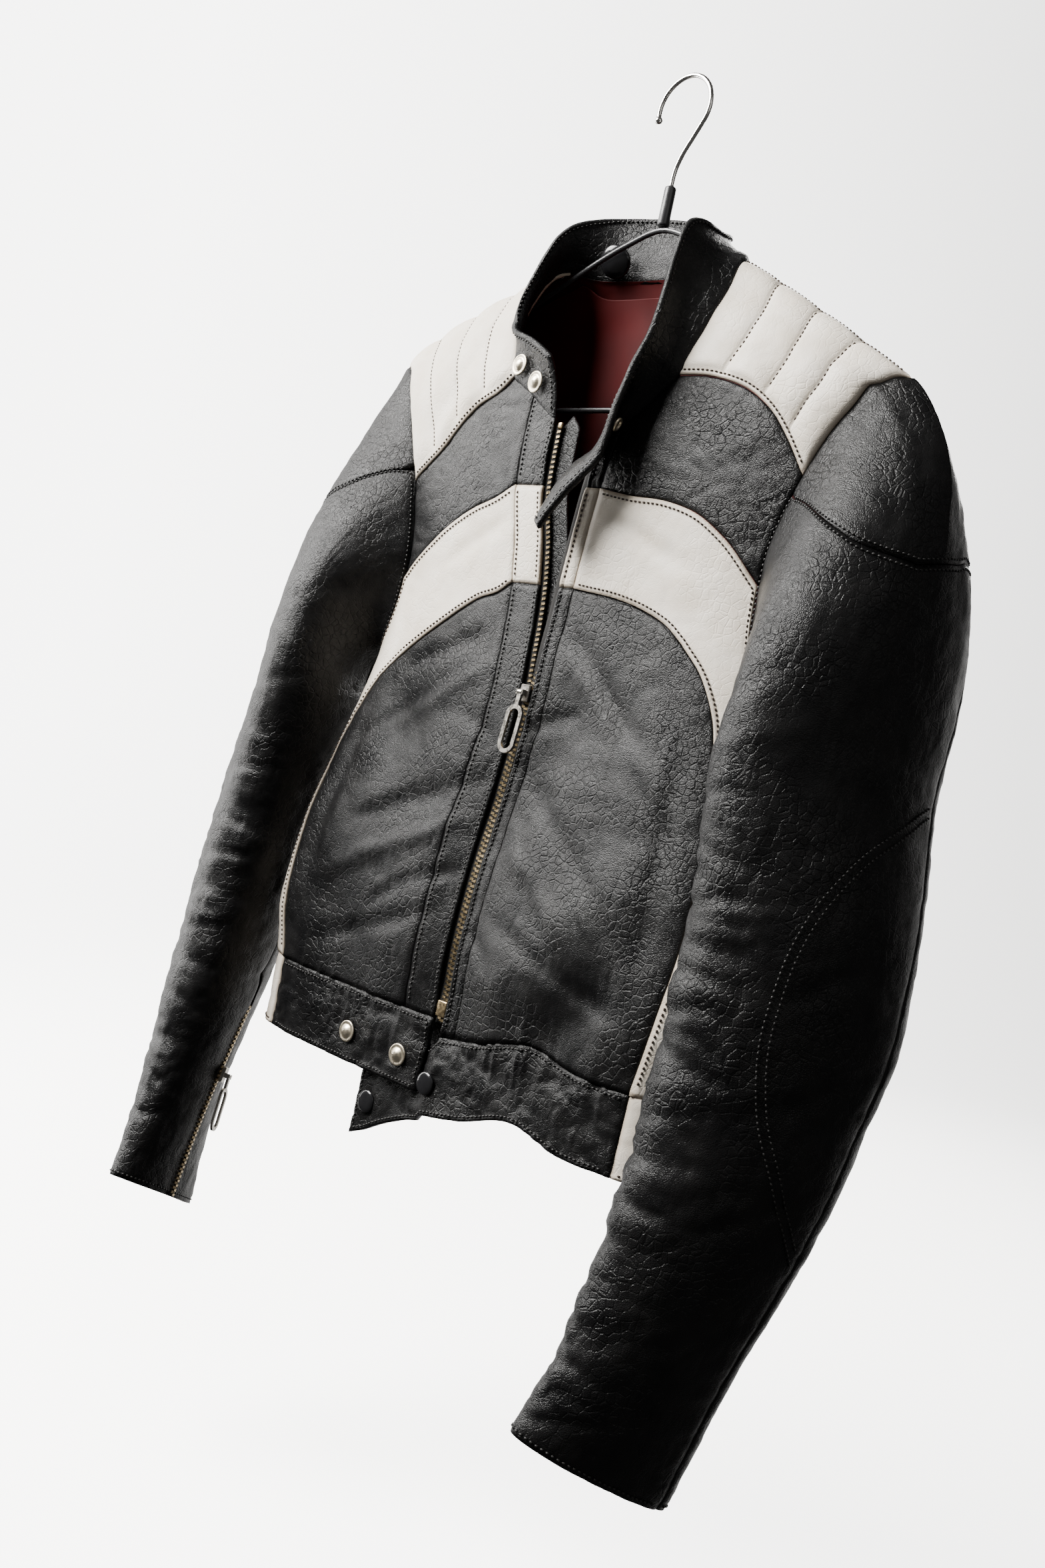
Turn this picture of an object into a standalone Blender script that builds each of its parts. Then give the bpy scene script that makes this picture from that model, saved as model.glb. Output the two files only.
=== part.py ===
"""Leather motorcycle jacket on a wire hanger: construction solids.

Metres, +Z up. X runs to the wearer's left, -Y is the front. The origin is where the hook rests.
Every panel is a leather wall cut from one torso form or one sleeve form, between named seam lines.
Seam points on a front are written as (x, z), as seen from the front; a right side point has x < 0.
"""
import math
from collections import namedtuple

import bmesh
import bpy
import numpy as np
from mathutils import Matrix, Vector

# ---------------------------------------------------------------- driving sizes
LEATHER = 0.0020
LINING = 0.0012
SEAM_GAP = 0.0004
MIRROR = np.array((-1.0, 1.0, 1.0))

Section = namedtuple("Section", "name level height drop half front back fullness")
TORSO = (
    Section("hem", 0.000, -0.728, 0.000, 0.203, 0.062, 0.056, 5.0),
    Section("band top", 0.052, -0.676, 0.000, 0.205, 0.063, 0.058, 5.0),
    Section("blouse", 0.098, -0.632, 0.000, 0.208, 0.065, 0.062, 6.0),
    Section("belly", 0.155, -0.577, 0.000, 0.206, 0.062, 0.062, 5.5),
    Section("waist", 0.225, -0.510, 0.000, 0.197, 0.056, 0.060, 4.0),
    Section("underarm", 0.300, -0.435, 0.000, 0.187, 0.048, 0.056, 2.8),
    Section("chest", 0.365, -0.370, 0.000, 0.195, 0.044, 0.054, 2.1),
    Section("stripe", 0.430, -0.305, 0.010, 0.205, 0.044, 0.051, 2.0),
    Section("yoke low", 0.510, -0.225, 0.035, 0.215, 0.041, 0.045, 2.1),
    Section("yoke mid", 0.575, -0.160, 0.075, 0.224, 0.031, 0.037, 2.2),
    Section("roll start", 0.607, -0.129, 0.102, 0.230, 0.021, 0.027, 2.3),
    Section("roll", 0.627, -0.109, 0.115, 0.232, 0.0115, 0.0150, 2.4),
    Section("ridge", 0.643, -0.101, 0.119, 0.234, 0.0, 0.0, 2.4),
)
SLOPE_POWER = 1.2
RIDGE_LEVEL = TORSO[-1].level
RIDGE_ROUND = 0.004
BAND_LEVEL = TORSO[1].level
RIGHT_LIFT = np.array((-0.016, 0.0, 0.017))
LIFT_FROM_X, LIFT_RUN_X = 0.03, 0.20
LIFT_FROM_Z, LIFT_RUN_Z = -0.36, 0.12
Sag = namedtuple("Sag", "x drop")
LEFT_SAG = (Sag(0.0, 0.0150), Sag(0.045, 0.0060), Sag(0.095, -0.0080), Sag(0.140, 0.0), Sag(0.210, 0.0))
SAG_FROM_Z, SAG_RUN_Z = -0.650, 0.035
FRONT_FADE_Y = 0.030
ZIP_X = 0.005
SLIDER_X = 0.012
FRONT_SLIDER_Z = -0.447

Ring = namedtuple("Ring", "name x y z reach out inn turn tilt")
UPPER_ARM = (
    Ring("shoulder", 0.224, 0.003, -0.300, 0.086, 0.050, 0.043, 3, 0.0),
    Ring("upper arm", 0.2275, 0.003, -0.360, 0.080, 0.054, 0.043, 12, 0.0),
    Ring("above bicep", 0.231, -0.006, -0.420, 0.078, 0.050, 0.040, 15, 0.0),
)
SLEEVE = (
    Ring("bicep", 0.238, -0.015, -0.480, 0.079, 0.046, 0.037, 19, 0.0),
    Ring("above elbow", 0.248, -0.020, -0.540, 0.075, 0.049, 0.037, 25, 0.0),
    Ring("elbow", 0.254, -0.028, -0.600, 0.073, 0.046, 0.038, 30, 0.0),
    Ring("forearm", 0.256, -0.039, -0.660, 0.068, 0.041, 0.038, 33, 0.0),
    Ring("low forearm", 0.254, -0.052, -0.720, 0.062, 0.036, 0.034, 34, 0.04),
    Ring("wrist", 0.247, -0.067, -0.780, 0.055, 0.030, 0.028, 33, 0.10),
    Ring("above cuff", 0.239, -0.080, -0.832, 0.052, 0.026, 0.024, 29, 0.22),
    Ring("cuff", 0.231, -0.090, -0.876, 0.0535, 0.024, 0.021, 24, 0.38),
)

# Seam corners and the points between them, as (x, z) seen from the front.
SHOULDER_X = 0.229
NECK_X = 0.080
YOKE_NECK = {1: (0.075, -0.225), -1: (0.073, -0.224)}
NECK_UPPER = ((0.0875, -0.156), (0.0860, -0.186))
STRIP_NECK = {1: (0.0400, -0.2620), -1: (0.0500, -0.2360)}
NECK_LOWER = {1: ((0.0590, -0.2440),), -1: ((0.0620, -0.2300),)}
EDGE_NECK = {1: (0.0280, -0.2745), -1: (0.0220, -0.2550)}
EDGE_GAP = 0.0055
STRIP_WIDTH = {1: 0.0125, -1: 0.0280}
Edge = namedtuple("Edge", "z left right")
OPEN_EDGE = (
    Edge(-0.255, 0.0300, 0.0220),
    Edge(-0.303, 0.0215, 0.0190),
    Edge(-0.345, 0.0185, 0.0075),
    Edge(-0.372, 0.0170, 0.0020),
    Edge(-0.410, 0.0165, -0.0030),
    Edge(FRONT_SLIDER_Z, SLIDER_X + EDGE_GAP, EDGE_GAP - SLIDER_X),
    Edge(-0.560, ZIP_X + EDGE_GAP, EDGE_GAP - ZIP_X),
    Edge(-0.676, ZIP_X + EDGE_GAP, EDGE_GAP - ZIP_X),
)
YOKE_ARM = {1: (0.180, -0.285), -1: (0.172, -0.305)}
YOKE_LOW = {
    1: ((0.105, -0.226), (0.133, -0.234), (0.152, -0.247), (0.165, -0.262)),
    -1: ((0.087, -0.239), (0.102, -0.248), (0.116, -0.261), (0.137, -0.283)),
}
STRIPE_ARM = {1: (0.166, -0.356), -1: (0.166, -0.374)}
STRIPE_TOP_Z = -0.303
STRIPE_LOW_Z = -0.372
STRIPE_TOP = {
    1: ((0.062, -0.307), (0.092, -0.309), (0.115, -0.315), (0.137, -0.328)),
    -1: ((0.062, -0.312), (0.085, -0.321), (0.112, -0.334), (0.137, -0.350)),
}
ARCH_TOP = {
    1: ((0.040, -0.373), (0.070, -0.376), (0.095, -0.382), (0.112, -0.389)),
    -1: ((0.040, -0.379), (0.060, -0.386), (0.080, -0.397), (0.097, -0.408)),
}
ARCH_BEND = {1: (0.126, -0.399), -1: (0.113, -0.419)}
ARCH_MID = {1: ((0.146, -0.418), (0.161, -0.443)), -1: ((0.135, -0.436), (0.155, -0.455))}
ARCH_SIDE = {1: (0.172, -0.475), -1: (0.171, -0.480)}
ARCH_LOW = ((0.181, -0.510), (0.187, -0.550), (0.188, -0.590), (0.184, -0.635))
ARCH_HEM_X = 0.176
ARM_YOKE = ((0.215, -0.2215), (0.199, -0.243), (0.188, -0.264))
ARM_CHEST = {1: ((0.172, -0.310), (0.167, -0.334)), -1: ((0.168, -0.328), (0.165, -0.351))}
ARM_LOW = {1: ((0.168, -0.388), (0.176, -0.416)), -1: ((0.169, -0.398), (0.176, -0.420))}
ARM_BACK_LOW = ((0.185, -0.427),)
SIDE_BACK_ARM = (0.182, -0.408)
SIDE_HEM_X = 0.178
SIDE_BACK = ((0.184, -0.450), (0.186, -0.520), (0.189, -0.590), (0.184, -0.635))
ARM_BACK = ((0.181, -0.370), (0.183, -0.325), (0.189, -0.280), (0.200, -0.246), (0.214, -0.2235))
NECK_BACK = ((0.066, -0.1345), (0.040, -0.1335))
NECK_BACK_Z = -0.133

# Segments along the seams, kept the same on both sides of each seam.
ACROSS_TOP = 12
YOKE_ROWS = 6
NECK_ROWS = 3
STRIP_ROWS = 3
ARM_FRONT_LOW = 4
ARM_SIDE_BACK = 2
SIDE_ROWS = 6
KNEE_SHARE = 2
ACROSS_HEM = ACROSS_TOP + KNEE_SHARE
FRONT_ROWS = ARM_FRONT_LOW + ARM_SIDE_BACK - KNEE_SHARE + SIDE_ROWS
BACK_RIDGE = 6
BACK_NECK = 4
BACK_ARM = 8
RIDGE_CROWD = 1.7

# ---------------------------------------------------------------- curves
def smooth(knots, values, query):
    """Cubic through the knots that never overshoots them."""
    knots = np.asarray(knots, float)
    values = np.asarray(values, float)
    step = np.diff(knots)
    slope = np.diff(values) / step
    tangent = np.zeros(len(values))
    same = slope[1:] * slope[:-1] > 0
    tangent[1:-1][same] = 2 * slope[1:][same] * slope[:-1][same] / (slope[1:] + slope[:-1])[same]
    tangent[0] = slope[0]
    tangent[-1] = slope[-1]
    query = np.clip(query, knots[0], knots[-1])
    index = np.clip(np.searchsorted(knots, query) - 1, 0, len(step) - 1)
    width = step[index]
    t = (query - knots[index]) / width
    return (values[index] * (1 + 2 * t) * (1 - t) ** 2 + tangent[index] * width * t * (1 - t) ** 2
            + values[index + 1] * t * t * (3 - 2 * t) + tangent[index + 1] * width * t * t * (t - 1))


def through(points, count, scale, crowd=1.0):
    """Smooth curve through the points in count steps, even in the given scale or crowded to the end."""
    points = np.asarray(points, float)
    reach = np.concatenate(([0.0], np.cumsum(np.linalg.norm(np.diff(points, axis=0) * scale, axis=1))))
    if len(points) > 2:
        fine = np.linspace(0.0, reach[-1], 12 * len(points))
        points = np.stack([catmull(reach, points[:, k], fine) for k in range(points.shape[1])], axis=1)
        reach = np.concatenate(([0.0], np.cumsum(np.linalg.norm(np.diff(points, axis=0) * scale, axis=1))))
    steps = reach[-1] * (1.0 - np.linspace(1.0, 0.0, count + 1) ** crowd)
    return np.stack([np.interp(steps, reach, points[:, k]) for k in range(points.shape[1])], axis=1)


def catmull(knots, values, query):
    """Cubic through the knots with the slope of its neighbours at each knot."""
    knots = np.asarray(knots, float)
    tangent = np.gradient(values, knots)
    index = np.clip(np.searchsorted(knots, query) - 1, 0, len(knots) - 2)
    width = knots[index + 1] - knots[index]
    t = (query - knots[index]) / width
    return (values[index] * (1 + 2 * t) * (1 - t) ** 2 + tangent[index] * width * t * (1 - t) ** 2
            + values[index + 1] * t * t * (3 - 2 * t) + tangent[index + 1] * width * t * t * (t - 1))


def ease(t):
    t = np.clip(t, 0.0, 1.0)
    return t * t * (3 - 2 * t)


def unit(vectors):
    return vectors / np.maximum(np.linalg.norm(vectors, axis=-1, keepdims=True), 1e-12)


# ---------------------------------------------------------------- torso form
QUARTER = np.linspace(0.0, math.pi / 2, 49)
LEVELS = [row.level for row in TORSO]
GIRTH_SCALE = np.array((0.22, 1.0))


def torso_size(level, name):
    return smooth(LEVELS, [getattr(row, name) for row in TORSO], level)


def quarter(level, depth_name):
    """Quarter sections from the centre to the side, with the share of length at each step."""
    half = torso_size(level, "half")[:, None]
    depth = torso_size(level, depth_name)[:, None]
    power = 2.0 / torso_size(level, "fullness")[:, None]
    across = half * np.sin(QUARTER) ** power
    along = depth * np.cos(QUARTER) ** power
    step = np.hypot(np.diff(across, axis=1), np.diff(along, axis=1))
    share = np.concatenate((np.zeros((len(half), 1)), np.cumsum(step, axis=1)), axis=1)
    return across, along, share / share[:, -1:]


def along_rows(rows, shares, wanted):
    index = np.clip((shares < wanted[:, None]).sum(axis=1), 1, shares.shape[1] - 1)
    pick = np.arange(len(wanted))
    low, high = shares[pick, index - 1], shares[pick, index]
    t = (wanted - low) / np.maximum(high - low, 1e-12)
    return rows[pick, index - 1] * (1 - t) + rows[pick, index] * t


def plain_torso(girth, level):
    """Left half of the torso. Girth is 0 at centre front, 1 at the side and 2 at centre back.

    A girth under 0 is across the centre front.
    """
    front_x, front_y, front_share = quarter(level, "front")
    back_x, back_y, back_share = quarter(level, "back")
    is_front = girth <= 1.0
    front_at = np.clip(np.abs(girth), 0.0, 1.0)
    back_at = np.clip(2.0 - girth, 0.0, 1.0)
    x = np.where(is_front, along_rows(front_x, front_share, front_at),
                 along_rows(back_x, back_share, back_at))
    y = np.where(is_front, -along_rows(front_y, front_share, front_at),
                 along_rows(back_y, back_share, back_at))
    reach = x / torso_size(level, "half")
    z = torso_size(level, "height") - torso_size(level, "drop") * reach ** SLOPE_POWER
    return np.stack((np.where(girth < 0.0, -x, x), y, z), axis=-1)


def torso(side, spots, out=0.0):
    """Points on the torso form at (girth, level) spots, moved out along the cloth's normal."""
    shape = spots.shape[:-1]
    girth = spots[..., 0].ravel()
    level = spots[..., 1].ravel()
    points = plain_torso(girth, level)
    low, high = girth - 0.01, np.minimum(girth + 0.01, 2.0)
    across = plain_torso(high, level) - plain_torso(low, level)
    under, over = np.maximum(level - 0.002, 0.0), np.minimum(level + 0.002, RIDGE_LEVEL)
    upward = plain_torso(girth, over) - plain_torso(girth, under)
    normal = np.cross(across, upward)
    normal[:, 1] *= np.minimum((RIDGE_LEVEL - level) / RIDGE_ROUND, 1.0)
    normal = unit(normal)
    points, normal = lifted(mirror(side, points)), mirror(side, normal)
    if side > 0:
        points = sagged(points)
    moved = points + normal * (np.broadcast_to(out, shape).ravel() + torso_folds(points))[:, None]
    return moved.reshape(shape + (3,)), normal.reshape(shape + (3,))


def lifted(points):
    """The right shoulder sits higher and further out on the hanger than the left one."""
    share = ease((-points[:, 0] - LIFT_FROM_X) / LIFT_RUN_X) * ease((points[:, 2] - LIFT_FROM_Z) / LIFT_RUN_Z)
    return points + share[:, None] * RIGHT_LIFT


def sagged(points):
    """The left band hangs low beside the zip and rides up further out."""
    drop = smooth([row.x for row in LEFT_SAG], [row.drop for row in LEFT_SAG], points[:, 0])
    share = ease((SAG_FROM_Z - points[:, 2]) / SAG_RUN_Z) * ease(-points[:, 1] / FRONT_FADE_Y)
    return points - np.outer(drop * share, (0.0, 0.0, 1.0))


def mirror(side, values):
    return values if side > 0 else values * MIRROR


def spot(x, z, back=False):
    """(girth, level) of the point that shows at (x, z) from the front or the back."""
    low, high = 0.0, RIDGE_LEVEL
    for _ in range(40):
        level = np.array([(low + high) / 2])
        half = torso_size(level, "half")
        reach = min(abs(x) / half[0], 1.0)
        height = torso_size(level, "height") - torso_size(level, "drop") * reach ** SLOPE_POWER
        if height[0] < z:
            low = level[0]
        else:
            high = level[0]
    return at_level(x, level[0], back)


def at_level(x, level, back=False):
    across, _, share = quarter(np.array([level]), "back" if back else "front")
    girth = math.copysign(float(np.interp(abs(x), across[0], share[0])), x)
    return (2.0 - girth if back else girth, float(level))


def seam(points, count, start=None, end=None, back=False, crowd=1.0):
    """Spots along a seam through (x, z) points; start and end may be spots already."""
    spots = [] if start is None else [start]
    spots += [spot(x, z, back) for x, z in points]
    spots += [] if end is None else [end]
    return through(spots, count, GIRTH_SCALE, crowd)


# ---------------------------------------------------------------- largest folds
Fold = namedtuple("Fold", "name x z x_end z_end width depth")
FRONT_FOLDS = (
    Fold("zip dip", 0.005, -0.48, 0.005, -0.70, 0.030, -0.006),
    Fold("left chest drape", 0.070, -0.44, 0.020, -0.56, 0.028, -0.004),
    Fold("left belly roll", 0.145, -0.55, 0.050, -0.64, 0.026, 0.004),
    Fold("left hem drape", 0.150, -0.62, 0.100, -0.67, 0.018, -0.004),
    Fold("right chest drape", -0.120, -0.45, -0.050, -0.55, 0.030, -0.004),
    Fold("right belly roll", -0.150, -0.58, -0.060, -0.50, 0.028, 0.004),
    Fold("right hem drape", -0.080, -0.66, -0.140, -0.60, 0.022, -0.003),
)
BACK_FOLDS = (
    Fold("back centre drape", 0.010, -0.30, 0.000, -0.60, 0.034, -0.004),
    Fold("back left drape", 0.110, -0.40, 0.080, -0.62, 0.030, 0.004),
    Fold("back right drape", -0.120, -0.36, -0.085, -0.60, 0.030, 0.004),
)


def fold_depth(folds, x, z):
    total = np.zeros_like(x)
    for fold in folds:
        run_x, run_z = fold.x_end - fold.x, fold.z_end - fold.z
        length = math.hypot(run_x, run_z)
        along = ((x - fold.x) * run_x + (z - fold.z) * run_z) / length ** 2
        off = ((x - fold.x) * run_z - (z - fold.z) * run_x) / length
        taper = ease((along + 0.25) / 0.5) * ease((1.25 - along) / 0.5)
        total += fold.depth * taper * np.exp(-(off / fold.width) ** 2)
    return total


def torso_folds(points):
    x, y, z = points[:, 0], points[:, 1], points[:, 2]
    front = fold_depth(FRONT_FOLDS, x, z) * ease(-y / FRONT_FADE_Y)
    back = fold_depth(BACK_FOLDS, x, z) * ease(y / FRONT_FADE_Y)
    return front + back


# ---------------------------------------------------------------- seam lines of one half
def edge_x(side, z):
    table = sorted(OPEN_EDGE, key=lambda row: row.z)
    values = [row.left if side > 0 else row.right for row in table]
    return smooth([row.z for row in table], values, z)


def edge_line(side, top_z, low_z, inset, count):
    """Spots down the centre edge, the inset away from it."""
    heights = np.linspace(top_z, low_z, count + 1)
    return np.array([spot(edge_x(side, z) + inset, z) for z in heights])


def half_seams(side):
    """The seam lines of one half, as arrays of spots."""
    ridge_neck = at_level(NECK_X, RIDGE_LEVEL)
    ridge_tip = at_level(SHOULDER_X, RIDGE_LEVEL)
    width = STRIP_WIDTH[side]
    yoke_neck, yoke_arm = spot(*YOKE_NECK[side]), spot(*YOKE_ARM[side])
    stripe_arm = spot(*STRIPE_ARM[side])
    strip_neck, edge_neck = spot(*STRIP_NECK[side]), spot(*EDGE_NECK[side])
    arch_bend, arch_side = spot(*ARCH_BEND[side]), spot(*ARCH_SIDE[side])
    underarm = (1.0, TORSO[5].level)
    back_arm = spot(*SIDE_BACK_ARM, back=True)
    back_tip = (2.0 - ridge_tip[0], RIDGE_LEVEL)
    back_ridge_neck = (2.0 - ridge_neck[0], RIDGE_LEVEL)
    hem_front = at_level(ARCH_HEM_X, BAND_LEVEL)
    hem_back = at_level(SIDE_HEM_X, BAND_LEVEL, back=True)
    strip_top = spot(edge_x(side, STRIPE_TOP_Z) + width, STRIPE_TOP_Z)
    strip_low = spot(edge_x(side, STRIPE_LOW_Z) + width, STRIPE_LOW_Z)
    band_z = TORSO[1].height
    lines = {
        "ridge": through([ridge_neck, ridge_tip], ACROSS_TOP, GIRTH_SCALE),
        "neck yoke": seam(NECK_UPPER, YOKE_ROWS, ridge_neck, yoke_neck),
        "neck chest": seam(NECK_LOWER[side], NECK_ROWS, yoke_neck, strip_neck),
        "neck strip": through([strip_neck, edge_neck], 1, GIRTH_SCALE),
        "yoke low": seam(YOKE_LOW[side], ACROSS_TOP, yoke_neck, yoke_arm),
        "stripe top": seam(STRIPE_TOP[side], ACROSS_TOP, strip_top, stripe_arm),
        "arch": np.concatenate((
            seam(ARCH_TOP[side], ACROSS_TOP, strip_low, arch_bend),
            seam(ARCH_MID[side], ARM_FRONT_LOW, arch_bend, arch_side)[1:],
            seam(ARCH_LOW, ARM_SIDE_BACK + SIDE_ROWS, arch_side, hem_front)[1:])),
        "arm yoke": seam(ARM_YOKE, YOKE_ROWS, ridge_tip, yoke_arm),
        "arm chest": seam(ARM_CHEST[side], NECK_ROWS + STRIP_ROWS, yoke_arm, stripe_arm),
        "arm low": seam(ARM_LOW[side], ARM_FRONT_LOW, stripe_arm, underarm),
        "arm side back": seam(ARM_BACK_LOW, ARM_SIDE_BACK, underarm, back_arm, back=True),
        "arm back": seam(ARM_BACK, BACK_ARM, back_arm, back_tip, back=True, crowd=RIDGE_CROWD),
        "side back": seam(SIDE_BACK, SIDE_ROWS, back_arm, hem_back, back=True),
        "back ridge": through([back_ridge_neck, back_tip], BACK_RIDGE, GIRTH_SCALE),
        "back neck": seam(((0.0, NECK_BACK_Z),) + NECK_BACK[::-1], BACK_NECK, None, back_ridge_neck,
                          back=True),
        "strip upper": edge_line(side, STRIP_NECK[side][1], STRIPE_TOP_Z, width, STRIP_ROWS),
        "strip stripe": edge_line(side, STRIPE_TOP_Z, STRIPE_LOW_Z, width, STRIP_ROWS),
        "strip lower": edge_line(side, STRIPE_LOW_Z, band_z, width, FRONT_ROWS),
        "edge upper": edge_line(side, EDGE_NECK[side][1], STRIPE_TOP_Z, 0.0, STRIP_ROWS),
        "edge stripe": edge_line(side, STRIPE_TOP_Z, STRIPE_LOW_Z, 0.0, STRIP_ROWS),
        "edge lower": edge_line(side, STRIPE_LOW_Z, band_z, 0.0, FRONT_ROWS),
    }
    lines["strip upper"][0] = strip_neck
    lines["edge upper"][0] = edge_neck
    lines["band front"] = through([lines["strip lower"][-1], hem_front], ACROSS_HEM, GIRTH_SCALE)
    return lines


def coons(bottom, top, left, right):
    """Grid of spots between four seam lines: bottom to top, left to right."""
    u = np.linspace(0.0, 1.0, len(bottom))[:, None, None]
    v = np.linspace(0.0, 1.0, len(left))[None, :, None]
    ruled_v = (1 - v) * bottom[:, None] + v * top[:, None]
    ruled_u = (1 - u) * left[None] + u * right[None]
    corners = ((1 - u) * (1 - v) * bottom[0] + u * (1 - v) * bottom[-1]
               + (1 - u) * v * top[0] + u * v * top[-1])
    return ruled_v + ruled_u - corners


def band_between(first, second, rows):
    v = np.linspace(0.0, 1.0, rows + 1)[None, :, None]
    return (1 - v) * first[:, None] + v * second[:, None]


# ---------------------------------------------------------------- solids
def material(name, colour, roughness, metallic=0.0):
    made = bpy.data.materials.new(name)
    made.use_nodes = True
    shader = made.node_tree.nodes["Principled BSDF"]
    shader.inputs["Base Color"].default_value = (*colour, 1.0)
    shader.inputs["Roughness"].default_value = roughness
    shader.inputs["Metallic"].default_value = metallic
    made.diffuse_color = (*colour, 1.0)
    return made


def place(name, bm, finish, flat=False):
    bmesh.ops.recalc_face_normals(bm, faces=bm.faces)
    mesh = bpy.data.meshes.new(name)
    bm.to_mesh(mesh)
    bm.free()
    if not flat:
        mesh.shade_smooth()
        mesh.set_sharp_from_angle(angle=math.radians(35))
    mesh.materials.append(finish)
    made = bpy.data.objects.new(name, mesh)
    bpy.context.scene.collection.objects.link(made)
    return made


MITRE_LIMIT = 0.35


def draw_in(points, amount):
    """Moves the border of a grid of points inward along the grid, further where the border turns."""
    moved = points.copy()
    for axis in (0, 1):
        across = np.swapaxes(points, 0, axis)
        target = np.swapaxes(moved, 0, axis)
        for edge, inner in ((0, 1), (-1, -2)):
            steps = unit(np.diff(across[edge], axis=0))
            ahead = np.concatenate((steps, steps[-1:]))
            behind = np.concatenate((steps[:1], steps))
            tangent = unit(ahead + behind)
            mitre = np.maximum((ahead * tangent).sum(-1, keepdims=True), MITRE_LIMIT)
            inward = across[inner] - across[edge]
            inward -= (inward * tangent).sum(-1, keepdims=True) * tangent
            target[edge] += unit(inward) * amount / mitre
    return moved


def sheet(name, outer, inner, finish, gap=SEAM_GAP):
    """Closed wall between an outer and an inner grid of points."""
    outer, inner = draw_in(outer, gap / 2), draw_in(inner, gap / 2)
    rows, columns = outer.shape[:2]
    bm = bmesh.new()
    top = [[bm.verts.new(outer[i, j]) for j in range(columns)] for i in range(rows)]
    low = [[bm.verts.new(inner[i, j]) for j in range(columns)] for i in range(rows)]
    for i in range(rows - 1):
        for j in range(columns - 1):
            bm.faces.new((top[i][j], top[i + 1][j], top[i + 1][j + 1], top[i][j + 1]))
            bm.faces.new((low[i][j], low[i][j + 1], low[i + 1][j + 1], low[i + 1][j]))
    rim = ([(i, 0) for i in range(rows)] + [(rows - 1, j) for j in range(1, columns)]
           + [(i, columns - 1) for i in range(rows - 2, -1, -1)]
           + [(0, j) for j in range(columns - 2, 0, -1)])
    for (i, j), (k, m) in zip(rim, rim[1:] + rim[:1]):
        bm.faces.new((top[i][j], low[i][j], low[k][m], top[k][m]))
    return place(name, bm, finish)


def torso_panel(name, side, spots, finish, thickness=LEATHER, raised=0.0):
    outer, _ = torso(side, spots, raised)
    inner, _ = torso(side, spots, -thickness)
    return sheet(name, outer, inner, finish)


# ---------------------------------------------------------------- torso panels
CHANNELS = 4
CHANNEL_HEIGHT = 0.0030
STRIPE_BEND = np.array((0.14, -0.196))
STRIPE_BEND_RUN = 0.14
SIDES = ((1, "left"), (-1, "right"))


def quilt_height(columns, rows):
    """Raised channels across the yoke, flat on the stitch lines and at the seams."""
    across = np.linspace(0.0, CHANNELS, columns)
    puff = np.abs(np.sin(math.pi * across)) ** 0.7
    down = ease(np.linspace(0.0, rows - 1, rows)) * ease(np.linspace(rows - 1, 0.0, rows))
    return CHANNEL_HEIGHT * puff[:, None] * down[None]


def yoke_spots(lines):
    """From the ridge down to the yoke's lower edge."""
    return coons(lines["ridge"], lines["yoke low"], lines["neck yoke"], lines["arm yoke"])


def chest_spots(lines):
    left = np.concatenate((lines["neck chest"], lines["strip upper"][1:]))
    return coons(lines["yoke low"], lines["stripe top"], left, lines["arm chest"])


def stripe_spots(lines):
    """The chest stripe, which turns down under the arm into the side panel.

    Its grid bends down below the corner under the arm, so that no cell turns over there.
    """
    outer = np.concatenate((lines["stripe top"], lines["arm low"][1:],
                            lines["arm side back"][1:], lines["side back"][1:]))
    spots = band_between(outer, lines["arch"], STRIP_ROWS)
    spots[0] = lines["strip stripe"]
    corner = ACROSS_TOP + ARM_FRONT_LOW + ARM_SIDE_BACK
    away = (np.arange(len(outer)) / corner - 1.0) / STRIPE_BEND_RUN
    across = np.linspace(0.0, 1.0, STRIP_ROWS + 1)
    bend = np.exp(-away ** 2)[:, None] * (across * (1.0 - across))[None]
    return spots + bend[..., None] * STRIPE_BEND


def lower_spots(lines):
    arch = lines["arch"]
    right = arch[ACROSS_HEM:][::-1]
    return coons(lines["band front"], arch[:ACROSS_HEM + 1], lines["strip lower"][::-1], right)


def back_spots(lines):
    right = np.concatenate((lines["side back"][::-1], lines["arm back"][1:]))
    top = np.concatenate((lines["back neck"], lines["back ridge"][1:]))
    bottom = through([(2.0, BAND_LEVEL), tuple(lines["side back"][-1])], len(top) - 1, GIRTH_SCALE)
    share = (right[:, 1] - BAND_LEVEL) / (RIDGE_LEVEL - BAND_LEVEL)
    middle = np.stack((np.full(len(right), 2.0), BAND_LEVEL + share * (top[0, 1] - BAND_LEVEL)), axis=1)
    return coons(bottom, top, middle, right)


def whole(spots, out=0.0):
    """Points on both halves of the torso, joined along the centre from right to left."""
    return np.concatenate((torso(-1, spots, out)[0][::-1], torso(1, spots, out)[0][1:]))


def build_fronts(seams, looks):
    for side, word in SIDES:
        lines = seams[side]
        quilt = quilt_height(ACROSS_TOP + 1, YOKE_ROWS + 1)
        torso_panel(f"yoke_{word}", side, yoke_spots(lines), looks["cream"], raised=quilt)
        torso_panel(f"chest_{word}", side, chest_spots(lines), looks["black"])
        torso_panel(f"stripe_{word}", side, stripe_spots(lines), looks["cream"])
        torso_panel(f"front_{word}", side, lower_spots(lines), looks["black"])
        for part, finish in (("upper", "black"), ("stripe", "cream"), ("lower", "black")):
            spots = np.stack((lines[f"edge {part}"], lines[f"strip {part}"]))
            torso_panel(f"placket_{part}_{word}", side, spots, looks[finish])


LINING_TOP_LEVEL = RIDGE_LEVEL - 0.014
LINING_LOW_LEVEL = 0.064
LINING_LAY = 0.0045
LINING_SIDE_INSET = 0.05


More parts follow.
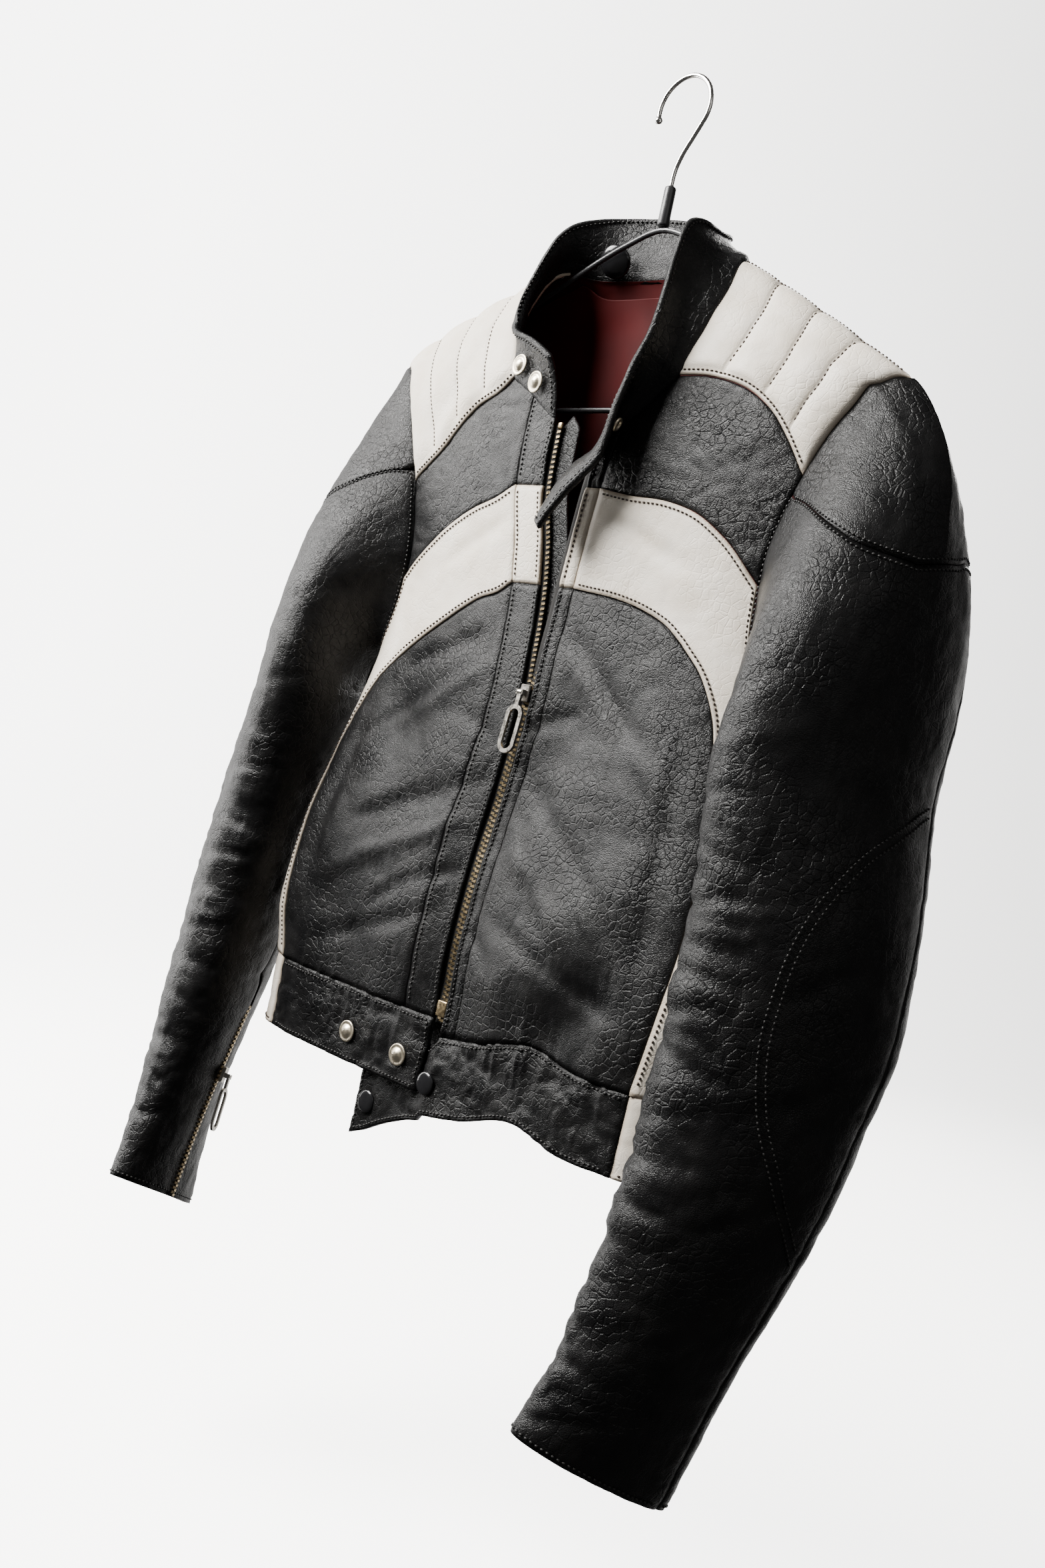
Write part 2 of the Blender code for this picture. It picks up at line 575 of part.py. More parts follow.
def build_back(seams, looks):
    spots = back_spots(seams[1])
    sheet("back", whole(spots), whole(spots, -LEATHER), looks["black"])


def build_lining(seams, looks):
    """The lining inside the back, clear of the shoulder seams."""
    spots = back_spots(seams[1])[::2, ::2]
    share = (spots[..., 1] - BAND_LEVEL) / (RIDGE_LEVEL - BAND_LEVEL)
    spots[..., 1] = LINING_LOW_LEVEL + share * (LINING_TOP_LEVEL - LINING_LOW_LEVEL)
    spots[..., 0] = 2.0 - (2.0 - spots[..., 0]) * (1.0 - LINING_SIDE_INSET)
    out = -LEATHER - LINING_LAY
    sheet("lining_back", whole(spots, out), whole(spots, out - LINING), looks["red"])


# ---------------------------------------------------------------- sleeves
FRONT_SEAM_TURN = -85.0
BACK_SEAM_TURN = 140.0
CAP_START_TURN = 17.0
HEAD_END = 0.76
UNDERARM_OUT = 0.060
SEAM_BLEND = 0.15
SEAM_AGREE = 0.60
HEAD_ROWS = 4
TUBE_ROWS = 14
CAP_ROWS = 4
CAP_GAP = 0.0006
CapRow = namedtuple("CapRow", "turn share")
CAP_SEAM = (
    CapRow(17, 0.03), CapRow(28, 0.19), CapRow(40, 0.30), CapRow(58, 0.39),
    CapRow(76, 0.44), CapRow(94, 0.43), CapRow(118, 0.37), CapRow(140, 0.31),
)
Crease = namedtuple("Crease", "name turn z half_turn width tilt depth")
SLEEVE_FOLDS = (
    Crease("inner elbow upper", 10, -0.570, 55, 0.013, 0.10, -0.005),
    Crease("inner elbow lower", 0, -0.630, 60, 0.012, -0.15, -0.004),
    Crease("forearm upper", 15, -0.690, 60, 0.012, 0.20, -0.0035),
    Crease("forearm lower", 5, -0.750, 65, 0.012, -0.10, -0.0035),
    Crease("wrist", 0, -0.806, 70, 0.010, 0.15, -0.0030),
    Crease("back of elbow", 170, -0.610, 60, 0.022, 0.30, 0.0040),
)


def ring_points(ring, turns):
    """Points around one sleeve ring: 0 is the front edge, 90 the outer side, 180 the back."""
    angle = np.radians(turns)
    turn = math.radians(ring.turn)
    forward = np.array((-math.sin(turn), -math.cos(turn), 0.0))
    outward = np.array((math.cos(turn), -math.sin(turn), 0.0))
    reach = ring.reach * np.cos(angle)
    side = np.where(np.sin(angle) > 0, ring.out, ring.inn) * np.sin(angle)
    points = np.array((ring.x, ring.y, ring.z)) + reach[:, None] * forward + side[:, None] * outward
    points[:, 2] += ring.tilt * reach
    return points


def armhole_loop(lines):
    """Spots round the armhole from the front seam's underarm, over the tip, to the underarm again."""
    front = np.concatenate((lines["arm low"][::-1], lines["arm chest"][::-1][1:],
                            lines["arm yoke"][::-1][1:]))
    back = np.concatenate((lines["arm back"][::-1][1:], lines["arm side back"][::-1][1:]))
    return front, back


def loop_turns(side, lines):
    """Turn of each armhole spot, from -90 at the underarm to 90 at the tip and 270 at the underarm."""
    front, back = armhole_loop(lines)
    front_points = torso(side, front)[0]
    back_points = torso(side, np.concatenate((front[-1:], back)))[0]
    result = []
    for points, start in ((front_points, -90.0), (back_points, 90.0)):
        reach = np.concatenate(([0.0], np.cumsum(np.linalg.norm(np.diff(points, axis=0), axis=1))))
        result.append(start + 180.0 * reach / reach[-1])
    return np.concatenate((result[0], result[1][1:])), np.concatenate((front, back))


def sleeve_tube(turns, down):
    """Sleeve below the head; down runs from 0 at the first ring to 1 at the cuff."""
    rings = np.stack([ring_points(ring, turns) for ring in SLEEVE])
    slope = np.gradient(rings, axis=0)
    place_at = down * (len(SLEEVE) - 1)
    index = np.clip(place_at.astype(int), 0, len(SLEEVE) - 2)
    t = (place_at - index)[:, None]
    pick = np.arange(len(turns))
    return (rings[index, pick] * (1 + 2 * t) * (1 - t) ** 2 + slope[index, pick] * t * (1 - t) ** 2
            + rings[index + 1, pick] * t * t * (3 - 2 * t) + slope[index + 1, pick] * t * t * (t - 1))


def upper_arm(turns, heights):
    """Points on the upper arm's rings at the given heights."""
    table = UPPER_ARM + SLEEVE[:1]
    rings = np.stack([ring_points(ring, turns) for ring in table])
    levels = -np.array([ring.z for ring in table])
    index = np.clip(np.searchsorted(levels, -heights) - 1, 0, len(table) - 2)
    t = ((-heights - levels[index]) / (levels[index + 1] - levels[index]))[:, None]
    pick = np.arange(len(turns))
    return rings[index, pick] * (1 - t) + rings[index + 1, pick] * t


def sleeve_form(turns, starts, down):
    """Left sleeve points: down runs 0 to 1 from the armhole to the first ring, then 1 to 2 to the cuff."""
    first = ring_points(SLEEVE[0], turns)
    second = ring_points(SLEEVE[1], turns)
    reach = HEAD_END * (starts[:, 2] - SLEEVE[0].z) / (SLEEVE[0].z - SLEEVE[1].z)
    arrive = (second - first) * reach[:, None]
    middle = (starts + first) / 2
    leave = 8 * (upper_arm(turns, middle[:, 2]) - middle) + arrive
    leave[:, 0] += UNDERARM_OUT * np.clip(-np.sin(np.radians(turns)), 0.0, 1.0)
    t = np.clip(down, 0.0, 1.0)[:, None]
    head = ((1 + 2 * t) * (1 - t) ** 2 * starts + t * (1 - t) ** 2 * leave
            + t * t * (3 - 2 * t) * first + t * t * (t - 1) * arrive)
    return np.where((down > 1.0)[:, None], sleeve_tube(turns, np.clip(down - 1.0, 0.0, 1.0)), head)


def crease_depth(turns, points):
    total = np.zeros(len(turns))
    for fold in SLEEVE_FOLDS:
        off_turn = (turns - fold.turn + 180.0) % 360.0 - 180.0
        height = fold.z + fold.tilt * 0.001 * off_turn
        across = np.exp(-((points[:, 2] - height) / fold.width) ** 2)
        total += fold.depth * across * ease(1.4 * (1 - np.abs(off_turn) / fold.half_turn))
    return total


def sleeve_grid(side, turns, columns, down, out=0.0):
    """Points on the sleeve form; turns and down are grids with a row for each column of the armhole."""
    shape = down.shape
    flat_turns, flat_down = turns.ravel(), down.ravel()
    starts, tangents, seam_normals = (np.repeat(part, shape[1], axis=0) for part in columns[1:])

    def at(turn_step, down_step):
        moved = np.clip(flat_down + down_step, 0.0, 2.0)
        return sleeve_form(flat_turns + turn_step, starts + tangents * turn_step, moved)

    points = at(0.0, 0.0)
    normal = unit(np.cross(at(0.0, 0.01) - at(0.0, -0.01), at(1.0, 0.0) - at(-1.0, 0.0)))
    agree = ease((normal * seam_normals).sum(-1) / SEAM_AGREE)
    share = ((1 - ease(flat_down / SEAM_BLEND)) * agree)[:, None]
    normal = unit(seam_normals * share + normal * (1 - share))
    lift = np.broadcast_to(out, shape).ravel() + crease_depth(flat_turns, points)
    return mirror(side, points + normal * lift[:, None]).reshape(shape + (3,))


def down_rows(top):
    """Rows from the top share of each column to the cuff: head rows, then two rows for each ring."""
    head = np.linspace(0.0, 1.0, HEAD_ROWS + 1)[None]
    head = top[:, None] * (1 - head) + head
    tube = np.linspace(1.0, 2.0, TUBE_ROWS + 1)[None, 1:]
    return np.concatenate((head, np.repeat(tube, len(top), axis=0)), axis=1)


Columns = namedtuple("Columns", "turns starts tangents normals")


class Armhole:
    """The armhole of one side: its turns, and its points and normals as on the left."""

    def __init__(self, side, lines):
        self.side = side
        self.turns, spots = loop_turns(side, lines)
        points, normals = torso(side, spots)
        self.points, self.normals = mirror(side, points), mirror(side, normals)
        round_turns = np.concatenate((self.turns[-2:-1] - 360.0, self.turns, self.turns[1:2] + 360.0))
        round_points = np.concatenate((self.points[-2:-1], self.points, self.points[1:2]))
        self.tangents = np.gradient(round_points, round_turns, axis=0)[1:-1]

    def nearest(self, turn):
        return int(np.argmin(np.abs(self.turns - turn)))

    def columns(self, first, last):
        """Columns from one loop index to another; an index past the loop goes round again."""
        count = len(self.turns) - 1
        index = np.arange(first, last + 1)
        turns = self.turns[index % count] + 360.0 * (index // count)
        pick = index % count
        return Columns(turns, self.points[pick], self.tangents[pick], self.normals[pick])


def under_rows(count, cap_share):
    """Rows of the under sleeve: its first column matches the cap and top sleeve, its last the front seam."""
    back = np.concatenate((np.linspace(0.0, cap_share, CAP_ROWS + 1),
                           np.linspace(cap_share, 1.0, HEAD_ROWS + 1)[1:]))
    front = np.linspace(0.0, 1.0, 2 * HEAD_ROWS + 1)
    share = np.linspace(0.0, 1.0, count)[:, None]
    tube = np.linspace(1.0, 2.0, TUBE_ROWS + 1)[None, 1:]
    return np.concatenate((back * (1 - share) + front * share, np.repeat(tube, count, axis=0)), axis=1)


def on_chords(grid):
    """Moves every second head point of the last column onto the chord between its neighbours."""
    for row in range(1, 2 * HEAD_ROWS, 2):
        grid[-1, row] = (grid[-1, row - 1] + grid[-1, row + 1]) / 2


def opened(turns, down, edge, way):
    """Turns with the column at one edge moved aside along the cuff zip."""
    grid = np.repeat(turns[:, None], down.shape[1], axis=1)
    grid[edge] += way * ZIP_HALF_TURN * ease((down[edge] - 1.0 - CUFF_ZIP_TOP) / CUFF_ZIP_SPREAD)
    return grid


def build_sleeve(side, word, lines, looks):
    hole = Armhole(side, lines)
    front_seam, back_seam = hole.nearest(FRONT_SEAM_TURN), hole.nearest(BACK_SEAM_TURN)
    cap_start = hole.nearest(CAP_START_TURN)
    loop = len(hole.turns) - 1

    def cap_edge(turns):
        return catmull([row.turn for row in CAP_SEAM], np.array([row.share for row in CAP_SEAM]),
                       np.clip(turns, CAP_SEAM[0].turn, CAP_SEAM[-1].turn))

    columns = hole.columns(cap_start, back_seam)
    share = np.linspace(0.0, 1.0, CAP_ROWS + 1)[None]
    wall(f"sleeve_cap_{word}", hole, columns.turns[:, None] + 0 * share, columns,
         cap_edge(columns.turns)[:, None] * share, looks["black"], gap=CAP_GAP)

    columns = hole.columns(front_seam, back_seam)
    top = np.where(np.arange(front_seam, back_seam + 1) >= cap_start, cap_edge(columns.turns), 0.0)
    down = down_rows(top)
    wall(f"sleeve_top_{word}", hole, opened(columns.turns, down, 0, 1), columns, down, looks["black"])

    columns = hole.columns(back_seam, front_seam + loop)
    down = under_rows(len(columns.turns), top[-1])
    turns = opened(columns.turns, down, -1, -1)
    outer, inner = (sleeve_grid(side, turns, columns, down, out) for out in (0.0, -LEATHER))
    on_chords(outer)
    on_chords(inner)
    sheet(f"sleeve_under_{word}", outer, inner, looks["black"])
    build_cuff_zip(hole, word, front_seam + loop, looks)


def wall(name, hole, turns, columns, down, finish, top_out=0.0, thickness=LEATHER, gap=SEAM_GAP):
    outer = sleeve_grid(hole.side, turns, columns, down, top_out)
    inner = sleeve_grid(hole.side, turns, columns, down, top_out - thickness)
    return sheet(name, outer, inner, finish, gap)


# ---------------------------------------------------------------- cuff zips
CUFF_ZIP_TOP = 0.50
CUFF_ZIP_SPREAD = 1.0 / TUBE_ROWS
CUFF_TAPE_TOP = 0.59
ZIP_HALF_TURN = 6.0
TAPE_HALF_TURN = 4.6
TAPE_THICK = 0.0012
CUFF_TAPE_OUT = -0.0008
PATCH_TURN, PATCH_DOWN = 1.0, 0.02
TAPE_ROWS = 7
CUFF_SLIDER_AT = 0.72
CUFF_SLIDER_OUT = 0.0012


def build_cuff_zip(hole, word, seam_index, looks):
    columns = hole.columns(seam_index - 1, seam_index + 1)
    centre = columns.turns[1]
    strip = np.array((centre - TAPE_HALF_TURN, centre, centre + TAPE_HALF_TURN))
    down = 1.0 + np.linspace(CUFF_TAPE_TOP, 1.0, TAPE_ROWS + 1)[None]
    down = np.repeat(down, 3, axis=0)
    wall(f"cuff_zip_{word}", hole, strip[:, None] + 0 * down, columns, down, looks["tape"],
         CUFF_TAPE_OUT, TAPE_THICK)
    steps = np.array((-1.0, 0.0, 1.0))
    spot_turn = centre + PATCH_TURN * np.repeat(steps[:, None], 3, axis=1)
    spot_down = 1.0 + CUFF_SLIDER_AT + PATCH_DOWN * np.repeat(steps[None], 3, axis=0)
    patch = sleeve_grid(hole.side, spot_turn, columns, spot_down)
    axes = surface_axes(hole.side, patch)
    point = patch[1, 1] + axes[1] * CUFF_SLIDER_OUT
    build_slider(f"cuff_slider_{word}", f"cuff_pull_{word}", point, axes, looks)


def surface_axes(side, patch):
    """Across, outward and upward directions at the middle of a three by three patch."""
    upward = unit(patch[1, 0] - patch[1, 2])
    across = unit(patch[2, 1] - patch[0, 1]) * side
    outward = unit(np.cross(across, upward))
    return unit(np.cross(upward, outward)), outward, upward


# ---------------------------------------------------------------- zip slider and hanging pull
SLIDER = Vector((0.0085, 0.0032, 0.0120))
SLIDER_LOW = -0.0012
LUG = Vector((0.0010, 0.0046, 0.0036))
LUG_SPREAD = 0.0052
PIVOT_OUT = 0.0050
PIN_RADIUS = 0.0007
EYE_RADIUS = 0.0019
EYE_BORE = 0.0011
EYE_LENGTH = 0.0034
NECK_BLOCK = Vector((0.0034, 0.0022, 0.0100))
RING_SIZE = (0.0150, 0.0340)
RING_BAR = 0.0030
RING_THICK = 0.0020
ROUND = 12
HANG_CLEAR = 0.05
JOIN = 0.0008
SLIDER_BEVEL = 0.0006


def frame_matrix(origin, across, outward, upward):
    matrix = Matrix((across, -outward, upward)).transposed().to_4x4()
    matrix.translation = Vector(origin)
    return matrix


def box_mesh(size, centre):
    bm = bmesh.new()
    bmesh.ops.create_cube(bm, size=1.0)
    bmesh.ops.scale(bm, vec=size, verts=bm.verts)
    bmesh.ops.translate(bm, vec=centre, verts=bm.verts)
    return bm


def rod_mesh(radius, length, centre, axis="X"):
    bm = bmesh.new()
    turn = Matrix.Rotation(math.pi / 2, 4, "Y") if axis == "X" else Matrix.Rotation(math.pi / 2, 4, "X")
    bmesh.ops.create_cone(bm, cap_ends=True, segments=ROUND, radius1=radius, radius2=radius, depth=length)
    bmesh.ops.transform(bm, matrix=Matrix.Translation(centre) @ turn, verts=bm.verts)
    return bm


def oval_ring_mesh(width, length, bar, thick, centre):
    """A flat oval ring with round ends, its long side upright."""
    bm = bmesh.new()
    straight = (length - width) / 2
    loops = []
    for radius, front in ((width / 2, 1), (width / 2 - bar, 1), (width / 2 - bar, -1), (width / 2, -1)):
        loop = []
        for k in range(2 * ROUND):
            angle = 2 * math.pi * k / (2 * ROUND)
            lift = math.copysign(straight, math.sin(angle + 1e-6))
            loop.append(bm.verts.new(centre + Vector((radius * math.cos(angle), -front * thick / 2,
                                                      radius * math.sin(angle) + lift))))
        loops.append(loop)
    for first, second in zip(loops, loops[1:] + loops[:1]):
        for k in range(len(first)):
            m = (k + 1) % len(first)
            bm.faces.new((first[k], first[m], second[m], second[k]))
    return bm


def fused(name, pieces, matrix, finish, cuts=()):
    """One solid from overlapping pieces, less its cuts, placed by a matrix."""
    body = place(name, pieces[0], finish, flat=True)
    body.matrix_world = matrix
    steps = [(piece, "UNION") for piece in pieces[1:]] + [(cut, "DIFFERENCE") for cut in cuts]
    for number, (piece, operation) in enumerate(steps):
        helper = place(f"{name}_shape_{number}", piece, finish, flat=True)
        helper.matrix_world = matrix
        helper.hide_render = True
        helper.display_type = "WIRE"
        step = body.modifiers.new(f"{operation.lower()}_{number}", "BOOLEAN")
        step.operation = operation
        step.object = helper
    return body


def build_slider(slider_name, pull_name, point, axes, looks):
    across, outward, upward = axes
    matrix = frame_matrix(point, across, outward, upward)
    body = box_mesh(SLIDER, Vector((0, -SLIDER_LOW - SLIDER.y / 2, 0)))
    bmesh.ops.bevel(body, geom=body.edges[:], offset=SLIDER_BEVEL, segments=1, affect="EDGES")
    lugs = [box_mesh(LUG, Vector((way * LUG_SPREAD / 2, -PIVOT_OUT + JOIN, 0))) for way in (1, -1)]
    pin = rod_mesh(PIN_RADIUS, LUG_SPREAD, Vector((0, -PIVOT_OUT, 0)))
    fused(slider_name, [body] + lugs + [pin], matrix, looks["steel"])

    pivot = Vector(point) + Vector(outward) * PIVOT_OUT
    axis = Vector(across)
    hang = (Vector((0, 0, 1)) - axis * axis.z).normalized()
    if hang.dot(outward) > 0:
        hang = (Vector(upward) - Vector(outward) * HANG_CLEAR).normalized()
    plumb = frame_matrix(pivot, axis, axis.cross(hang), hang)
    block_z = -EYE_RADIUS - NECK_BLOCK.z / 2 + JOIN
    ring_z = -EYE_RADIUS - NECK_BLOCK.z - RING_SIZE[1] / 2 + RING_BAR
    eye = rod_mesh(EYE_RADIUS, EYE_LENGTH, Vector((0, 0, 0)))
    block = box_mesh(NECK_BLOCK, Vector((0, 0, block_z)))
    ring = oval_ring_mesh(*RING_SIZE, RING_BAR, RING_THICK, Vector((0, 0, ring_z)))
    bore = rod_mesh(EYE_BORE, 2 * EYE_LENGTH, Vector((0, 0, 0)))
    fused(pull_name, [eye, block, ring], plumb, looks["steel"], [bore])


def front_points(flat, out=0.0):
    """Points on the front at (x, z), where x may cross the centre."""
    result = []
    for x, z in flat:
        side = 1 if x >= 0 else -1
        point, _ = torso(side, np.array([spot(abs(x), z)]), out)
        result.append(point[0])
    return np.array(result)


def front_strip(name, rows, out, thickness, finish):
    """A strip inside the front; each row is the height with the x of its cross points."""
    columns = len(rows[0][1])
    outer = np.stack([front_points([(xs[c], z) for z, xs in rows], out) for c in range(columns)])
    inner = np.stack([front_points([(xs[c], z) for z, xs in rows], out - thickness) for c in range(columns)])
    return sheet(name, outer, inner, finish)


# ---------------------------------------------------------------- front zip, wind flap
TAPE_UNDER = 0.0060
TAPE_LAY = 0.0009
FLAP_TOP_Z = -0.252
FLAP_UNDER = 0.0140
FLAP_BEYOND = 0.0200
FLAP_THICK = 0.0018
FLAP_OUT = -0.0052
ZIP_LOW_Z = -0.656
ZIP_TAPE_ROWS = 15
TAPE_BELOW_NECK = 0.004
FLAP_ROWS = 13
PATCH_X, PATCH_Z = 0.005, 0.010


def signed_edge(side, z):
    return float(edge_x(side, z)) * side


def build_front_zip(looks):
    for side, word in SIDES:
        rows = []
        for z in np.linspace(EDGE_NECK[side][1] - TAPE_BELOW_NECK, ZIP_LOW_Z, ZIP_TAPE_ROWS):
            edge = signed_edge(side, z)
            rows.append((z, (edge - side * EDGE_GAP, edge, edge + side * TAPE_UNDER)))
        front_strip(f"zip_tape_{word}", rows, -LEATHER - TAPE_LAY, TAPE_THICK, looks["tape"])
    rows = []
    for z in np.linspace(FLAP_TOP_Z, ZIP_LOW_Z, FLAP_ROWS):
        edge = signed_edge(-1, z)
        rows.append((z, (edge - FLAP_UNDER, edge, edge + FLAP_BEYOND)))
    front_strip("wind_flap", rows, FLAP_OUT, FLAP_THICK, looks["black"])
    heights = [FRONT_SLIDER_Z + step for step in (PATCH_Z, 0.0, -PATCH_Z)]
    patch = np.stack([front_points([(SLIDER_X + step, z) for z in heights])
                      for step in (-PATCH_X, 0.0, PATCH_X)])
    build_slider("zip_slider", "zip_pull", patch[1, 1], surface_axes(1, patch), looks)


# ---------------------------------------------------------------- collar
CollarRow = namedtuple("CollarRow", "name station x y z")
COLLAR_TOP = (
    CollarRow("right end", 0, -0.028, -0.053, -0.2140),
    CollarRow("right front", 1, -0.048, -0.050, -0.2030),
    CollarRow("right corner", 4, -0.084, -0.042, -0.1850),
    CollarRow("right side", 7, -0.0865, -0.030, -0.1420),
    CollarRow("right neck", 10, -0.077, -0.010, -0.1010),
    CollarRow("right back", 12, -0.056, 0.020, -0.0870),
    CollarRow("centre back", 14, -0.006, 0.036, -0.0880),
    CollarRow("left back", 16, 0.038, 0.026, -0.1040),
    CollarRow("left neck", 18, 0.055, 0.000, -0.1150),
    CollarRow("left side", 21, 0.060, -0.042, -0.1240),
    CollarRow("left front", 24, 0.0665, -0.0605, -0.1950),
    CollarRow("left lapel", 27, 0.056, -0.0660, -0.2500),
    CollarRow("left end", 28, 0.052, -0.0680, -0.2870),
)
TabRow = namedtuple("TabRow", "name x y z x_free y_free z_free")
COLLAR_TAB = (
    TabRow("tab root", 0.018, -0.0520, -0.2900, 0.042, -0.0705, -0.3030),
    TabRow("tab middle", 0.010, -0.0560, -0.3050, 0.031, -0.0735, -0.3170),
    TabRow("tab low", 0.006, -0.0600, -0.3220, 0.023, -0.0755, -0.3320),
    TabRow("tab tip", 0.010, -0.0660, -0.3330, 0.018, -0.0750, -0.3400),
)
COLLAR_THICK = 0.0034
COLLAR_LIFT = 0.0018
COLLAR_BULGE = 0.0030
COLLAR_ROWS = 3


def collar_base(seams):
    """Points of the neck seam from the right end round the back to the left end."""
    left, right = seams[1], seams[-1]
    right_run = np.concatenate((right["neck strip"][::-1], right["neck chest"][::-1][1:],
                                right["neck yoke"][::-1][1:]))
    left_run = np.concatenate((left["neck yoke"][1:], left["neck chest"][1:], left["neck strip"][1:]))
    return np.concatenate((torso(-1, right_run)[0], torso(-1, right["back neck"][::-1][1:])[0],
                           torso(1, left["back neck"][1:])[0], torso(1, left_run)[0]))


def collar_surface(seams, rows=COLLAR_ROWS):
    """Middle surface of the collar with its outward normal."""
    base = collar_base(seams)
    stations = [row.station for row in COLLAR_TOP]
    table = np.array([(row.x, row.y, row.z) for row in COLLAR_TOP])
    wanted = np.arange(len(base), dtype=float)
    top = np.stack([catmull(stations, table[:, k], wanted) for k in range(3)], axis=1)
    base = base + unit(top - base) * COLLAR_LIFT
    base = np.concatenate((base, [(row.x, row.y, row.z) for row in COLLAR_TAB]))
    top = np.concatenate((top, [(row.x_free, row.y_free, row.z_free) for row in COLLAR_TAB]))
    v = np.linspace(0.0, 1.0, rows + 1)[None, :, None]
    points = base[:, None] * (1 - v) + top[:, None] * v
    normal = unit(np.cross(np.gradient(points, axis=0), np.gradient(points, axis=1)))
    return points + normal * (4 * v * (1 - v) * COLLAR_BULGE), normal


def build_collar(seams, looks):
    points, normal = collar_surface(seams)
    sheet("collar", points + normal * COLLAR_THICK / 2, points - normal * COLLAR_THICK / 2, looks["black"])


# ---------------------------------------------------------------- waist band
BAND_THICK = 0.0030
BAND_ROWS = 3
BandTab = namedtuple("BandTab", "x top_z low_z out")
BAND_TAB = (
    BandTab(0.0030, -0.6950, -0.7470, -0.0040),
    BandTab(-0.0100, -0.7000, -0.7510, -0.0052),
    BandTab(-0.0300, -0.7080, -0.7600, -0.0054),
    BandTab(-0.0480, -0.7170, -0.7700, -0.0054),
    BandTab(-0.0620, -0.7230, -0.7760, -0.0054),
)


def band_spots(top_line):
    low_line = np.stack((top_line[:, 0], np.zeros(len(top_line))), axis=1)
    return band_between(top_line, low_line, BAND_ROWS)


def build_bands(seams, looks):
    for side, word in SIDES:
        lines = seams[side]
        front = np.concatenate((lines["edge lower"][-1:], lines["band front"]))
        spots = band_spots(front)
        outer = torso(side, spots)[0]
        inner = torso(side, spots, -BAND_THICK)[0]
        if side > 0:
            outer = np.concatenate((tab_columns(0.0), outer))
            inner = np.concatenate((tab_columns(-BAND_THICK), inner))
        sheet(f"band_{word}", outer, inner, looks["black"])
        under = through([tuple(lines["band front"][-1]), (1.0, BAND_LEVEL), tuple(lines["side back"][-1])],
                        4, GIRTH_SCALE)
        torso_panel(f"band_side_{word}", side, band_spots(under), looks["cream"], BAND_THICK)
    count = len(seams[1]["back neck"]) + len(seams[1]["back ridge"]) - 2
    back = through([(2.0, BAND_LEVEL), tuple(seams[1]["side back"][-1])], count, GIRTH_SCALE)
    spots = band_spots(back)
    sheet("band_back", whole(spots), whole(spots, -BAND_THICK), looks["black"])


def tab_columns(out):
    columns = []
    for row in BAND_TAB[::-1]:
        heights = np.linspace(row.top_z, row.low_z, BAND_ROWS + 1)
        columns.append(hanging_points([(row.x, z) for z in heights], row.out + out))
    return np.array(columns)


def hanging_points(flat, out):
    """Front points, carried straight down below the hem."""
    points = front_points([(x, max(z, TORSO[0].height)) for x, z in flat], out)
    points[:, 2] = [z for _, z in flat]
    return points


# ---------------------------------------------------------------- snaps and the neck disc
Snap = namedtuple("Snap", "name radius height dome lay finish")
RING_STUD = Snap("ring stud", 0.00775, 0.0012, 0.0022, 0.0009, "steel")
COLLAR_STUD = Snap("ring stud", 0.00775, 0.0012, 0.0022, 0.0028, "steel")
SOCKET = Snap("socket", 0.0050, 0.0014, 0.0006, 0.0036, "steel")
COVERED_CAP = Snap("covered cap", 0.0080, 0.0016, 0.0010, 0.0004, "black")
NECK_DISC = Snap("neck disc", 0.0120, 0.0026, 0.0020, 0.0060, "black")


def build_snap(name, kind, point, outward, looks):
    """A low round stud: a flat plate with a rounded middle."""
    bm = bmesh.new()
    profile = ((kind.radius, 0.0), (kind.radius, 0.6 * kind.height), (0.88 * kind.radius, kind.height),
               (0.50 * kind.radius, kind.height), (0.36 * kind.radius, kind.height + 0.8 * kind.dome))
    loops = [[bm.verts.new((r * math.cos(2 * math.pi * k / ROUND), r * math.sin(2 * math.pi * k / ROUND), h))
              for k in range(ROUND)] for r, h in profile]
    bm.faces.new(loops[0][::-1])
    for low, high in zip(loops, loops[1:]):
        for k in range(ROUND):
            m = (k + 1) % ROUND
            bm.faces.new((low[k], low[m], high[m], high[k]))
    peak = bm.verts.new((0, 0, kind.height + kind.dome))
    for k in range(ROUND):
        bm.faces.new((loops[-1][k], loops[-1][(k + 1) % ROUND], peak))
    made = place(name, bm, looks[kind.finish])
    turn = Vector((0, 0, 1)).rotation_difference(Vector(outward)).to_matrix().to_4x4()
    made.matrix_world = Matrix.Translation(Vector(point) + Vector(outward) * kind.lay) @ turn


SnapSpot = namedtuple("SnapSpot", "name kind station up face")
COLLAR_SNAPS = (
    SnapSpot("collar_stud_upper", COLLAR_STUD, 2.7, 0.27, -1),
    SnapSpot("collar_stud_lower", COLLAR_STUD, 0.8, 0.22, -1),
    SnapSpot("collar_socket_upper", SOCKET, 27.3, 0.62, -1),
    SnapSpot("collar_socket_middle", SOCKET, 29.1, 0.36, -1),
    SnapSpot("collar_socket_lower", SOCKET, 30.3, 0.36, -1),
    SnapSpot("collar_disc", NECK_DISC, 11.8, 0.24, 1),
)
BandSnap = namedtuple("BandSnap", "name kind x z out")
BAND_SNAPS = (
    BandSnap("band_stud_outer", RING_STUD, -0.0775, -0.7070, 0.0),
    BandSnap("band_stud_inner", RING_STUD, -0.0225, -0.7082, 0.0),
    BandSnap("band_cap_outer", COVERED_CAP, -0.0491, -0.7496, -0.0054),
    BandSnap("band_cap_inner", COVERED_CAP, 0.0096, -0.7190, 0.0),
)


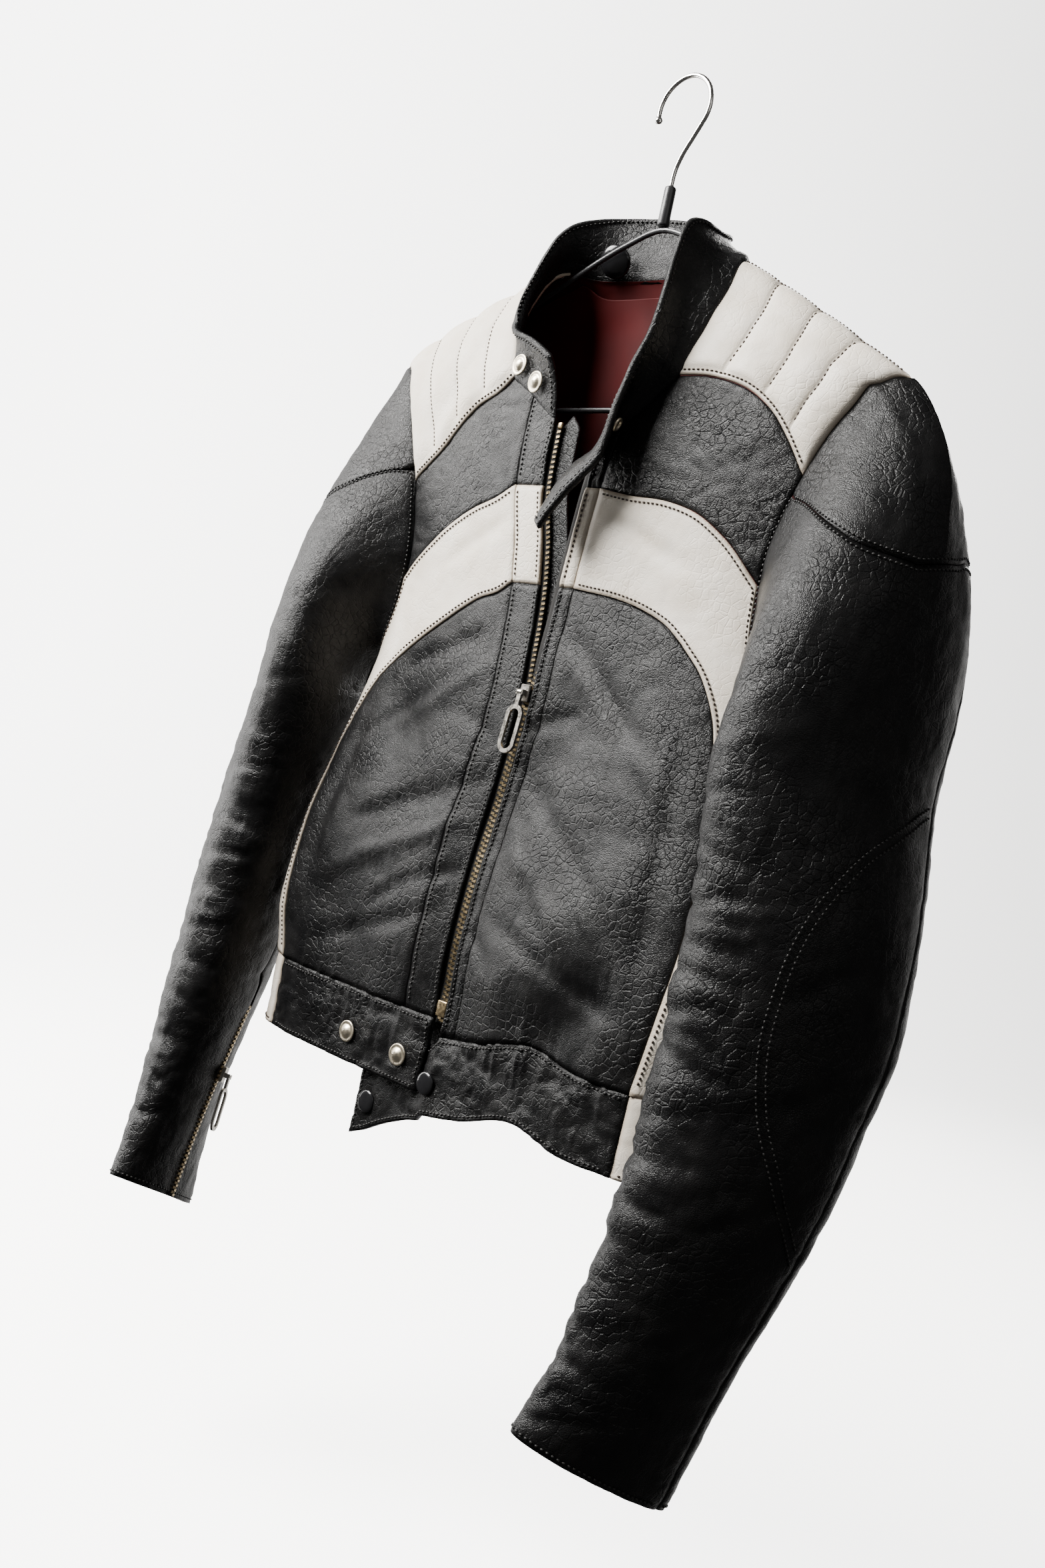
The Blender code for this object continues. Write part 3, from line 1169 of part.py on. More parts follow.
def on_grid(points, i, j):
    """Point and direction vectors at a fractional place on a grid."""
    a, b = int(min(i, points.shape[0] - 2)), int(min(j, points.shape[1] - 2))
    s, t = i - a, j - b
    along = points[a + 1, b] - points[a, b]
    up = points[a, b + 1] - points[a, b]
    low = points[a, b] * (1 - s) + points[a + 1, b] * s
    high = points[a, b + 1] * (1 - s) + points[a + 1, b + 1] * s
    return low * (1 - t) + high * t, along, up


def build_snaps(seams, looks):
    points, normal = collar_surface(seams)
    for item in COLLAR_SNAPS:
        face = points + normal * (item.face * COLLAR_THICK / 2)
        point, along, up = on_grid(face, item.station, item.up * COLLAR_ROWS)
        build_snap(item.name, item.kind, point, unit(np.cross(along, up)) * item.face, looks)
    for item in BAND_SNAPS:
        point = hanging_points([(item.x, item.z)], item.out)[0]
        level = hanging_points([(item.x + 0.01, item.z)], item.out)[0] - point
        outward = unit(np.cross(level, np.array((0.0, 0.0, 1.0))))
        build_snap(item.name, item.kind, point, outward, looks)


# ---------------------------------------------------------------- hanger
WIRE_RADIUS = 0.0018
FRAME_RADIUS = 0.0020
HOOK_RADIUS = 0.0230
HOOK_CENTRE_X = -0.0030
NECK_TOP = -0.078
NECK_LOW = -0.1060
HOOK_TIP_TURN, HOOK_BEND_TURN, HOOK_STEP_TURN = 195, -30, 15
ShankRow = namedtuple("ShankRow", "x_share z")
HOOK_SHANK = (
    ShankRow(0.62, -0.0440), ShankRow(0.28, -0.0540), ShankRow(0.06, -0.0640),
    ShankRow(0.0, -0.0720), ShankRow(0.0, NECK_TOP + SEAM_GAP),
)
NECK_SLEEVE_RADIUS = 0.0042
BALL_RADIUS = 0.0028
FRAME_PATH = ((0.0, -0.1086), (0.030, -0.1170), (0.060, -0.1300), (0.090, -0.1460), (0.120, -0.1615),
              (0.150, -0.1780), (0.178, -0.1945), (0.194, -0.2080), (0.2000, -0.2215), (0.1930, -0.2330),
              (0.178, -0.2370), (0.120, -0.2370), (0.060, -0.2370), (0.0, -0.2370))


def tube_mesh(points, radius, sides, closed=False, end_radius=None):
    """A round tube through points in the hanger's plane."""
    bm = bmesh.new()
    count = len(points)
    loops = []
    for i, point in enumerate(points):
        before = points[(i - 1) % count] if closed or i > 0 else point
        after = points[(i + 1) % count] if closed or i < count - 1 else point
        run = (Vector(after) - Vector(before)).normalized()
        side = Vector((0, 1, 0))
        normal = run.cross(side).normalized()
        loops.append([bm.verts.new(Vector(point) + radius * (math.cos(2 * math.pi * k / sides) * side
                                                             + math.sin(2 * math.pi * k / sides) * normal))
                      for k in range(sides)])
    pairs = list(zip(loops, loops[1:])) + ([(loops[-1], loops[0])] if closed else [])
    for low, high in pairs:
        for k in range(sides):
            m = (k + 1) % sides
            bm.faces.new((low[k], low[m], high[m], high[k]))
    if not closed:
        bm.faces.new(loops[0][::-1])
        bm.faces.new(loops[-1])
    return bm


def build_hanger(looks):
    centre_z = WIRE_RADIUS - HOOK_RADIUS
    hook = []
    for degrees in range(HOOK_TIP_TURN, HOOK_BEND_TURN - 1, -HOOK_STEP_TURN):
        angle = math.radians(degrees)
        hook.append((HOOK_CENTRE_X + HOOK_RADIUS * math.cos(angle), 0.0,
                     centre_z + HOOK_RADIUS * math.sin(angle)))
    bend_x = hook[-1][0]
    hook += [(bend_x * row.x_share, 0.0, row.z) for row in HOOK_SHANK]
    body = tube_mesh(hook, WIRE_RADIUS, 8)
    ball = bmesh.new()
    bmesh.ops.create_uvsphere(ball, u_segments=8, v_segments=6, radius=BALL_RADIUS)
    bmesh.ops.translate(ball, vec=hook[0], verts=ball.verts)
    fused("hanger_hook", [body, ball], Matrix.Identity(4), looks["steel"])
    sleeve = [(0.0, 0.0, z) for z in (NECK_TOP, NECK_LOW)]
    place("hanger_neck", tube_mesh(sleeve, NECK_SLEEVE_RADIUS, ROUND), looks["plastic"])
    right = [(-x, 0.0, z) for x, z in FRAME_PATH]
    left = [(x, 0.0, z) for x, z in FRAME_PATH]
    loop = left + right[::-1][1:-1]
    place("hanger_frame", tube_mesh(loop, FRAME_RADIUS, 8, closed=True), looks["plastic"])


# ---------------------------------------------------------------- the whole part
def main():
    for item in list(bpy.data.objects):
        bpy.data.objects.remove(item, do_unlink=True)
    looks = {
        "black": material("black leather", (0.012, 0.012, 0.013), 0.42),
        "cream": material("cream leather", (0.72, 0.66, 0.58), 0.50),
        "red": material("red lining", (0.22, 0.006, 0.008), 0.75),
        "steel": material("nickelled metal", (0.62, 0.60, 0.56), 0.25, 1.0),
        "tape": material("black zip tape", (0.015, 0.014, 0.014), 0.85),
        "plastic": material("black coated wire", (0.020, 0.020, 0.022), 0.40),
    }
    seams = {side: half_seams(side) for side, _ in SIDES}
    build_fronts(seams, looks)
    build_back(seams, looks)
    build_lining(seams, looks)
    for side, word in SIDES:
        build_sleeve(side, word, seams[side], looks)
    build_collar(seams, looks)
    build_front_zip(looks)
    build_bands(seams, looks)
    build_snaps(seams, looks)
    build_hanger(looks)


main()
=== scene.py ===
"""Leather motorcycle jacket on a wire hanger: the look of every piece.

Metres, +Z up. X runs to the wearer's left, -Y is the front. The origin is where the hook rests.
"""
import math
from collections import namedtuple

import bmesh
import bpy
import numpy as np
from mathutils import Matrix, Vector


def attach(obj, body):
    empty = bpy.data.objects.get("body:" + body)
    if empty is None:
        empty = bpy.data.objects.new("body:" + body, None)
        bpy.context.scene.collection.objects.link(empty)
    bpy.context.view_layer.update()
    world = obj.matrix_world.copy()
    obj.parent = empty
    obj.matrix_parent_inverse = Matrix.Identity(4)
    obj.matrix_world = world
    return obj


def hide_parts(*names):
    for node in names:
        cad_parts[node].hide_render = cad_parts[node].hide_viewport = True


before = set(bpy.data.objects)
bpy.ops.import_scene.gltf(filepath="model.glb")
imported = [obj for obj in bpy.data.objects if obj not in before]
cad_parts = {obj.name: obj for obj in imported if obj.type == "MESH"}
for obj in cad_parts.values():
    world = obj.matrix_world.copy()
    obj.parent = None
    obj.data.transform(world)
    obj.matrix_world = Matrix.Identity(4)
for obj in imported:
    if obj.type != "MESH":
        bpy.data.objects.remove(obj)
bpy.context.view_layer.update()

# ---------------------------------------------------------------- sizes shared with the solids

LEATHER = 0.0020
LINING = 0.0012
SEAM_GAP = 0.0004
MIRROR = np.array((-1.0, 1.0, 1.0))

Section = namedtuple("Section", "name level height drop half front back fullness")
TORSO = (
    Section("hem", 0.000, -0.728, 0.000, 0.203, 0.062, 0.056, 5.0),
    Section("band top", 0.052, -0.676, 0.000, 0.205, 0.063, 0.058, 5.0),
    Section("blouse", 0.098, -0.632, 0.000, 0.208, 0.065, 0.062, 6.0),
    Section("belly", 0.155, -0.577, 0.000, 0.206, 0.062, 0.062, 5.5),
    Section("waist", 0.225, -0.510, 0.000, 0.197, 0.056, 0.060, 4.0),
    Section("underarm", 0.300, -0.435, 0.000, 0.187, 0.048, 0.056, 2.8),
    Section("chest", 0.365, -0.370, 0.000, 0.195, 0.044, 0.054, 2.1),
    Section("stripe", 0.430, -0.305, 0.010, 0.205, 0.044, 0.051, 2.0),
    Section("yoke low", 0.510, -0.225, 0.035, 0.215, 0.041, 0.045, 2.1),
    Section("yoke mid", 0.575, -0.160, 0.075, 0.224, 0.031, 0.037, 2.2),
    Section("roll start", 0.607, -0.129, 0.102, 0.230, 0.021, 0.027, 2.3),
    Section("roll", 0.627, -0.109, 0.115, 0.232, 0.0115, 0.0150, 2.4),
    Section("ridge", 0.643, -0.101, 0.119, 0.234, 0.0, 0.0, 2.4),
)
SLOPE_POWER = 1.2
RIDGE_LEVEL = TORSO[-1].level
RIDGE_ROUND = 0.004
BAND_LEVEL = TORSO[1].level
RIGHT_LIFT = np.array((-0.016, 0.0, 0.017))
LIFT_FROM_X, LIFT_RUN_X = 0.03, 0.20
LIFT_FROM_Z, LIFT_RUN_Z = -0.36, 0.12
Sag = namedtuple("Sag", "x drop")
LEFT_SAG = (Sag(0.0, 0.0150), Sag(0.045, 0.0060), Sag(0.095, -0.0080), Sag(0.140, 0.0), Sag(0.210, 0.0))
SAG_FROM_Z, SAG_RUN_Z = -0.650, 0.035
FRONT_FADE_Y = 0.030
ZIP_X = 0.005
SLIDER_X = 0.012
FRONT_SLIDER_Z = -0.447

Ring = namedtuple("Ring", "name x y z reach out inn turn tilt")
UPPER_ARM = (
    Ring("shoulder", 0.224, 0.003, -0.300, 0.086, 0.050, 0.043, 3, 0.0),
    Ring("upper arm", 0.2275, 0.003, -0.360, 0.080, 0.054, 0.043, 12, 0.0),
    Ring("above bicep", 0.231, -0.006, -0.420, 0.078, 0.050, 0.040, 15, 0.0),
)
SLEEVE = (
    Ring("bicep", 0.238, -0.015, -0.480, 0.079, 0.046, 0.037, 19, 0.0),
    Ring("above elbow", 0.248, -0.020, -0.540, 0.075, 0.049, 0.037, 25, 0.0),
    Ring("elbow", 0.254, -0.028, -0.600, 0.073, 0.046, 0.038, 30, 0.0),
    Ring("forearm", 0.256, -0.039, -0.660, 0.068, 0.041, 0.038, 33, 0.0),
    Ring("low forearm", 0.254, -0.052, -0.720, 0.062, 0.036, 0.034, 34, 0.04),
    Ring("wrist", 0.247, -0.067, -0.780, 0.055, 0.030, 0.028, 33, 0.10),
    Ring("above cuff", 0.239, -0.080, -0.832, 0.052, 0.026, 0.024, 29, 0.22),
    Ring("cuff", 0.231, -0.090, -0.876, 0.0535, 0.024, 0.021, 24, 0.38),
)

# Seam corners and the points between them, as (x, z) seen from the front.
SHOULDER_X = 0.229
NECK_X = 0.080
YOKE_NECK = {1: (0.075, -0.225), -1: (0.073, -0.224)}
NECK_UPPER = ((0.0875, -0.156), (0.0860, -0.186))
STRIP_NECK = {1: (0.0400, -0.2620), -1: (0.0500, -0.2360)}
NECK_LOWER = {1: ((0.0590, -0.2440),), -1: ((0.0620, -0.2300),)}
EDGE_NECK = {1: (0.0280, -0.2745), -1: (0.0220, -0.2550)}
EDGE_GAP = 0.0055
STRIP_WIDTH = {1: 0.0125, -1: 0.0280}
Edge = namedtuple("Edge", "z left right")
OPEN_EDGE = (
    Edge(-0.255, 0.0300, 0.0220),
    Edge(-0.303, 0.0215, 0.0190),
    Edge(-0.345, 0.0185, 0.0075),
    Edge(-0.372, 0.0170, 0.0020),
    Edge(-0.410, 0.0165, -0.0030),
    Edge(FRONT_SLIDER_Z, SLIDER_X + EDGE_GAP, EDGE_GAP - SLIDER_X),
    Edge(-0.560, ZIP_X + EDGE_GAP, EDGE_GAP - ZIP_X),
    Edge(-0.676, ZIP_X + EDGE_GAP, EDGE_GAP - ZIP_X),
)
YOKE_ARM = {1: (0.180, -0.285), -1: (0.172, -0.305)}
YOKE_LOW = {
    1: ((0.105, -0.226), (0.133, -0.234), (0.152, -0.247), (0.165, -0.262)),
    -1: ((0.087, -0.239), (0.102, -0.248), (0.116, -0.261), (0.137, -0.283)),
}
STRIPE_ARM = {1: (0.166, -0.356), -1: (0.166, -0.374)}
STRIPE_TOP_Z = -0.303
STRIPE_LOW_Z = -0.372
STRIPE_TOP = {
    1: ((0.062, -0.307), (0.092, -0.309), (0.115, -0.315), (0.137, -0.328)),
    -1: ((0.062, -0.312), (0.085, -0.321), (0.112, -0.334), (0.137, -0.350)),
}
ARCH_TOP = {
    1: ((0.040, -0.373), (0.070, -0.376), (0.095, -0.382), (0.112, -0.389)),
    -1: ((0.040, -0.379), (0.060, -0.386), (0.080, -0.397), (0.097, -0.408)),
}
ARCH_BEND = {1: (0.126, -0.399), -1: (0.113, -0.419)}
ARCH_MID = {1: ((0.146, -0.418), (0.161, -0.443)), -1: ((0.135, -0.436), (0.155, -0.455))}
ARCH_SIDE = {1: (0.172, -0.475), -1: (0.171, -0.480)}
ARCH_LOW = ((0.181, -0.510), (0.187, -0.550), (0.188, -0.590), (0.184, -0.635))
ARCH_HEM_X = 0.176
ARM_YOKE = ((0.215, -0.2215), (0.199, -0.243), (0.188, -0.264))
ARM_CHEST = {1: ((0.172, -0.310), (0.167, -0.334)), -1: ((0.168, -0.328), (0.165, -0.351))}
ARM_LOW = {1: ((0.168, -0.388), (0.176, -0.416)), -1: ((0.169, -0.398), (0.176, -0.420))}
ARM_BACK_LOW = ((0.185, -0.427),)
SIDE_BACK_ARM = (0.182, -0.408)
SIDE_HEM_X = 0.178
SIDE_BACK = ((0.184, -0.450), (0.186, -0.520), (0.189, -0.590), (0.184, -0.635))
ARM_BACK = ((0.181, -0.370), (0.183, -0.325), (0.189, -0.280), (0.200, -0.246), (0.214, -0.2235))
NECK_BACK = ((0.066, -0.1345), (0.040, -0.1335))
NECK_BACK_Z = -0.133

# Segments along the seams, kept the same on both sides of each seam.
FINE = 8
ACROSS_TOP = 12 * FINE
YOKE_ROWS = 6 * FINE
NECK_ROWS = 3 * FINE
STRIP_ROWS = 3 * FINE
ARM_FRONT_LOW = 4 * FINE
ARM_SIDE_BACK = 2 * FINE
SIDE_ROWS = 6 * FINE
KNEE_SHARE = 2 * FINE
ACROSS_HEM = ACROSS_TOP + KNEE_SHARE
FRONT_ROWS = ARM_FRONT_LOW + ARM_SIDE_BACK - KNEE_SHARE + SIDE_ROWS
BACK_RIDGE = 6 * FINE
BACK_NECK = 4 * FINE
BACK_ARM = 8 * FINE
RIDGE_CROWD = 1.7

# ---------------------------------------------------------------- curves
def hermite(t, first, leave, last, arrive):
    """Cubic from the first value to the last with the given slopes."""
    return (first * (1 + 2 * t) * (1 - t) ** 2 + leave * t * (1 - t) ** 2
            + last * t * t * (3 - 2 * t) + arrive * t * t * (t - 1))


def running_length(points, scale=1.0):
    """Length along a line of points up to each of them."""
    return np.concatenate(([0.0], np.cumsum(np.linalg.norm(np.diff(points, axis=0) * scale, axis=1))))


def looked_up(wanted, reach, values):
    """Values along a line at the wanted lengths."""
    return np.stack([np.interp(wanted, reach, values[:, k]) for k in range(values.shape[1])], axis=1)


def smooth(knots, values, query):
    """Cubic through the knots that never overshoots them."""
    knots = np.asarray(knots, float)
    values = np.asarray(values, float)
    step = np.diff(knots)
    slope = np.diff(values) / step
    tangent = np.zeros(len(values))
    same = slope[1:] * slope[:-1] > 0
    tangent[1:-1][same] = 2 * slope[1:][same] * slope[:-1][same] / (slope[1:] + slope[:-1])[same]
    tangent[0] = slope[0]
    tangent[-1] = slope[-1]
    query = np.clip(query, knots[0], knots[-1])
    index = np.clip(np.searchsorted(knots, query) - 1, 0, len(step) - 1)
    width = step[index]
    t = (query - knots[index]) / width
    return hermite(t, values[index], tangent[index] * width, values[index + 1], tangent[index + 1] * width)


def through(points, count, scale, crowd=1.0):
    """Smooth curve through the points in count steps, even in the given scale or crowded to the end."""
    points = np.asarray(points, float)
    reach = running_length(points, scale)
    if len(points) > 2:
        fine = np.linspace(0.0, reach[-1], 12 * len(points))
        points = np.stack([catmull(reach, points[:, k], fine) for k in range(points.shape[1])], axis=1)
        reach = running_length(points, scale)
    steps = reach[-1] * (1.0 - np.linspace(1.0, 0.0, count + 1) ** crowd)
    return looked_up(steps, reach, points)


def catmull(knots, values, query):
    """Cubic through the knots with the slope of its neighbours at each knot."""
    knots = np.asarray(knots, float)
    tangent = np.gradient(values, knots)
    index = np.clip(np.searchsorted(knots, query) - 1, 0, len(knots) - 2)
    width = knots[index + 1] - knots[index]
    t = (query - knots[index]) / width
    return hermite(t, values[index], tangent[index] * width, values[index + 1], tangent[index + 1] * width)


def ease(t):
    t = np.clip(t, 0.0, 1.0)
    return t * t * (3 - 2 * t)


def unit(vectors):
    return vectors / np.maximum(np.linalg.norm(vectors, axis=-1, keepdims=True), 1e-12)


# ---------------------------------------------------------------- torso form
QUARTER = np.linspace(0.0, math.pi / 2, 49)
LEVELS = [row.level for row in TORSO]
GIRTH_SCALE = np.array((0.22, 1.0))


def torso_size(level, name):
    return smooth(LEVELS, [getattr(row, name) for row in TORSO], level)


def quarter(level, depth_name):
    """Quarter sections from the centre to the side, with the share of length at each step."""
    half = torso_size(level, "half")[:, None]
    depth = torso_size(level, depth_name)[:, None]
    power = 2.0 / torso_size(level, "fullness")[:, None]
    across = half * np.sin(QUARTER) ** power
    along = depth * np.cos(QUARTER) ** power
    step = np.hypot(np.diff(across, axis=1), np.diff(along, axis=1))
    share = np.concatenate((np.zeros((len(half), 1)), np.cumsum(step, axis=1)), axis=1)
    return across, along, share / share[:, -1:]


def along_rows(rows, shares, wanted):
    index = np.clip((shares < wanted[:, None]).sum(axis=1), 1, shares.shape[1] - 1)
    pick = np.arange(len(wanted))
    low, high = shares[pick, index - 1], shares[pick, index]
    t = (wanted - low) / np.maximum(high - low, 1e-12)
    return rows[pick, index - 1] * (1 - t) + rows[pick, index] * t


def plain_torso(girth, level):
    """Left half of the torso. Girth is 0 at centre front, 1 at the side and 2 at centre back.

    A girth under 0 is across the centre front.
    """
    front_x, front_y, front_share = quarter(level, "front")
    back_x, back_y, back_share = quarter(level, "back")
    is_front = girth <= 1.0
    front_at = np.clip(np.abs(girth), 0.0, 1.0)
    back_at = np.clip(2.0 - girth, 0.0, 1.0)
    x = np.where(is_front, along_rows(front_x, front_share, front_at),
                 along_rows(back_x, back_share, back_at))
    y = np.where(is_front, -along_rows(front_y, front_share, front_at),
                 along_rows(back_y, back_share, back_at))
    reach = x / torso_size(level, "half")
    z = torso_size(level, "height") - torso_size(level, "drop") * reach ** SLOPE_POWER
    return np.stack((np.where(girth < 0.0, -x, x), y, z), axis=-1)


def torso(side, spots, out=0.0):
    """Points on the torso form at (girth, level) spots, moved out along the cloth's normal."""
    shape = spots.shape[:-1]
    girth = spots[..., 0].ravel()
    level = spots[..., 1].ravel()
    points = plain_torso(girth, level)
    low, high = girth - 0.01, np.minimum(girth + 0.01, 2.0)
    across = plain_torso(high, level) - plain_torso(low, level)
    under, over = np.maximum(level - 0.002, 0.0), np.minimum(level + 0.002, RIDGE_LEVEL)
    upward = plain_torso(girth, over) - plain_torso(girth, under)
    normal = np.cross(across, upward)
    normal[:, 1] *= np.minimum((RIDGE_LEVEL - level) / RIDGE_ROUND, 1.0)
    normal = unit(normal)
    points, normal = lifted(mirror(side, points)), mirror(side, normal)
    if side > 0:
        points = sagged(points)
    moved = points + normal * (np.broadcast_to(out, shape).ravel() + torso_folds(points))[:, None]
    return moved.reshape(shape + (3,)), normal.reshape(shape + (3,))


def lifted(points):
    """The right shoulder sits higher and further out on the hanger than the left one."""
    share = ease((-points[:, 0] - LIFT_FROM_X) / LIFT_RUN_X) * ease((points[:, 2] - LIFT_FROM_Z) / LIFT_RUN_Z)
    return points + share[:, None] * RIGHT_LIFT


def sagged(points):
    """The left band hangs low beside the zip and rides up further out."""
    drop = smooth([row.x for row in LEFT_SAG], [row.drop for row in LEFT_SAG], points[:, 0])
    share = ease((SAG_FROM_Z - points[:, 2]) / SAG_RUN_Z) * ease(-points[:, 1] / FRONT_FADE_Y)
    return points - np.outer(drop * share, (0.0, 0.0, 1.0))


def mirror(side, values):
    return values if side > 0 else values * MIRROR


def spot(x, z, back=False):
    """(girth, level) of the point that shows at (x, z) from the front or the back."""
    low, high = 0.0, RIDGE_LEVEL
    for _ in range(40):
        level = np.array([(low + high) / 2])
        half = torso_size(level, "half")
        reach = min(abs(x) / half[0], 1.0)
        height = torso_size(level, "height") - torso_size(level, "drop") * reach ** SLOPE_POWER
        if height[0] < z:
            low = level[0]
        else:
            high = level[0]
    return at_level(x, level[0], back)


def at_level(x, level, back=False):
    across, _, share = quarter(np.array([level]), "back" if back else "front")
    girth = math.copysign(float(np.interp(abs(x), across[0], share[0])), x)
    return (2.0 - girth if back else girth, float(level))


def seam(points, count, start=None, end=None, back=False, crowd=1.0):
    """Spots along a seam through (x, z) points; start and end may be spots already."""
    spots = [] if start is None else [start]
    spots += [spot(x, z, back) for x, z in points]
    spots += [] if end is None else [end]
    return through(spots, count, GIRTH_SCALE, crowd)


# ---------------------------------------------------------------- largest folds
Fold = namedtuple("Fold", "name x z x_end z_end width depth")
FRONT_FOLDS = (
    Fold("zip dip", 0.005, -0.48, 0.005, -0.70, 0.030, -0.006),
    Fold("left chest drape", 0.070, -0.44, 0.020, -0.56, 0.028, -0.004),
    Fold("left belly roll", 0.145, -0.55, 0.050, -0.64, 0.026, 0.004),
    Fold("left hem drape", 0.150, -0.62, 0.100, -0.67, 0.018, -0.004),
    Fold("right chest drape", -0.120, -0.45, -0.050, -0.55, 0.030, -0.004),
    Fold("right belly roll", -0.150, -0.58, -0.060, -0.50, 0.028, 0.004),
    Fold("right hem drape", -0.080, -0.66, -0.140, -0.60, 0.022, -0.003),
)
BACK_FOLDS = (
    Fold("back centre drape", 0.010, -0.30, 0.000, -0.60, 0.034, -0.004),
    Fold("back left drape", 0.110, -0.40, 0.080, -0.62, 0.030, 0.004),
    Fold("back right drape", -0.120, -0.36, -0.085, -0.60, 0.030, 0.004),
)


def fold_depth(folds, x, z):
    total = np.zeros_like(x)
    for fold in folds:
        run_x, run_z = fold.x_end - fold.x, fold.z_end - fold.z
        length = math.hypot(run_x, run_z)
        along = ((x - fold.x) * run_x + (z - fold.z) * run_z) / length ** 2
        off = ((x - fold.x) * run_z - (z - fold.z) * run_x) / length
        taper = ease((along + 0.25) / 0.5) * ease((1.25 - along) / 0.5)
        total += fold.depth * taper * np.exp(-(off / fold.width) ** 2)
    return total


def torso_folds(points):
    x, y, z = points[:, 0], points[:, 1], points[:, 2]
    front = fold_depth(FRONT_FOLDS, x, z) * ease(-y / FRONT_FADE_Y)
    back = fold_depth(BACK_FOLDS, x, z) * ease(y / FRONT_FADE_Y)
    return front + back


# ---------------------------------------------------------------- seam lines of one half
def edge_x(side, z):
    table = sorted(OPEN_EDGE, key=lambda row: row.z)
    values = [row.left if side > 0 else row.right for row in table]
    return smooth([row.z for row in table], values, z)


def edge_line(side, top_z, low_z, inset, count):
    """Spots down the centre edge, the inset away from it."""
    heights = np.linspace(top_z, low_z, count + 1)
    return np.array([spot(edge_x(side, z) + inset, z) for z in heights])


def half_seams(side):
    """The seam lines of one half, as arrays of spots."""
    ridge_neck = at_level(NECK_X, RIDGE_LEVEL)
    ridge_tip = at_level(SHOULDER_X, RIDGE_LEVEL)
    width = STRIP_WIDTH[side]
    yoke_neck, yoke_arm = spot(*YOKE_NECK[side]), spot(*YOKE_ARM[side])
    stripe_arm = spot(*STRIPE_ARM[side])
    strip_neck, edge_neck = spot(*STRIP_NECK[side]), spot(*EDGE_NECK[side])
    arch_bend, arch_side = spot(*ARCH_BEND[side]), spot(*ARCH_SIDE[side])
    underarm = (1.0, TORSO[5].level)
    back_arm = spot(*SIDE_BACK_ARM, back=True)
    back_tip = (2.0 - ridge_tip[0], RIDGE_LEVEL)
    back_ridge_neck = (2.0 - ridge_neck[0], RIDGE_LEVEL)
    hem_front = at_level(ARCH_HEM_X, BAND_LEVEL)
    hem_back = at_level(SIDE_HEM_X, BAND_LEVEL, back=True)
    strip_top = spot(edge_x(side, STRIPE_TOP_Z) + width, STRIPE_TOP_Z)
    strip_low = spot(edge_x(side, STRIPE_LOW_Z) + width, STRIPE_LOW_Z)
    band_z = TORSO[1].height
    lines = {
        "ridge": through([ridge_neck, ridge_tip], ACROSS_TOP, GIRTH_SCALE),
        "neck yoke": seam(NECK_UPPER, YOKE_ROWS, ridge_neck, yoke_neck),
        "neck chest": seam(NECK_LOWER[side], NECK_ROWS, yoke_neck, strip_neck),
        "neck strip": through([strip_neck, edge_neck], FINE, GIRTH_SCALE),
        "yoke low": seam(YOKE_LOW[side], ACROSS_TOP, yoke_neck, yoke_arm),
        "stripe top": seam(STRIPE_TOP[side], ACROSS_TOP, strip_top, stripe_arm),
        "arch": np.concatenate((
            seam(ARCH_TOP[side], ACROSS_TOP, strip_low, arch_bend),
            seam(ARCH_MID[side], ARM_FRONT_LOW, arch_bend, arch_side)[1:],
            seam(ARCH_LOW, ARM_SIDE_BACK + SIDE_ROWS, arch_side, hem_front)[1:])),
        "arm yoke": seam(ARM_YOKE, YOKE_ROWS, ridge_tip, yoke_arm),
        "arm chest": seam(ARM_CHEST[side], NECK_ROWS + STRIP_ROWS, yoke_arm, stripe_arm),
        "arm low": seam(ARM_LOW[side], ARM_FRONT_LOW, stripe_arm, underarm),
        "arm side back": seam(ARM_BACK_LOW, ARM_SIDE_BACK, underarm, back_arm, back=True),
        "arm back": seam(ARM_BACK, BACK_ARM, back_arm, back_tip, back=True, crowd=RIDGE_CROWD),
        "side back": seam(SIDE_BACK, SIDE_ROWS, back_arm, hem_back, back=True),
        "back ridge": through([back_ridge_neck, back_tip], BACK_RIDGE, GIRTH_SCALE),
        "back neck": seam(((0.0, NECK_BACK_Z),) + NECK_BACK[::-1], BACK_NECK, None, back_ridge_neck,
                          back=True),
        "strip upper": edge_line(side, STRIP_NECK[side][1], STRIPE_TOP_Z, width, STRIP_ROWS),
        "strip stripe": edge_line(side, STRIPE_TOP_Z, STRIPE_LOW_Z, width, STRIP_ROWS),
        "strip lower": edge_line(side, STRIPE_LOW_Z, band_z, width, FRONT_ROWS),
        "edge upper": edge_line(side, EDGE_NECK[side][1], STRIPE_TOP_Z, 0.0, STRIP_ROWS),
        "edge stripe": edge_line(side, STRIPE_TOP_Z, STRIPE_LOW_Z, 0.0, STRIP_ROWS),
        "edge lower": edge_line(side, STRIPE_LOW_Z, band_z, 0.0, FRONT_ROWS),
    }
    lines["strip upper"][0] = strip_neck
    lines["edge upper"][0] = edge_neck
    lines["band front"] = through([lines["strip lower"][-1], hem_front], ACROSS_HEM, GIRTH_SCALE)
    return lines


def coons(bottom, top, left, right):
    """Grid of spots between four seam lines: bottom to top, left to right."""
    u = np.linspace(0.0, 1.0, len(bottom))[:, None, None]
    v = np.linspace(0.0, 1.0, len(left))[None, :, None]
    ruled_v = (1 - v) * bottom[:, None] + v * top[:, None]
    ruled_u = (1 - u) * left[None] + u * right[None]
    corners = ((1 - u) * (1 - v) * bottom[0] + u * (1 - v) * bottom[-1]
               + (1 - u) * v * top[0] + u * v * top[-1])
    return ruled_v + ruled_u - corners


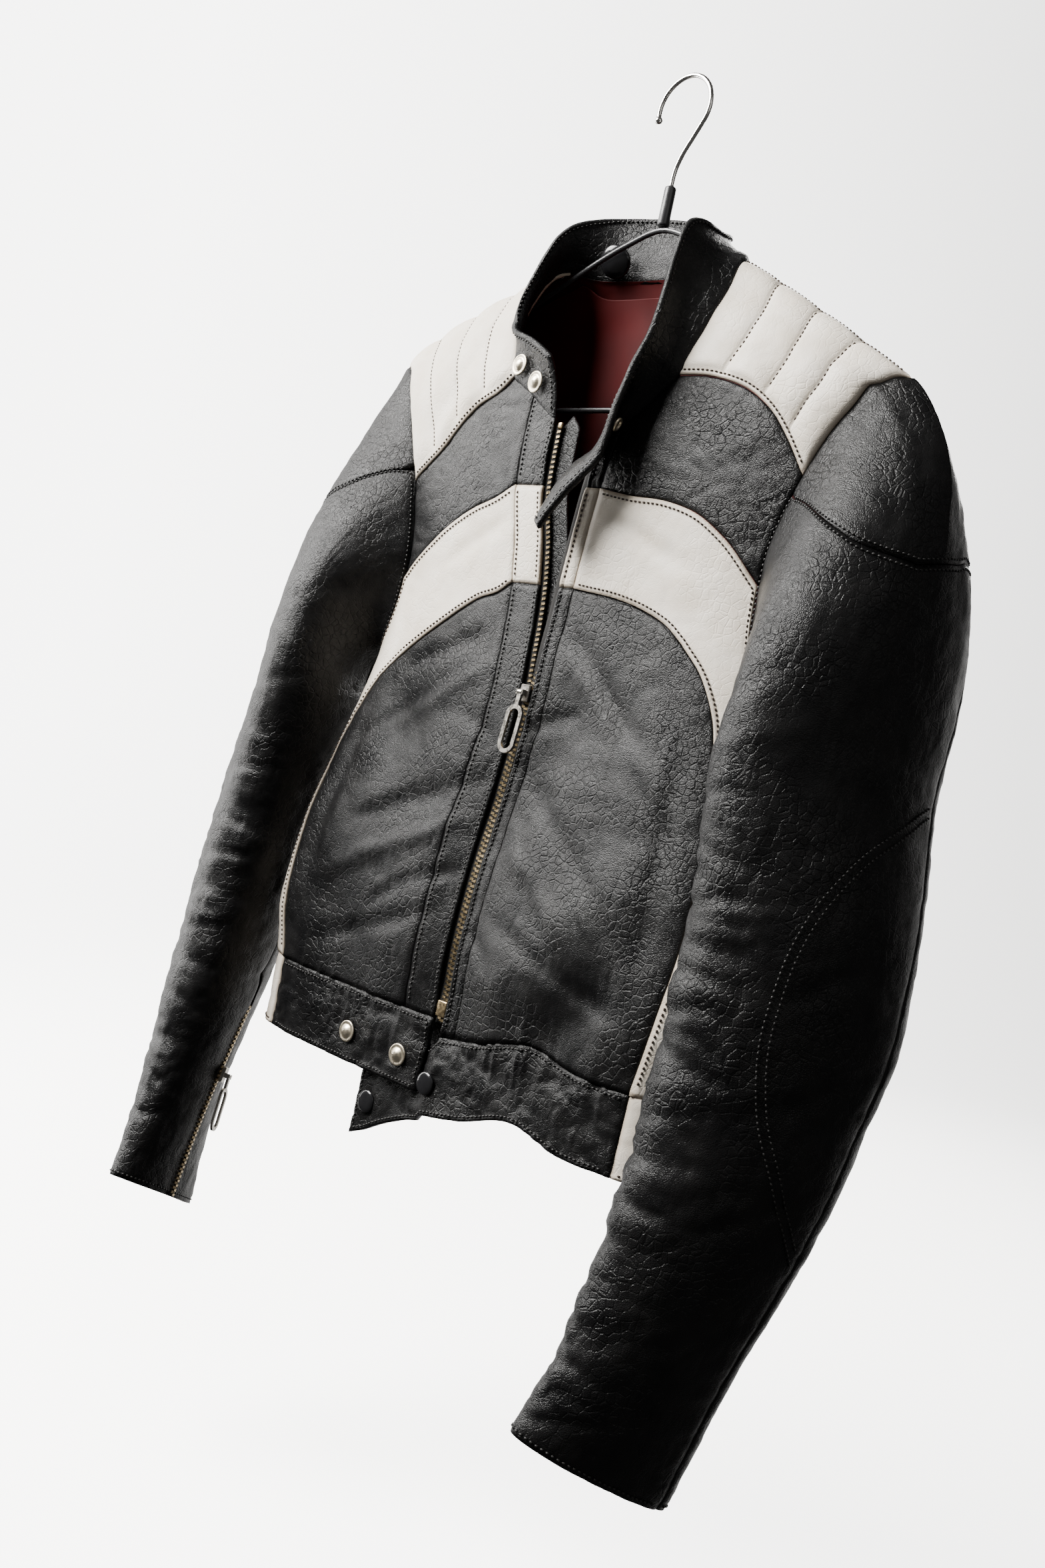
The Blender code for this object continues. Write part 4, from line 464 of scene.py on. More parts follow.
def band_between(first, second, rows):
    v = np.linspace(0.0, 1.0, rows + 1)[None, :, None]
    return (1 - v) * first[:, None] + v * second[:, None]


STRIPE_BEND = np.array((0.14, -0.196))
STRIPE_BEND_RUN = 0.14


def yoke_spots(lines):
    """From the ridge down to the yoke's lower edge."""
    return coons(lines["ridge"], lines["yoke low"], lines["neck yoke"], lines["arm yoke"])


def chest_spots(lines):
    left = np.concatenate((lines["neck chest"], lines["strip upper"][1:]))
    return coons(lines["yoke low"], lines["stripe top"], left, lines["arm chest"])


def stripe_spots(lines):
    """The chest stripe, which turns down under the arm into the side panel.

    Its grid bends down below the corner under the arm, so that no cell turns over there.
    """
    outer = np.concatenate((lines["stripe top"], lines["arm low"][1:],
                            lines["arm side back"][1:], lines["side back"][1:]))
    spots = band_between(outer, lines["arch"], STRIP_ROWS)
    spots[0] = lines["strip stripe"]
    corner = ACROSS_TOP + ARM_FRONT_LOW + ARM_SIDE_BACK
    away = (np.arange(len(outer)) / corner - 1.0) / STRIPE_BEND_RUN
    across = np.linspace(0.0, 1.0, STRIP_ROWS + 1)
    bend = np.exp(-away ** 2)[:, None] * (across * (1.0 - across))[None]
    return spots + bend[..., None] * STRIPE_BEND


def lower_spots(lines):
    arch = lines["arch"]
    right = arch[ACROSS_HEM:][::-1]
    return coons(lines["band front"], arch[:ACROSS_HEM + 1], lines["strip lower"][::-1], right)


def back_spots(lines):
    right = np.concatenate((lines["side back"][::-1], lines["arm back"][1:]))
    top = np.concatenate((lines["back neck"], lines["back ridge"][1:]))
    bottom = through([(2.0, BAND_LEVEL), tuple(lines["side back"][-1])], len(top) - 1, GIRTH_SCALE)
    share = (right[:, 1] - BAND_LEVEL) / (RIDGE_LEVEL - BAND_LEVEL)
    middle = np.stack((np.full(len(right), 2.0), BAND_LEVEL + share * (top[0, 1] - BAND_LEVEL)), axis=1)
    return coons(bottom, top, middle, right)


LINING_TOP_LEVEL = RIDGE_LEVEL - 0.014
LINING_LOW_LEVEL = 0.064
LINING_LAY = 0.0045
LINING_SIDE_INSET = 0.05


FRONT_SEAM_TURN = -85.0
BACK_SEAM_TURN = 140.0
CAP_START_TURN = 17.0
HEAD_END = 0.76
UNDERARM_OUT = 0.060
SEAM_BLEND = 0.15
SEAM_AGREE = 0.60
HEAD_ROWS = 4 * FINE
TUBE_ROWS = 14 * FINE
CAP_ROWS = 4 * FINE
CAP_GAP = 0.0006
CapRow = namedtuple("CapRow", "turn share")
CAP_SEAM = (
    CapRow(17, 0.03), CapRow(28, 0.19), CapRow(40, 0.30), CapRow(58, 0.39),
    CapRow(76, 0.44), CapRow(94, 0.43), CapRow(118, 0.37), CapRow(140, 0.31),
)
Crease = namedtuple("Crease", "name turn z half_turn width tilt depth")
SLEEVE_FOLDS = (
    Crease("inner elbow upper", 10, -0.570, 55, 0.013, 0.10, -0.005),
    Crease("inner elbow lower", 0, -0.630, 60, 0.012, -0.15, -0.004),
    Crease("forearm upper", 15, -0.690, 60, 0.012, 0.20, -0.0035),
    Crease("forearm lower", 5, -0.750, 65, 0.012, -0.10, -0.0035),
    Crease("wrist", 0, -0.806, 70, 0.010, 0.15, -0.0030),
    Crease("back of elbow", 170, -0.610, 60, 0.022, 0.30, 0.0040),
)


def ring_points(ring, turns):
    """Points around one sleeve ring: 0 is the front edge, 90 the outer side, 180 the back."""
    angle = np.radians(turns)
    turn = math.radians(ring.turn)
    forward = np.array((-math.sin(turn), -math.cos(turn), 0.0))
    outward = np.array((math.cos(turn), -math.sin(turn), 0.0))
    reach = ring.reach * np.cos(angle)
    side = np.where(np.sin(angle) > 0, ring.out, ring.inn) * np.sin(angle)
    points = np.array((ring.x, ring.y, ring.z)) + reach[:, None] * forward + side[:, None] * outward
    points[:, 2] += ring.tilt * reach
    return points


def armhole_loop(lines):
    """Spots round the armhole from the front seam's underarm, over the tip, to the underarm again."""
    front = np.concatenate((lines["arm low"][::-1], lines["arm chest"][::-1][1:],
                            lines["arm yoke"][::-1][1:]))
    back = np.concatenate((lines["arm back"][::-1][1:], lines["arm side back"][::-1][1:]))
    return front, back


def loop_turns(side, lines):
    """Turn of each armhole spot, from -90 at the underarm to 90 at the tip and 270 at the underarm."""
    front, back = armhole_loop(lines)
    front_points = torso(side, front)[0]
    back_points = torso(side, np.concatenate((front[-1:], back)))[0]
    result = []
    for points, start in ((front_points, -90.0), (back_points, 90.0)):
        reach = running_length(points)
        result.append(start + 180.0 * reach / reach[-1])
    return np.concatenate((result[0], result[1][1:])), np.concatenate((front, back))


def sleeve_tube(turns, down):
    """Sleeve below the head; down runs from 0 at the first ring to 1 at the cuff."""
    rings = np.stack([ring_points(ring, turns) for ring in SLEEVE])
    slope = np.gradient(rings, axis=0)
    place_at = down * (len(SLEEVE) - 1)
    index = np.clip(place_at.astype(int), 0, len(SLEEVE) - 2)
    t = (place_at - index)[:, None]
    pick = np.arange(len(turns))
    return hermite(t, rings[index, pick], slope[index, pick], rings[index + 1, pick], slope[index + 1, pick])


def upper_arm(turns, heights):
    """Points on the upper arm's rings at the given heights."""
    table = UPPER_ARM + SLEEVE[:1]
    rings = np.stack([ring_points(ring, turns) for ring in table])
    levels = -np.array([ring.z for ring in table])
    index = np.clip(np.searchsorted(levels, -heights) - 1, 0, len(table) - 2)
    t = ((-heights - levels[index]) / (levels[index + 1] - levels[index]))[:, None]
    pick = np.arange(len(turns))
    return rings[index, pick] * (1 - t) + rings[index + 1, pick] * t


def sleeve_form(turns, starts, down):
    """Left sleeve points: down runs 0 to 1 from the armhole to the first ring, then 1 to 2 to the cuff."""
    first = ring_points(SLEEVE[0], turns)
    second = ring_points(SLEEVE[1], turns)
    reach = HEAD_END * (starts[:, 2] - SLEEVE[0].z) / (SLEEVE[0].z - SLEEVE[1].z)
    arrive = (second - first) * reach[:, None]
    middle = (starts + first) / 2
    leave = 8 * (upper_arm(turns, middle[:, 2]) - middle) + arrive
    leave[:, 0] += UNDERARM_OUT * np.clip(-np.sin(np.radians(turns)), 0.0, 1.0)
    t = np.clip(down, 0.0, 1.0)[:, None]
    head = hermite(t, starts, leave, first, arrive)
    return np.where((down > 1.0)[:, None], sleeve_tube(turns, np.clip(down - 1.0, 0.0, 1.0)), head)


FOLD_SHARE = 0.40


def crease_depth(turns, points):
    total = np.zeros(len(turns))
    for fold in SLEEVE_FOLDS:
        off_turn = (turns - fold.turn + 180.0) % 360.0 - 180.0
        height = fold.z + fold.tilt * 0.001 * off_turn
        across = np.exp(-((points[:, 2] - height) / fold.width) ** 2)
        total += FOLD_SHARE * fold.depth * across * ease(1.4 * (1 - np.abs(off_turn) / fold.half_turn))
    return total


def sleeve_grid(side, turns, columns, down, out=0.0):
    """Points on the sleeve form; turns and down are grids with a row for each column of the armhole."""
    shape = down.shape
    flat_turns, flat_down = turns.ravel(), down.ravel()
    starts, tangents, seam_normals = (np.repeat(part, shape[1], axis=0) for part in columns[1:])

    def at(turn_step, down_step):
        moved = np.clip(flat_down + down_step, 0.0, 2.0)
        return sleeve_form(flat_turns + turn_step, starts + tangents * turn_step, moved)

    points = at(0.0, 0.0)
    normal = unit(np.cross(at(0.0, 0.01) - at(0.0, -0.01), at(1.0, 0.0) - at(-1.0, 0.0)))
    agree = ease((normal * seam_normals).sum(-1) / SEAM_AGREE)
    share = ((1 - ease(flat_down / SEAM_BLEND)) * agree)[:, None]
    normal = unit(seam_normals * share + normal * (1 - share))
    lift = np.broadcast_to(out, shape).ravel() + crease_depth(flat_turns, points)
    return mirror(side, points + normal * lift[:, None]).reshape(shape + (3,))


def down_rows(top):
    """Rows from the top share of each column to the cuff: head rows, then two rows for each ring."""
    head = np.linspace(0.0, 1.0, HEAD_ROWS + 1)[None]
    head = top[:, None] * (1 - head) + head
    tube = np.linspace(1.0, 2.0, TUBE_ROWS + 1)[None, 1:]
    return np.concatenate((head, np.repeat(tube, len(top), axis=0)), axis=1)


Columns = namedtuple("Columns", "turns starts tangents normals")


class Armhole:
    """The armhole of one side: its turns, and its points and normals as on the left."""

    def __init__(self, side, lines):
        self.side = side
        self.turns, spots = loop_turns(side, lines)
        points, normals = torso(side, spots)
        self.points, self.normals = mirror(side, points), mirror(side, normals)
        round_turns = np.concatenate((self.turns[-2:-1] - 360.0, self.turns, self.turns[1:2] + 360.0))
        round_points = np.concatenate((self.points[-2:-1], self.points, self.points[1:2]))
        self.tangents = np.gradient(round_points, round_turns, axis=0)[1:-1]

    def nearest(self, turn):
        return int(np.argmin(np.abs(self.turns - turn)))

    def columns(self, first, last):
        """Columns from one loop index to another; an index past the loop goes round again."""
        count = len(self.turns) - 1
        index = np.arange(first, last + 1)
        turns = self.turns[index % count] + 360.0 * (index // count)
        pick = index % count
        return Columns(turns, self.points[pick], self.tangents[pick], self.normals[pick])


def under_rows(count, cap_share):
    """Rows of the under sleeve: its first column matches the cap and top sleeve, its last the front seam."""
    back = np.concatenate((np.linspace(0.0, cap_share, CAP_ROWS + 1),
                           np.linspace(cap_share, 1.0, HEAD_ROWS + 1)[1:]))
    front = np.linspace(0.0, 1.0, 2 * HEAD_ROWS + 1)
    share = np.linspace(0.0, 1.0, count)[:, None]
    tube = np.linspace(1.0, 2.0, TUBE_ROWS + 1)[None, 1:]
    return np.concatenate((back * (1 - share) + front * share, np.repeat(tube, count, axis=0)), axis=1)


def opened(turns, down, edge, way):
    """Turns with the column at one edge moved aside along the cuff zip."""
    grid = np.repeat(turns[:, None], down.shape[1], axis=1)
    grid[edge] += way * ZIP_HALF_TURN * ease((down[edge] - 1.0 - CUFF_ZIP_TOP) / CUFF_ZIP_SPREAD)
    return grid


CUFF_ZIP_TOP = 0.50
CUFF_ZIP_SPREAD = FINE / TUBE_ROWS
CUFF_TAPE_TOP = 0.59
ZIP_HALF_TURN = 6.0
TAPE_HALF_TURN = 4.6
TAPE_THICK = 0.0012
CUFF_TAPE_OUT = -0.0008
TAPE_UNDER = 0.0060
TAPE_LAY = 0.0009
FLAP_TOP_Z = -0.252
FLAP_UNDER = 0.0140
FLAP_BEYOND = 0.0200
FLAP_THICK = 0.0018
FLAP_OUT = -0.0052
ZIP_LOW_Z = -0.670
TAPE_BELOW_NECK = 0.004
FLAP_SLOPE, FLAP_PEAK = 1.1, 0.0120


CollarRow = namedtuple("CollarRow", "name station x y z")
COLLAR_TOP = (
    CollarRow("right end", 0, -0.028, -0.053, -0.2140),
    CollarRow("right front", 1, -0.048, -0.050, -0.2030),
    CollarRow("right corner", 4, -0.084, -0.042, -0.1850),
    CollarRow("right side", 7, -0.0865, -0.030, -0.1420),
    CollarRow("right neck", 10, -0.077, -0.010, -0.1010),
    CollarRow("right back", 12, -0.056, 0.020, -0.0870),
    CollarRow("centre back", 14, -0.006, 0.036, -0.0880),
    CollarRow("left back", 16, 0.038, 0.026, -0.1040),
    CollarRow("left neck", 18, 0.055, 0.000, -0.1150),
    CollarRow("left side", 21, 0.060, -0.042, -0.1240),
    CollarRow("left front", 24, 0.0665, -0.0605, -0.1950),
    CollarRow("left lapel", 27, 0.056, -0.0660, -0.2500),
    CollarRow("left end", 28, 0.052, -0.0680, -0.2870),
)
TabRow = namedtuple("TabRow", "name x y z x_free y_free z_free")
COLLAR_TAB = (
    TabRow("tab root", 0.018, -0.0520, -0.2900, 0.042, -0.0705, -0.3030),
    TabRow("tab middle", 0.010, -0.0560, -0.3050, 0.031, -0.0735, -0.3170),
    TabRow("tab low", 0.006, -0.0600, -0.3220, 0.023, -0.0755, -0.3320),
    TabRow("tab tip", 0.010, -0.0660, -0.3330, 0.018, -0.0750, -0.3400),
)
COLLAR_THICK = 0.0034
COLLAR_LIFT = 0.0018
COLLAR_BULGE = 0.0030
COLLAR_ROWS = 3


def collar_base(seams):
    """Points of the neck seam from the right end round the back to the left end."""
    left, right = seams[1], seams[-1]
    right_run = np.concatenate((right["neck strip"][::-1], right["neck chest"][::-1][1:],
                                right["neck yoke"][::-1][1:]))
    left_run = np.concatenate((left["neck yoke"][1:], left["neck chest"][1:], left["neck strip"][1:]))
    return np.concatenate((torso(-1, right_run)[0], torso(-1, right["back neck"][::-1][1:])[0],
                           torso(1, left["back neck"][1:])[0], torso(1, left_run)[0]))


BAND_THICK = 0.0030
BAND_ROWS = 3
BandTab = namedtuple("BandTab", "x top_z low_z out")
BAND_TAB = (
    BandTab(0.0030, -0.6950, -0.7470, -0.0040),
    BandTab(-0.0100, -0.7000, -0.7510, -0.0052),
    BandTab(-0.0300, -0.7080, -0.7600, -0.0054),
    BandTab(-0.0480, -0.7170, -0.7700, -0.0054),
    BandTab(-0.0620, -0.7230, -0.7760, -0.0054),
)


Snap = namedtuple("Snap", "name radius height dome lay finish")
RING_STUD = Snap("ring stud", 0.00775, 0.0012, 0.0022, 0.0009, "steel")
COLLAR_STUD = Snap("ring stud", 0.00775, 0.0012, 0.0022, 0.0028, "steel")
SOCKET = Snap("socket", 0.0050, 0.0014, 0.0006, 0.0036, "steel")
COVERED_CAP = Snap("covered cap", 0.0080, 0.0016, 0.0010, 0.0004, "black")
NECK_DISC = Snap("neck disc", 0.0120, 0.0026, 0.0020, 0.0060, "black")


SnapSpot = namedtuple("SnapSpot", "name kind station up face")
COLLAR_SNAPS = (
    SnapSpot("collar_stud_upper", COLLAR_STUD, 2.7, 0.27, -1),
    SnapSpot("collar_stud_lower", COLLAR_STUD, 0.8, 0.22, -1),
    SnapSpot("collar_socket_upper", SOCKET, 27.3, 0.62, -1),
    SnapSpot("collar_socket_middle", SOCKET, 29.1, 0.36, -1),
    SnapSpot("collar_socket_lower", SOCKET, 30.3, 0.36, -1),
    SnapSpot("collar_disc", NECK_DISC, 11.8, 0.24, 1),
)
BandSnap = namedtuple("BandSnap", "name kind x z out")
BAND_SNAPS = (
    BandSnap("band_stud_outer", RING_STUD, -0.0775, -0.7070, 0.0),
    BandSnap("band_stud_inner", RING_STUD, -0.0225, -0.7082, 0.0),
    BandSnap("band_cap_outer", COVERED_CAP, -0.0491, -0.7496, -0.0054),
    BandSnap("band_cap_inner", COVERED_CAP, 0.0096, -0.7190, 0.0),
)


WIRE_RADIUS = 0.0018
FRAME_RADIUS = 0.0020
HOOK_RADIUS = 0.0230
HOOK_CENTRE_X = -0.0030
NECK_TOP = -0.078
NECK_LOW = -0.1060
HOOK_TIP_TURN, HOOK_BEND_TURN, HOOK_STEP_TURN = 195, -30, 5
ShankRow = namedtuple("ShankRow", "x_share z")
HOOK_SHANK = (
    ShankRow(0.62, -0.0440), ShankRow(0.28, -0.0540), ShankRow(0.06, -0.0640),
    ShankRow(0.0, -0.0720), ShankRow(0.0, NECK_TOP + SEAM_GAP),
)
NECK_SLEEVE_RADIUS = 0.0042
NeckRow = namedtuple("NeckRow", "share size")
NECK_SLEEVE = (
    NeckRow(0.0, 0.80), NeckRow(0.02, 0.95), NeckRow(0.06, 1.0), NeckRow(0.5, 1.0), NeckRow(0.94, 1.0),
    NeckRow(0.98, 0.95), NeckRow(1.0, 0.80),
)
BALL_RADIUS, BALL_TIP_RADIUS = 0.0028, 0.0003
WIRE_STEPS = 6
FRAME_PATH = ((0.0, -0.1086), (0.030, -0.1170), (0.060, -0.1300), (0.090, -0.1460), (0.120, -0.1615),
              (0.150, -0.1780), (0.178, -0.1945), (0.194, -0.2080), (0.2000, -0.2215), (0.1930, -0.2330),
              (0.178, -0.2370), (0.120, -0.2370), (0.060, -0.2370), (0.0, -0.2370))


# ---------------------------------------------------------------- creases and wrinkles
# A crease runs from one (x, z) to another, as seen from the front or the back; depth under 0 is a trough.
CREASES_FRONT = (
    Fold("left neck pull", 0.050, -0.320, 0.105, -0.350, 0.0060, -0.0016),
    Fold("left chest sweep", 0.035, -0.400, 0.120, -0.470, 0.0080, -0.0026),
    Fold("left chest ridge", 0.050, -0.425, 0.135, -0.490, 0.0070, 0.0022),
    Fold("left under arch", 0.080, -0.440, 0.155, -0.520, 0.0075, -0.0024),
    Fold("left waist long", 0.030, -0.500, 0.130, -0.575, 0.0085, -0.0026),
    Fold("left waist ridge", 0.020, -0.535, 0.110, -0.600, 0.0080, 0.0024),
    Fold("left belly short", 0.060, -0.570, 0.095, -0.610, 0.0050, -0.0018),
    Fold("left belly long", 0.040, -0.600, 0.150, -0.635, 0.0065, -0.0022),
    Fold("left zip tug upper", 0.020, -0.470, 0.060, -0.455, 0.0050, -0.0016),
    Fold("left zip tug middle", 0.018, -0.540, 0.055, -0.550, 0.0045, -0.0014),
    Fold("left zip tug lower", 0.018, -0.610, 0.048, -0.632, 0.0050, -0.0018),
    Fold("left side drop", 0.150, -0.470, 0.165, -0.600, 0.0080, -0.0022),
    Fold("right chest sweep", -0.040, -0.410, -0.120, -0.440, 0.0080, -0.0024),
    Fold("right chest ridge", -0.035, -0.435, -0.110, -0.480, 0.0075, 0.0022),
    Fold("right under arch", -0.070, -0.450, -0.150, -0.500, 0.0070, -0.0022),
    Fold("right waist long", -0.020, -0.515, -0.125, -0.560, 0.0085, -0.0026),
    Fold("right waist ridge", -0.025, -0.545, -0.140, -0.600, 0.0075, 0.0024),
    Fold("right belly short", -0.050, -0.590, -0.085, -0.615, 0.0055, -0.0018),
    Fold("right belly long", -0.030, -0.610, -0.130, -0.650, 0.0065, -0.0022),
    Fold("right zip tug upper", -0.010, -0.480, -0.045, -0.466, 0.0050, -0.0014),
    Fold("right zip tug lower", -0.010, -0.575, -0.050, -0.590, 0.0050, -0.0016),
    Fold("right side drop", -0.150, -0.480, -0.165, -0.610, 0.0080, -0.0022),
    Fold("left stripe dimple", 0.060, -0.325, 0.120, -0.350, 0.0060, -0.0012),
    Fold("right stripe dimple", -0.050, -0.330, -0.110, -0.362, 0.0060, -0.0012),
    Fold("left yoke droop", 0.130, -0.200, 0.175, -0.262, 0.0100, -0.0014),
    Fold("right yoke droop", -0.120, -0.195, -0.165, -0.270, 0.0100, -0.0014),
)
CREASES_BACK = (
    Fold("shoulder blade left", 0.060, -0.200, 0.165, -0.280, 0.0090, -0.0026),
    Fold("shoulder blade right", -0.070, -0.190, -0.170, -0.300, 0.0090, -0.0024),
    Fold("across upper left", 0.030, -0.270, 0.150, -0.330, 0.0080, 0.0022),
    Fold("across upper right", -0.020, -0.290, -0.140, -0.345, 0.0080, -0.0022),
    Fold("armhole pull left", 0.120, -0.380, 0.178, -0.340, 0.0065, -0.0022),
    Fold("armhole pull right", -0.115, -0.395, -0.176, -0.350, 0.0065, -0.0022),
    Fold("small of back upper", -0.080, -0.455, 0.070, -0.470, 0.0085, -0.0028),
    Fold("small of back middle", -0.050, -0.500, 0.110, -0.515, 0.0080, -0.0026),
    Fold("small of back lower", -0.110, -0.548, 0.040, -0.560, 0.0085, 0.0024),
    Fold("side pull left", 0.100, -0.480, 0.175, -0.530, 0.0070, -0.0024),
    Fold("side pull right", -0.105, -0.500, -0.176, -0.545, 0.0070, -0.0024),
    Fold("blouse long left", 0.020, -0.600, 0.150, -0.630, 0.0065, -0.0024),
    Fold("blouse long right", -0.030, -0.610, -0.155, -0.640, 0.0065, -0.0022),
    Fold("blouse short", -0.020, -0.635, 0.045, -0.625, 0.0055, 0.0020),
)
# Creases across a sleeve: turn 0 is its front edge, 90 the outer side, 180 the back.
SLEEVE_CREASES = {
    1: (
        Crease("cap droop", 60, -0.345, 50, 0.0090, 0.20, -0.0020),
        Crease("upper arm front", 5, -0.420, 45, 0.0075, 0.35, -0.0026),
        Crease("upper arm ridge", 15, -0.452, 50, 0.0080, 0.30, 0.0020),
        Crease("bicep trough", 0, -0.487, 55, 0.0070, 0.20, -0.0028),
        Crease("above elbow short", 20, -0.522, 35, 0.0055, -0.10, -0.0022),
        Crease("elbow first", 5, -0.548, 60, 0.0060, 0.15, -0.0034),
        Crease("elbow ridge", 12, -0.566, 55, 0.0060, 0.10, 0.0026),
        Crease("elbow second", 8, -0.589, 65, 0.0058, -0.05, -0.0036),
        Crease("elbow third", 0, -0.612, 50, 0.0055, 0.12, -0.0030),
        Crease("elbow fourth", 14, -0.634, 60, 0.0055, -0.15, -0.0034),
        Crease("forearm ridge", 2, -0.653, 45, 0.0055, 0.10, 0.0024),
        Crease("forearm first", 10, -0.671, 55, 0.0055, 0.20, -0.0030),
        Crease("forearm second", 0, -0.697, 50, 0.0052, 0.05, -0.0028),
        Crease("forearm third", 12, -0.719, 60, 0.0055, -0.10, -0.0032),
        Crease("forearm fourth", 4, -0.741, 45, 0.0050, 0.15, -0.0026),
        Crease("wrist first", 8, -0.764, 60, 0.0050, 0.10, -0.0028),
        Crease("wrist second", 0, -0.789, 50, 0.0050, -0.12, -0.0026),
        Crease("wrist third", 10, -0.812, 55, 0.0048, 0.10, -0.0024),
        Crease("cuff soft", 40, -0.842, 60, 0.0060, 0.12, -0.0018),
        Crease("outer elbow upper", 95, -0.575, 40, 0.0110, 0.60, -0.0022),
        Crease("outer elbow lower", 100, -0.640, 45, 0.0110, 0.50, -0.0024),
        Crease("outer forearm", 90, -0.712, 40, 0.0100, 0.55, -0.0020),
        Crease("outer wrist", 95, -0.786, 45, 0.0090, 0.40, -0.0018),
        Crease("back elbow upper", 190, -0.560, 50, 0.0090, -0.20, -0.0026),
        Crease("back elbow lower", 185, -0.655, 55, 0.0090, 0.15, -0.0026),
        Crease("back forearm", 195, -0.735, 50, 0.0085, -0.25, -0.0022),
        Crease("underarm pull", 265, -0.470, 50, 0.0080, 0.30, -0.0028),
        Crease("inner elbow", 275, -0.588, 55, 0.0070, -0.10, -0.0030),
        Crease("inner forearm", 280, -0.690, 50, 0.0070, 0.15, -0.0026),
        Crease("inner wrist", 270, -0.776, 50, 0.0065, -0.10, -0.0022),
    ),
    -1: (
        Crease("cap droop", 50, -0.330, 55, 0.0090, 0.25, -0.0020),
        Crease("upper arm front", 0, -0.402, 50, 0.0075, -0.30, -0.0026),
        Crease("upper arm ridge", 10, -0.437, 45, 0.0080, 0.25, 0.0022),
        Crease("bicep trough", 5, -0.470, 60, 0.0070, -0.20, -0.0028),
        Crease("above elbow short", 12, -0.510, 40, 0.0060, 0.15, -0.0024),
        Crease("elbow first", 0, -0.539, 60, 0.0062, -0.10, -0.0034),
        Crease("elbow ridge", 8, -0.560, 50, 0.0060, 0.10, 0.0026),
        Crease("elbow second", 4, -0.583, 65, 0.0060, 0.12, -0.0034),
        Crease("elbow third", 10, -0.609, 55, 0.0055, -0.10, -0.0032),
        Crease("elbow fourth", 0, -0.638, 60, 0.0058, 0.18, -0.0032),
        Crease("forearm first", 6, -0.666, 50, 0.0055, -0.15, -0.0030),
        Crease("forearm second", 12, -0.692, 60, 0.0055, 0.10, -0.0028),
        Crease("forearm third", 0, -0.724, 55, 0.0055, 0.12, -0.0030),
        Crease("wrist first", 8, -0.756, 60, 0.0052, -0.10, -0.0028),
        Crease("wrist second", 2, -0.784, 50, 0.0050, 0.12, -0.0026),
        Crease("wrist third", 8, -0.808, 55, 0.0050, -0.08, -0.0024),
        Crease("outer elbow upper", 100, -0.565, 45, 0.0110, -0.50, -0.0022),
        Crease("outer elbow lower", 95, -0.648, 45, 0.0110, -0.45, -0.0024),
        Crease("outer forearm", 92, -0.725, 45, 0.0100, 0.50, -0.0020),
        Crease("back elbow upper", 185, -0.572, 55, 0.0090, 0.20, -0.0026),
        Crease("back elbow lower", 190, -0.662, 50, 0.0090, -0.15, -0.0026),
        Crease("back forearm", 180, -0.742, 50, 0.0085, 0.20, -0.0022),
        Crease("underarm pull", 268, -0.478, 50, 0.0080, -0.25, -0.0028),
        Crease("inner elbow", 272, -0.600, 55, 0.0070, 0.10, -0.0030),
        Crease("inner forearm", 278, -0.702, 50, 0.0070, -0.12, -0.0026),
        Crease("inner wrist", 270, -0.782, 50, 0.0065, 0.10, -0.0022),
    ),
}


def lattice(cell, seed):
    """Repeatable value from 0 to 1 for each whole-number cell."""
    x, y, z = (cell[..., k].astype(np.int64) for k in range(3))
    mixed = (x * 73856093) ^ (y * 19349663) ^ (z * 83492791) ^ (seed * 2654435761)
    mixed = (mixed ^ (mixed >> 13)) * 1274126177 & 0xFFFFFFFF
    mixed = mixed ^ (mixed >> 16)
    return (mixed & 0xFFFF) / 65535.0


def noise(points, size, seed):
    """Smooth noise from 0 to 1 with features of the given size; size may differ along each axis."""
    at = points / np.asarray(size)
    cell = np.floor(at)
    part = at - cell
    part = part * part * (3 - 2 * part)
    total = 0.0
    for dx in (0, 1):
        for dy in (0, 1):
            for dz in (0, 1):
                corner = lattice(cell + (dx, dy, dz), seed)
                wx = part[..., 0] if dx else 1 - part[..., 0]
                wy = part[..., 1] if dy else 1 - part[..., 1]
                wz = part[..., 2] if dz else 1 - part[..., 2]
                total = total + corner * wx * wy * wz
    return total


def ridges(points, size, seed):
    """Noise folded into sharp lines: 1 on a line, falling away on both sides."""
    return (1.0 - np.abs(2.0 * noise(points, size, seed) - 1.0)) ** 2


def wrinkles(points, amount):
    """Fine crumple of worn leather: shallow lines between soft cushions."""
    warp = np.stack([noise(points, 0.021, 31 + k) for k in range(3)], axis=-1) - 0.5
    moved = points + 0.012 * warp
    lines = (0.42 * ridges(moved, (0.030, 0.030, 0.020), 3) + 0.33 * ridges(moved, (0.014, 0.014, 0.010), 5)
             + 0.25 * ridges(moved, (0.007, 0.007, 0.006), 7))
    swell = noise(points, 0.045, 11) - 0.5
    return amount * (1.2 * swell - 1.3 * (lines - 0.30))


def body_relief(points, amount):
    """Creases and wrinkles of the body, and the gathers above the waist band."""
    flat = points.reshape(-1, 3)
    x, y, z = flat[:, 0], flat[:, 1], flat[:, 2]
    total = fold_depth(CREASES_FRONT, x, z) * ease(-y / FRONT_FADE_Y)
    total += fold_depth(CREASES_BACK, x, z) * ease(y / FRONT_FADE_Y)
    round_at = np.stack((x, y, 0 * z), axis=-1)
    above = np.exp(-np.clip(z - GATHER_FROM_Z, 0.0, 1.0) / GATHER_FADE)
    total += GATHER_DEPTH * above * (ridges(round_at, GATHER_SIZE, 21) - 0.4)
    total += wrinkles(flat, amount)
    return total.reshape(points.shape[:-1])


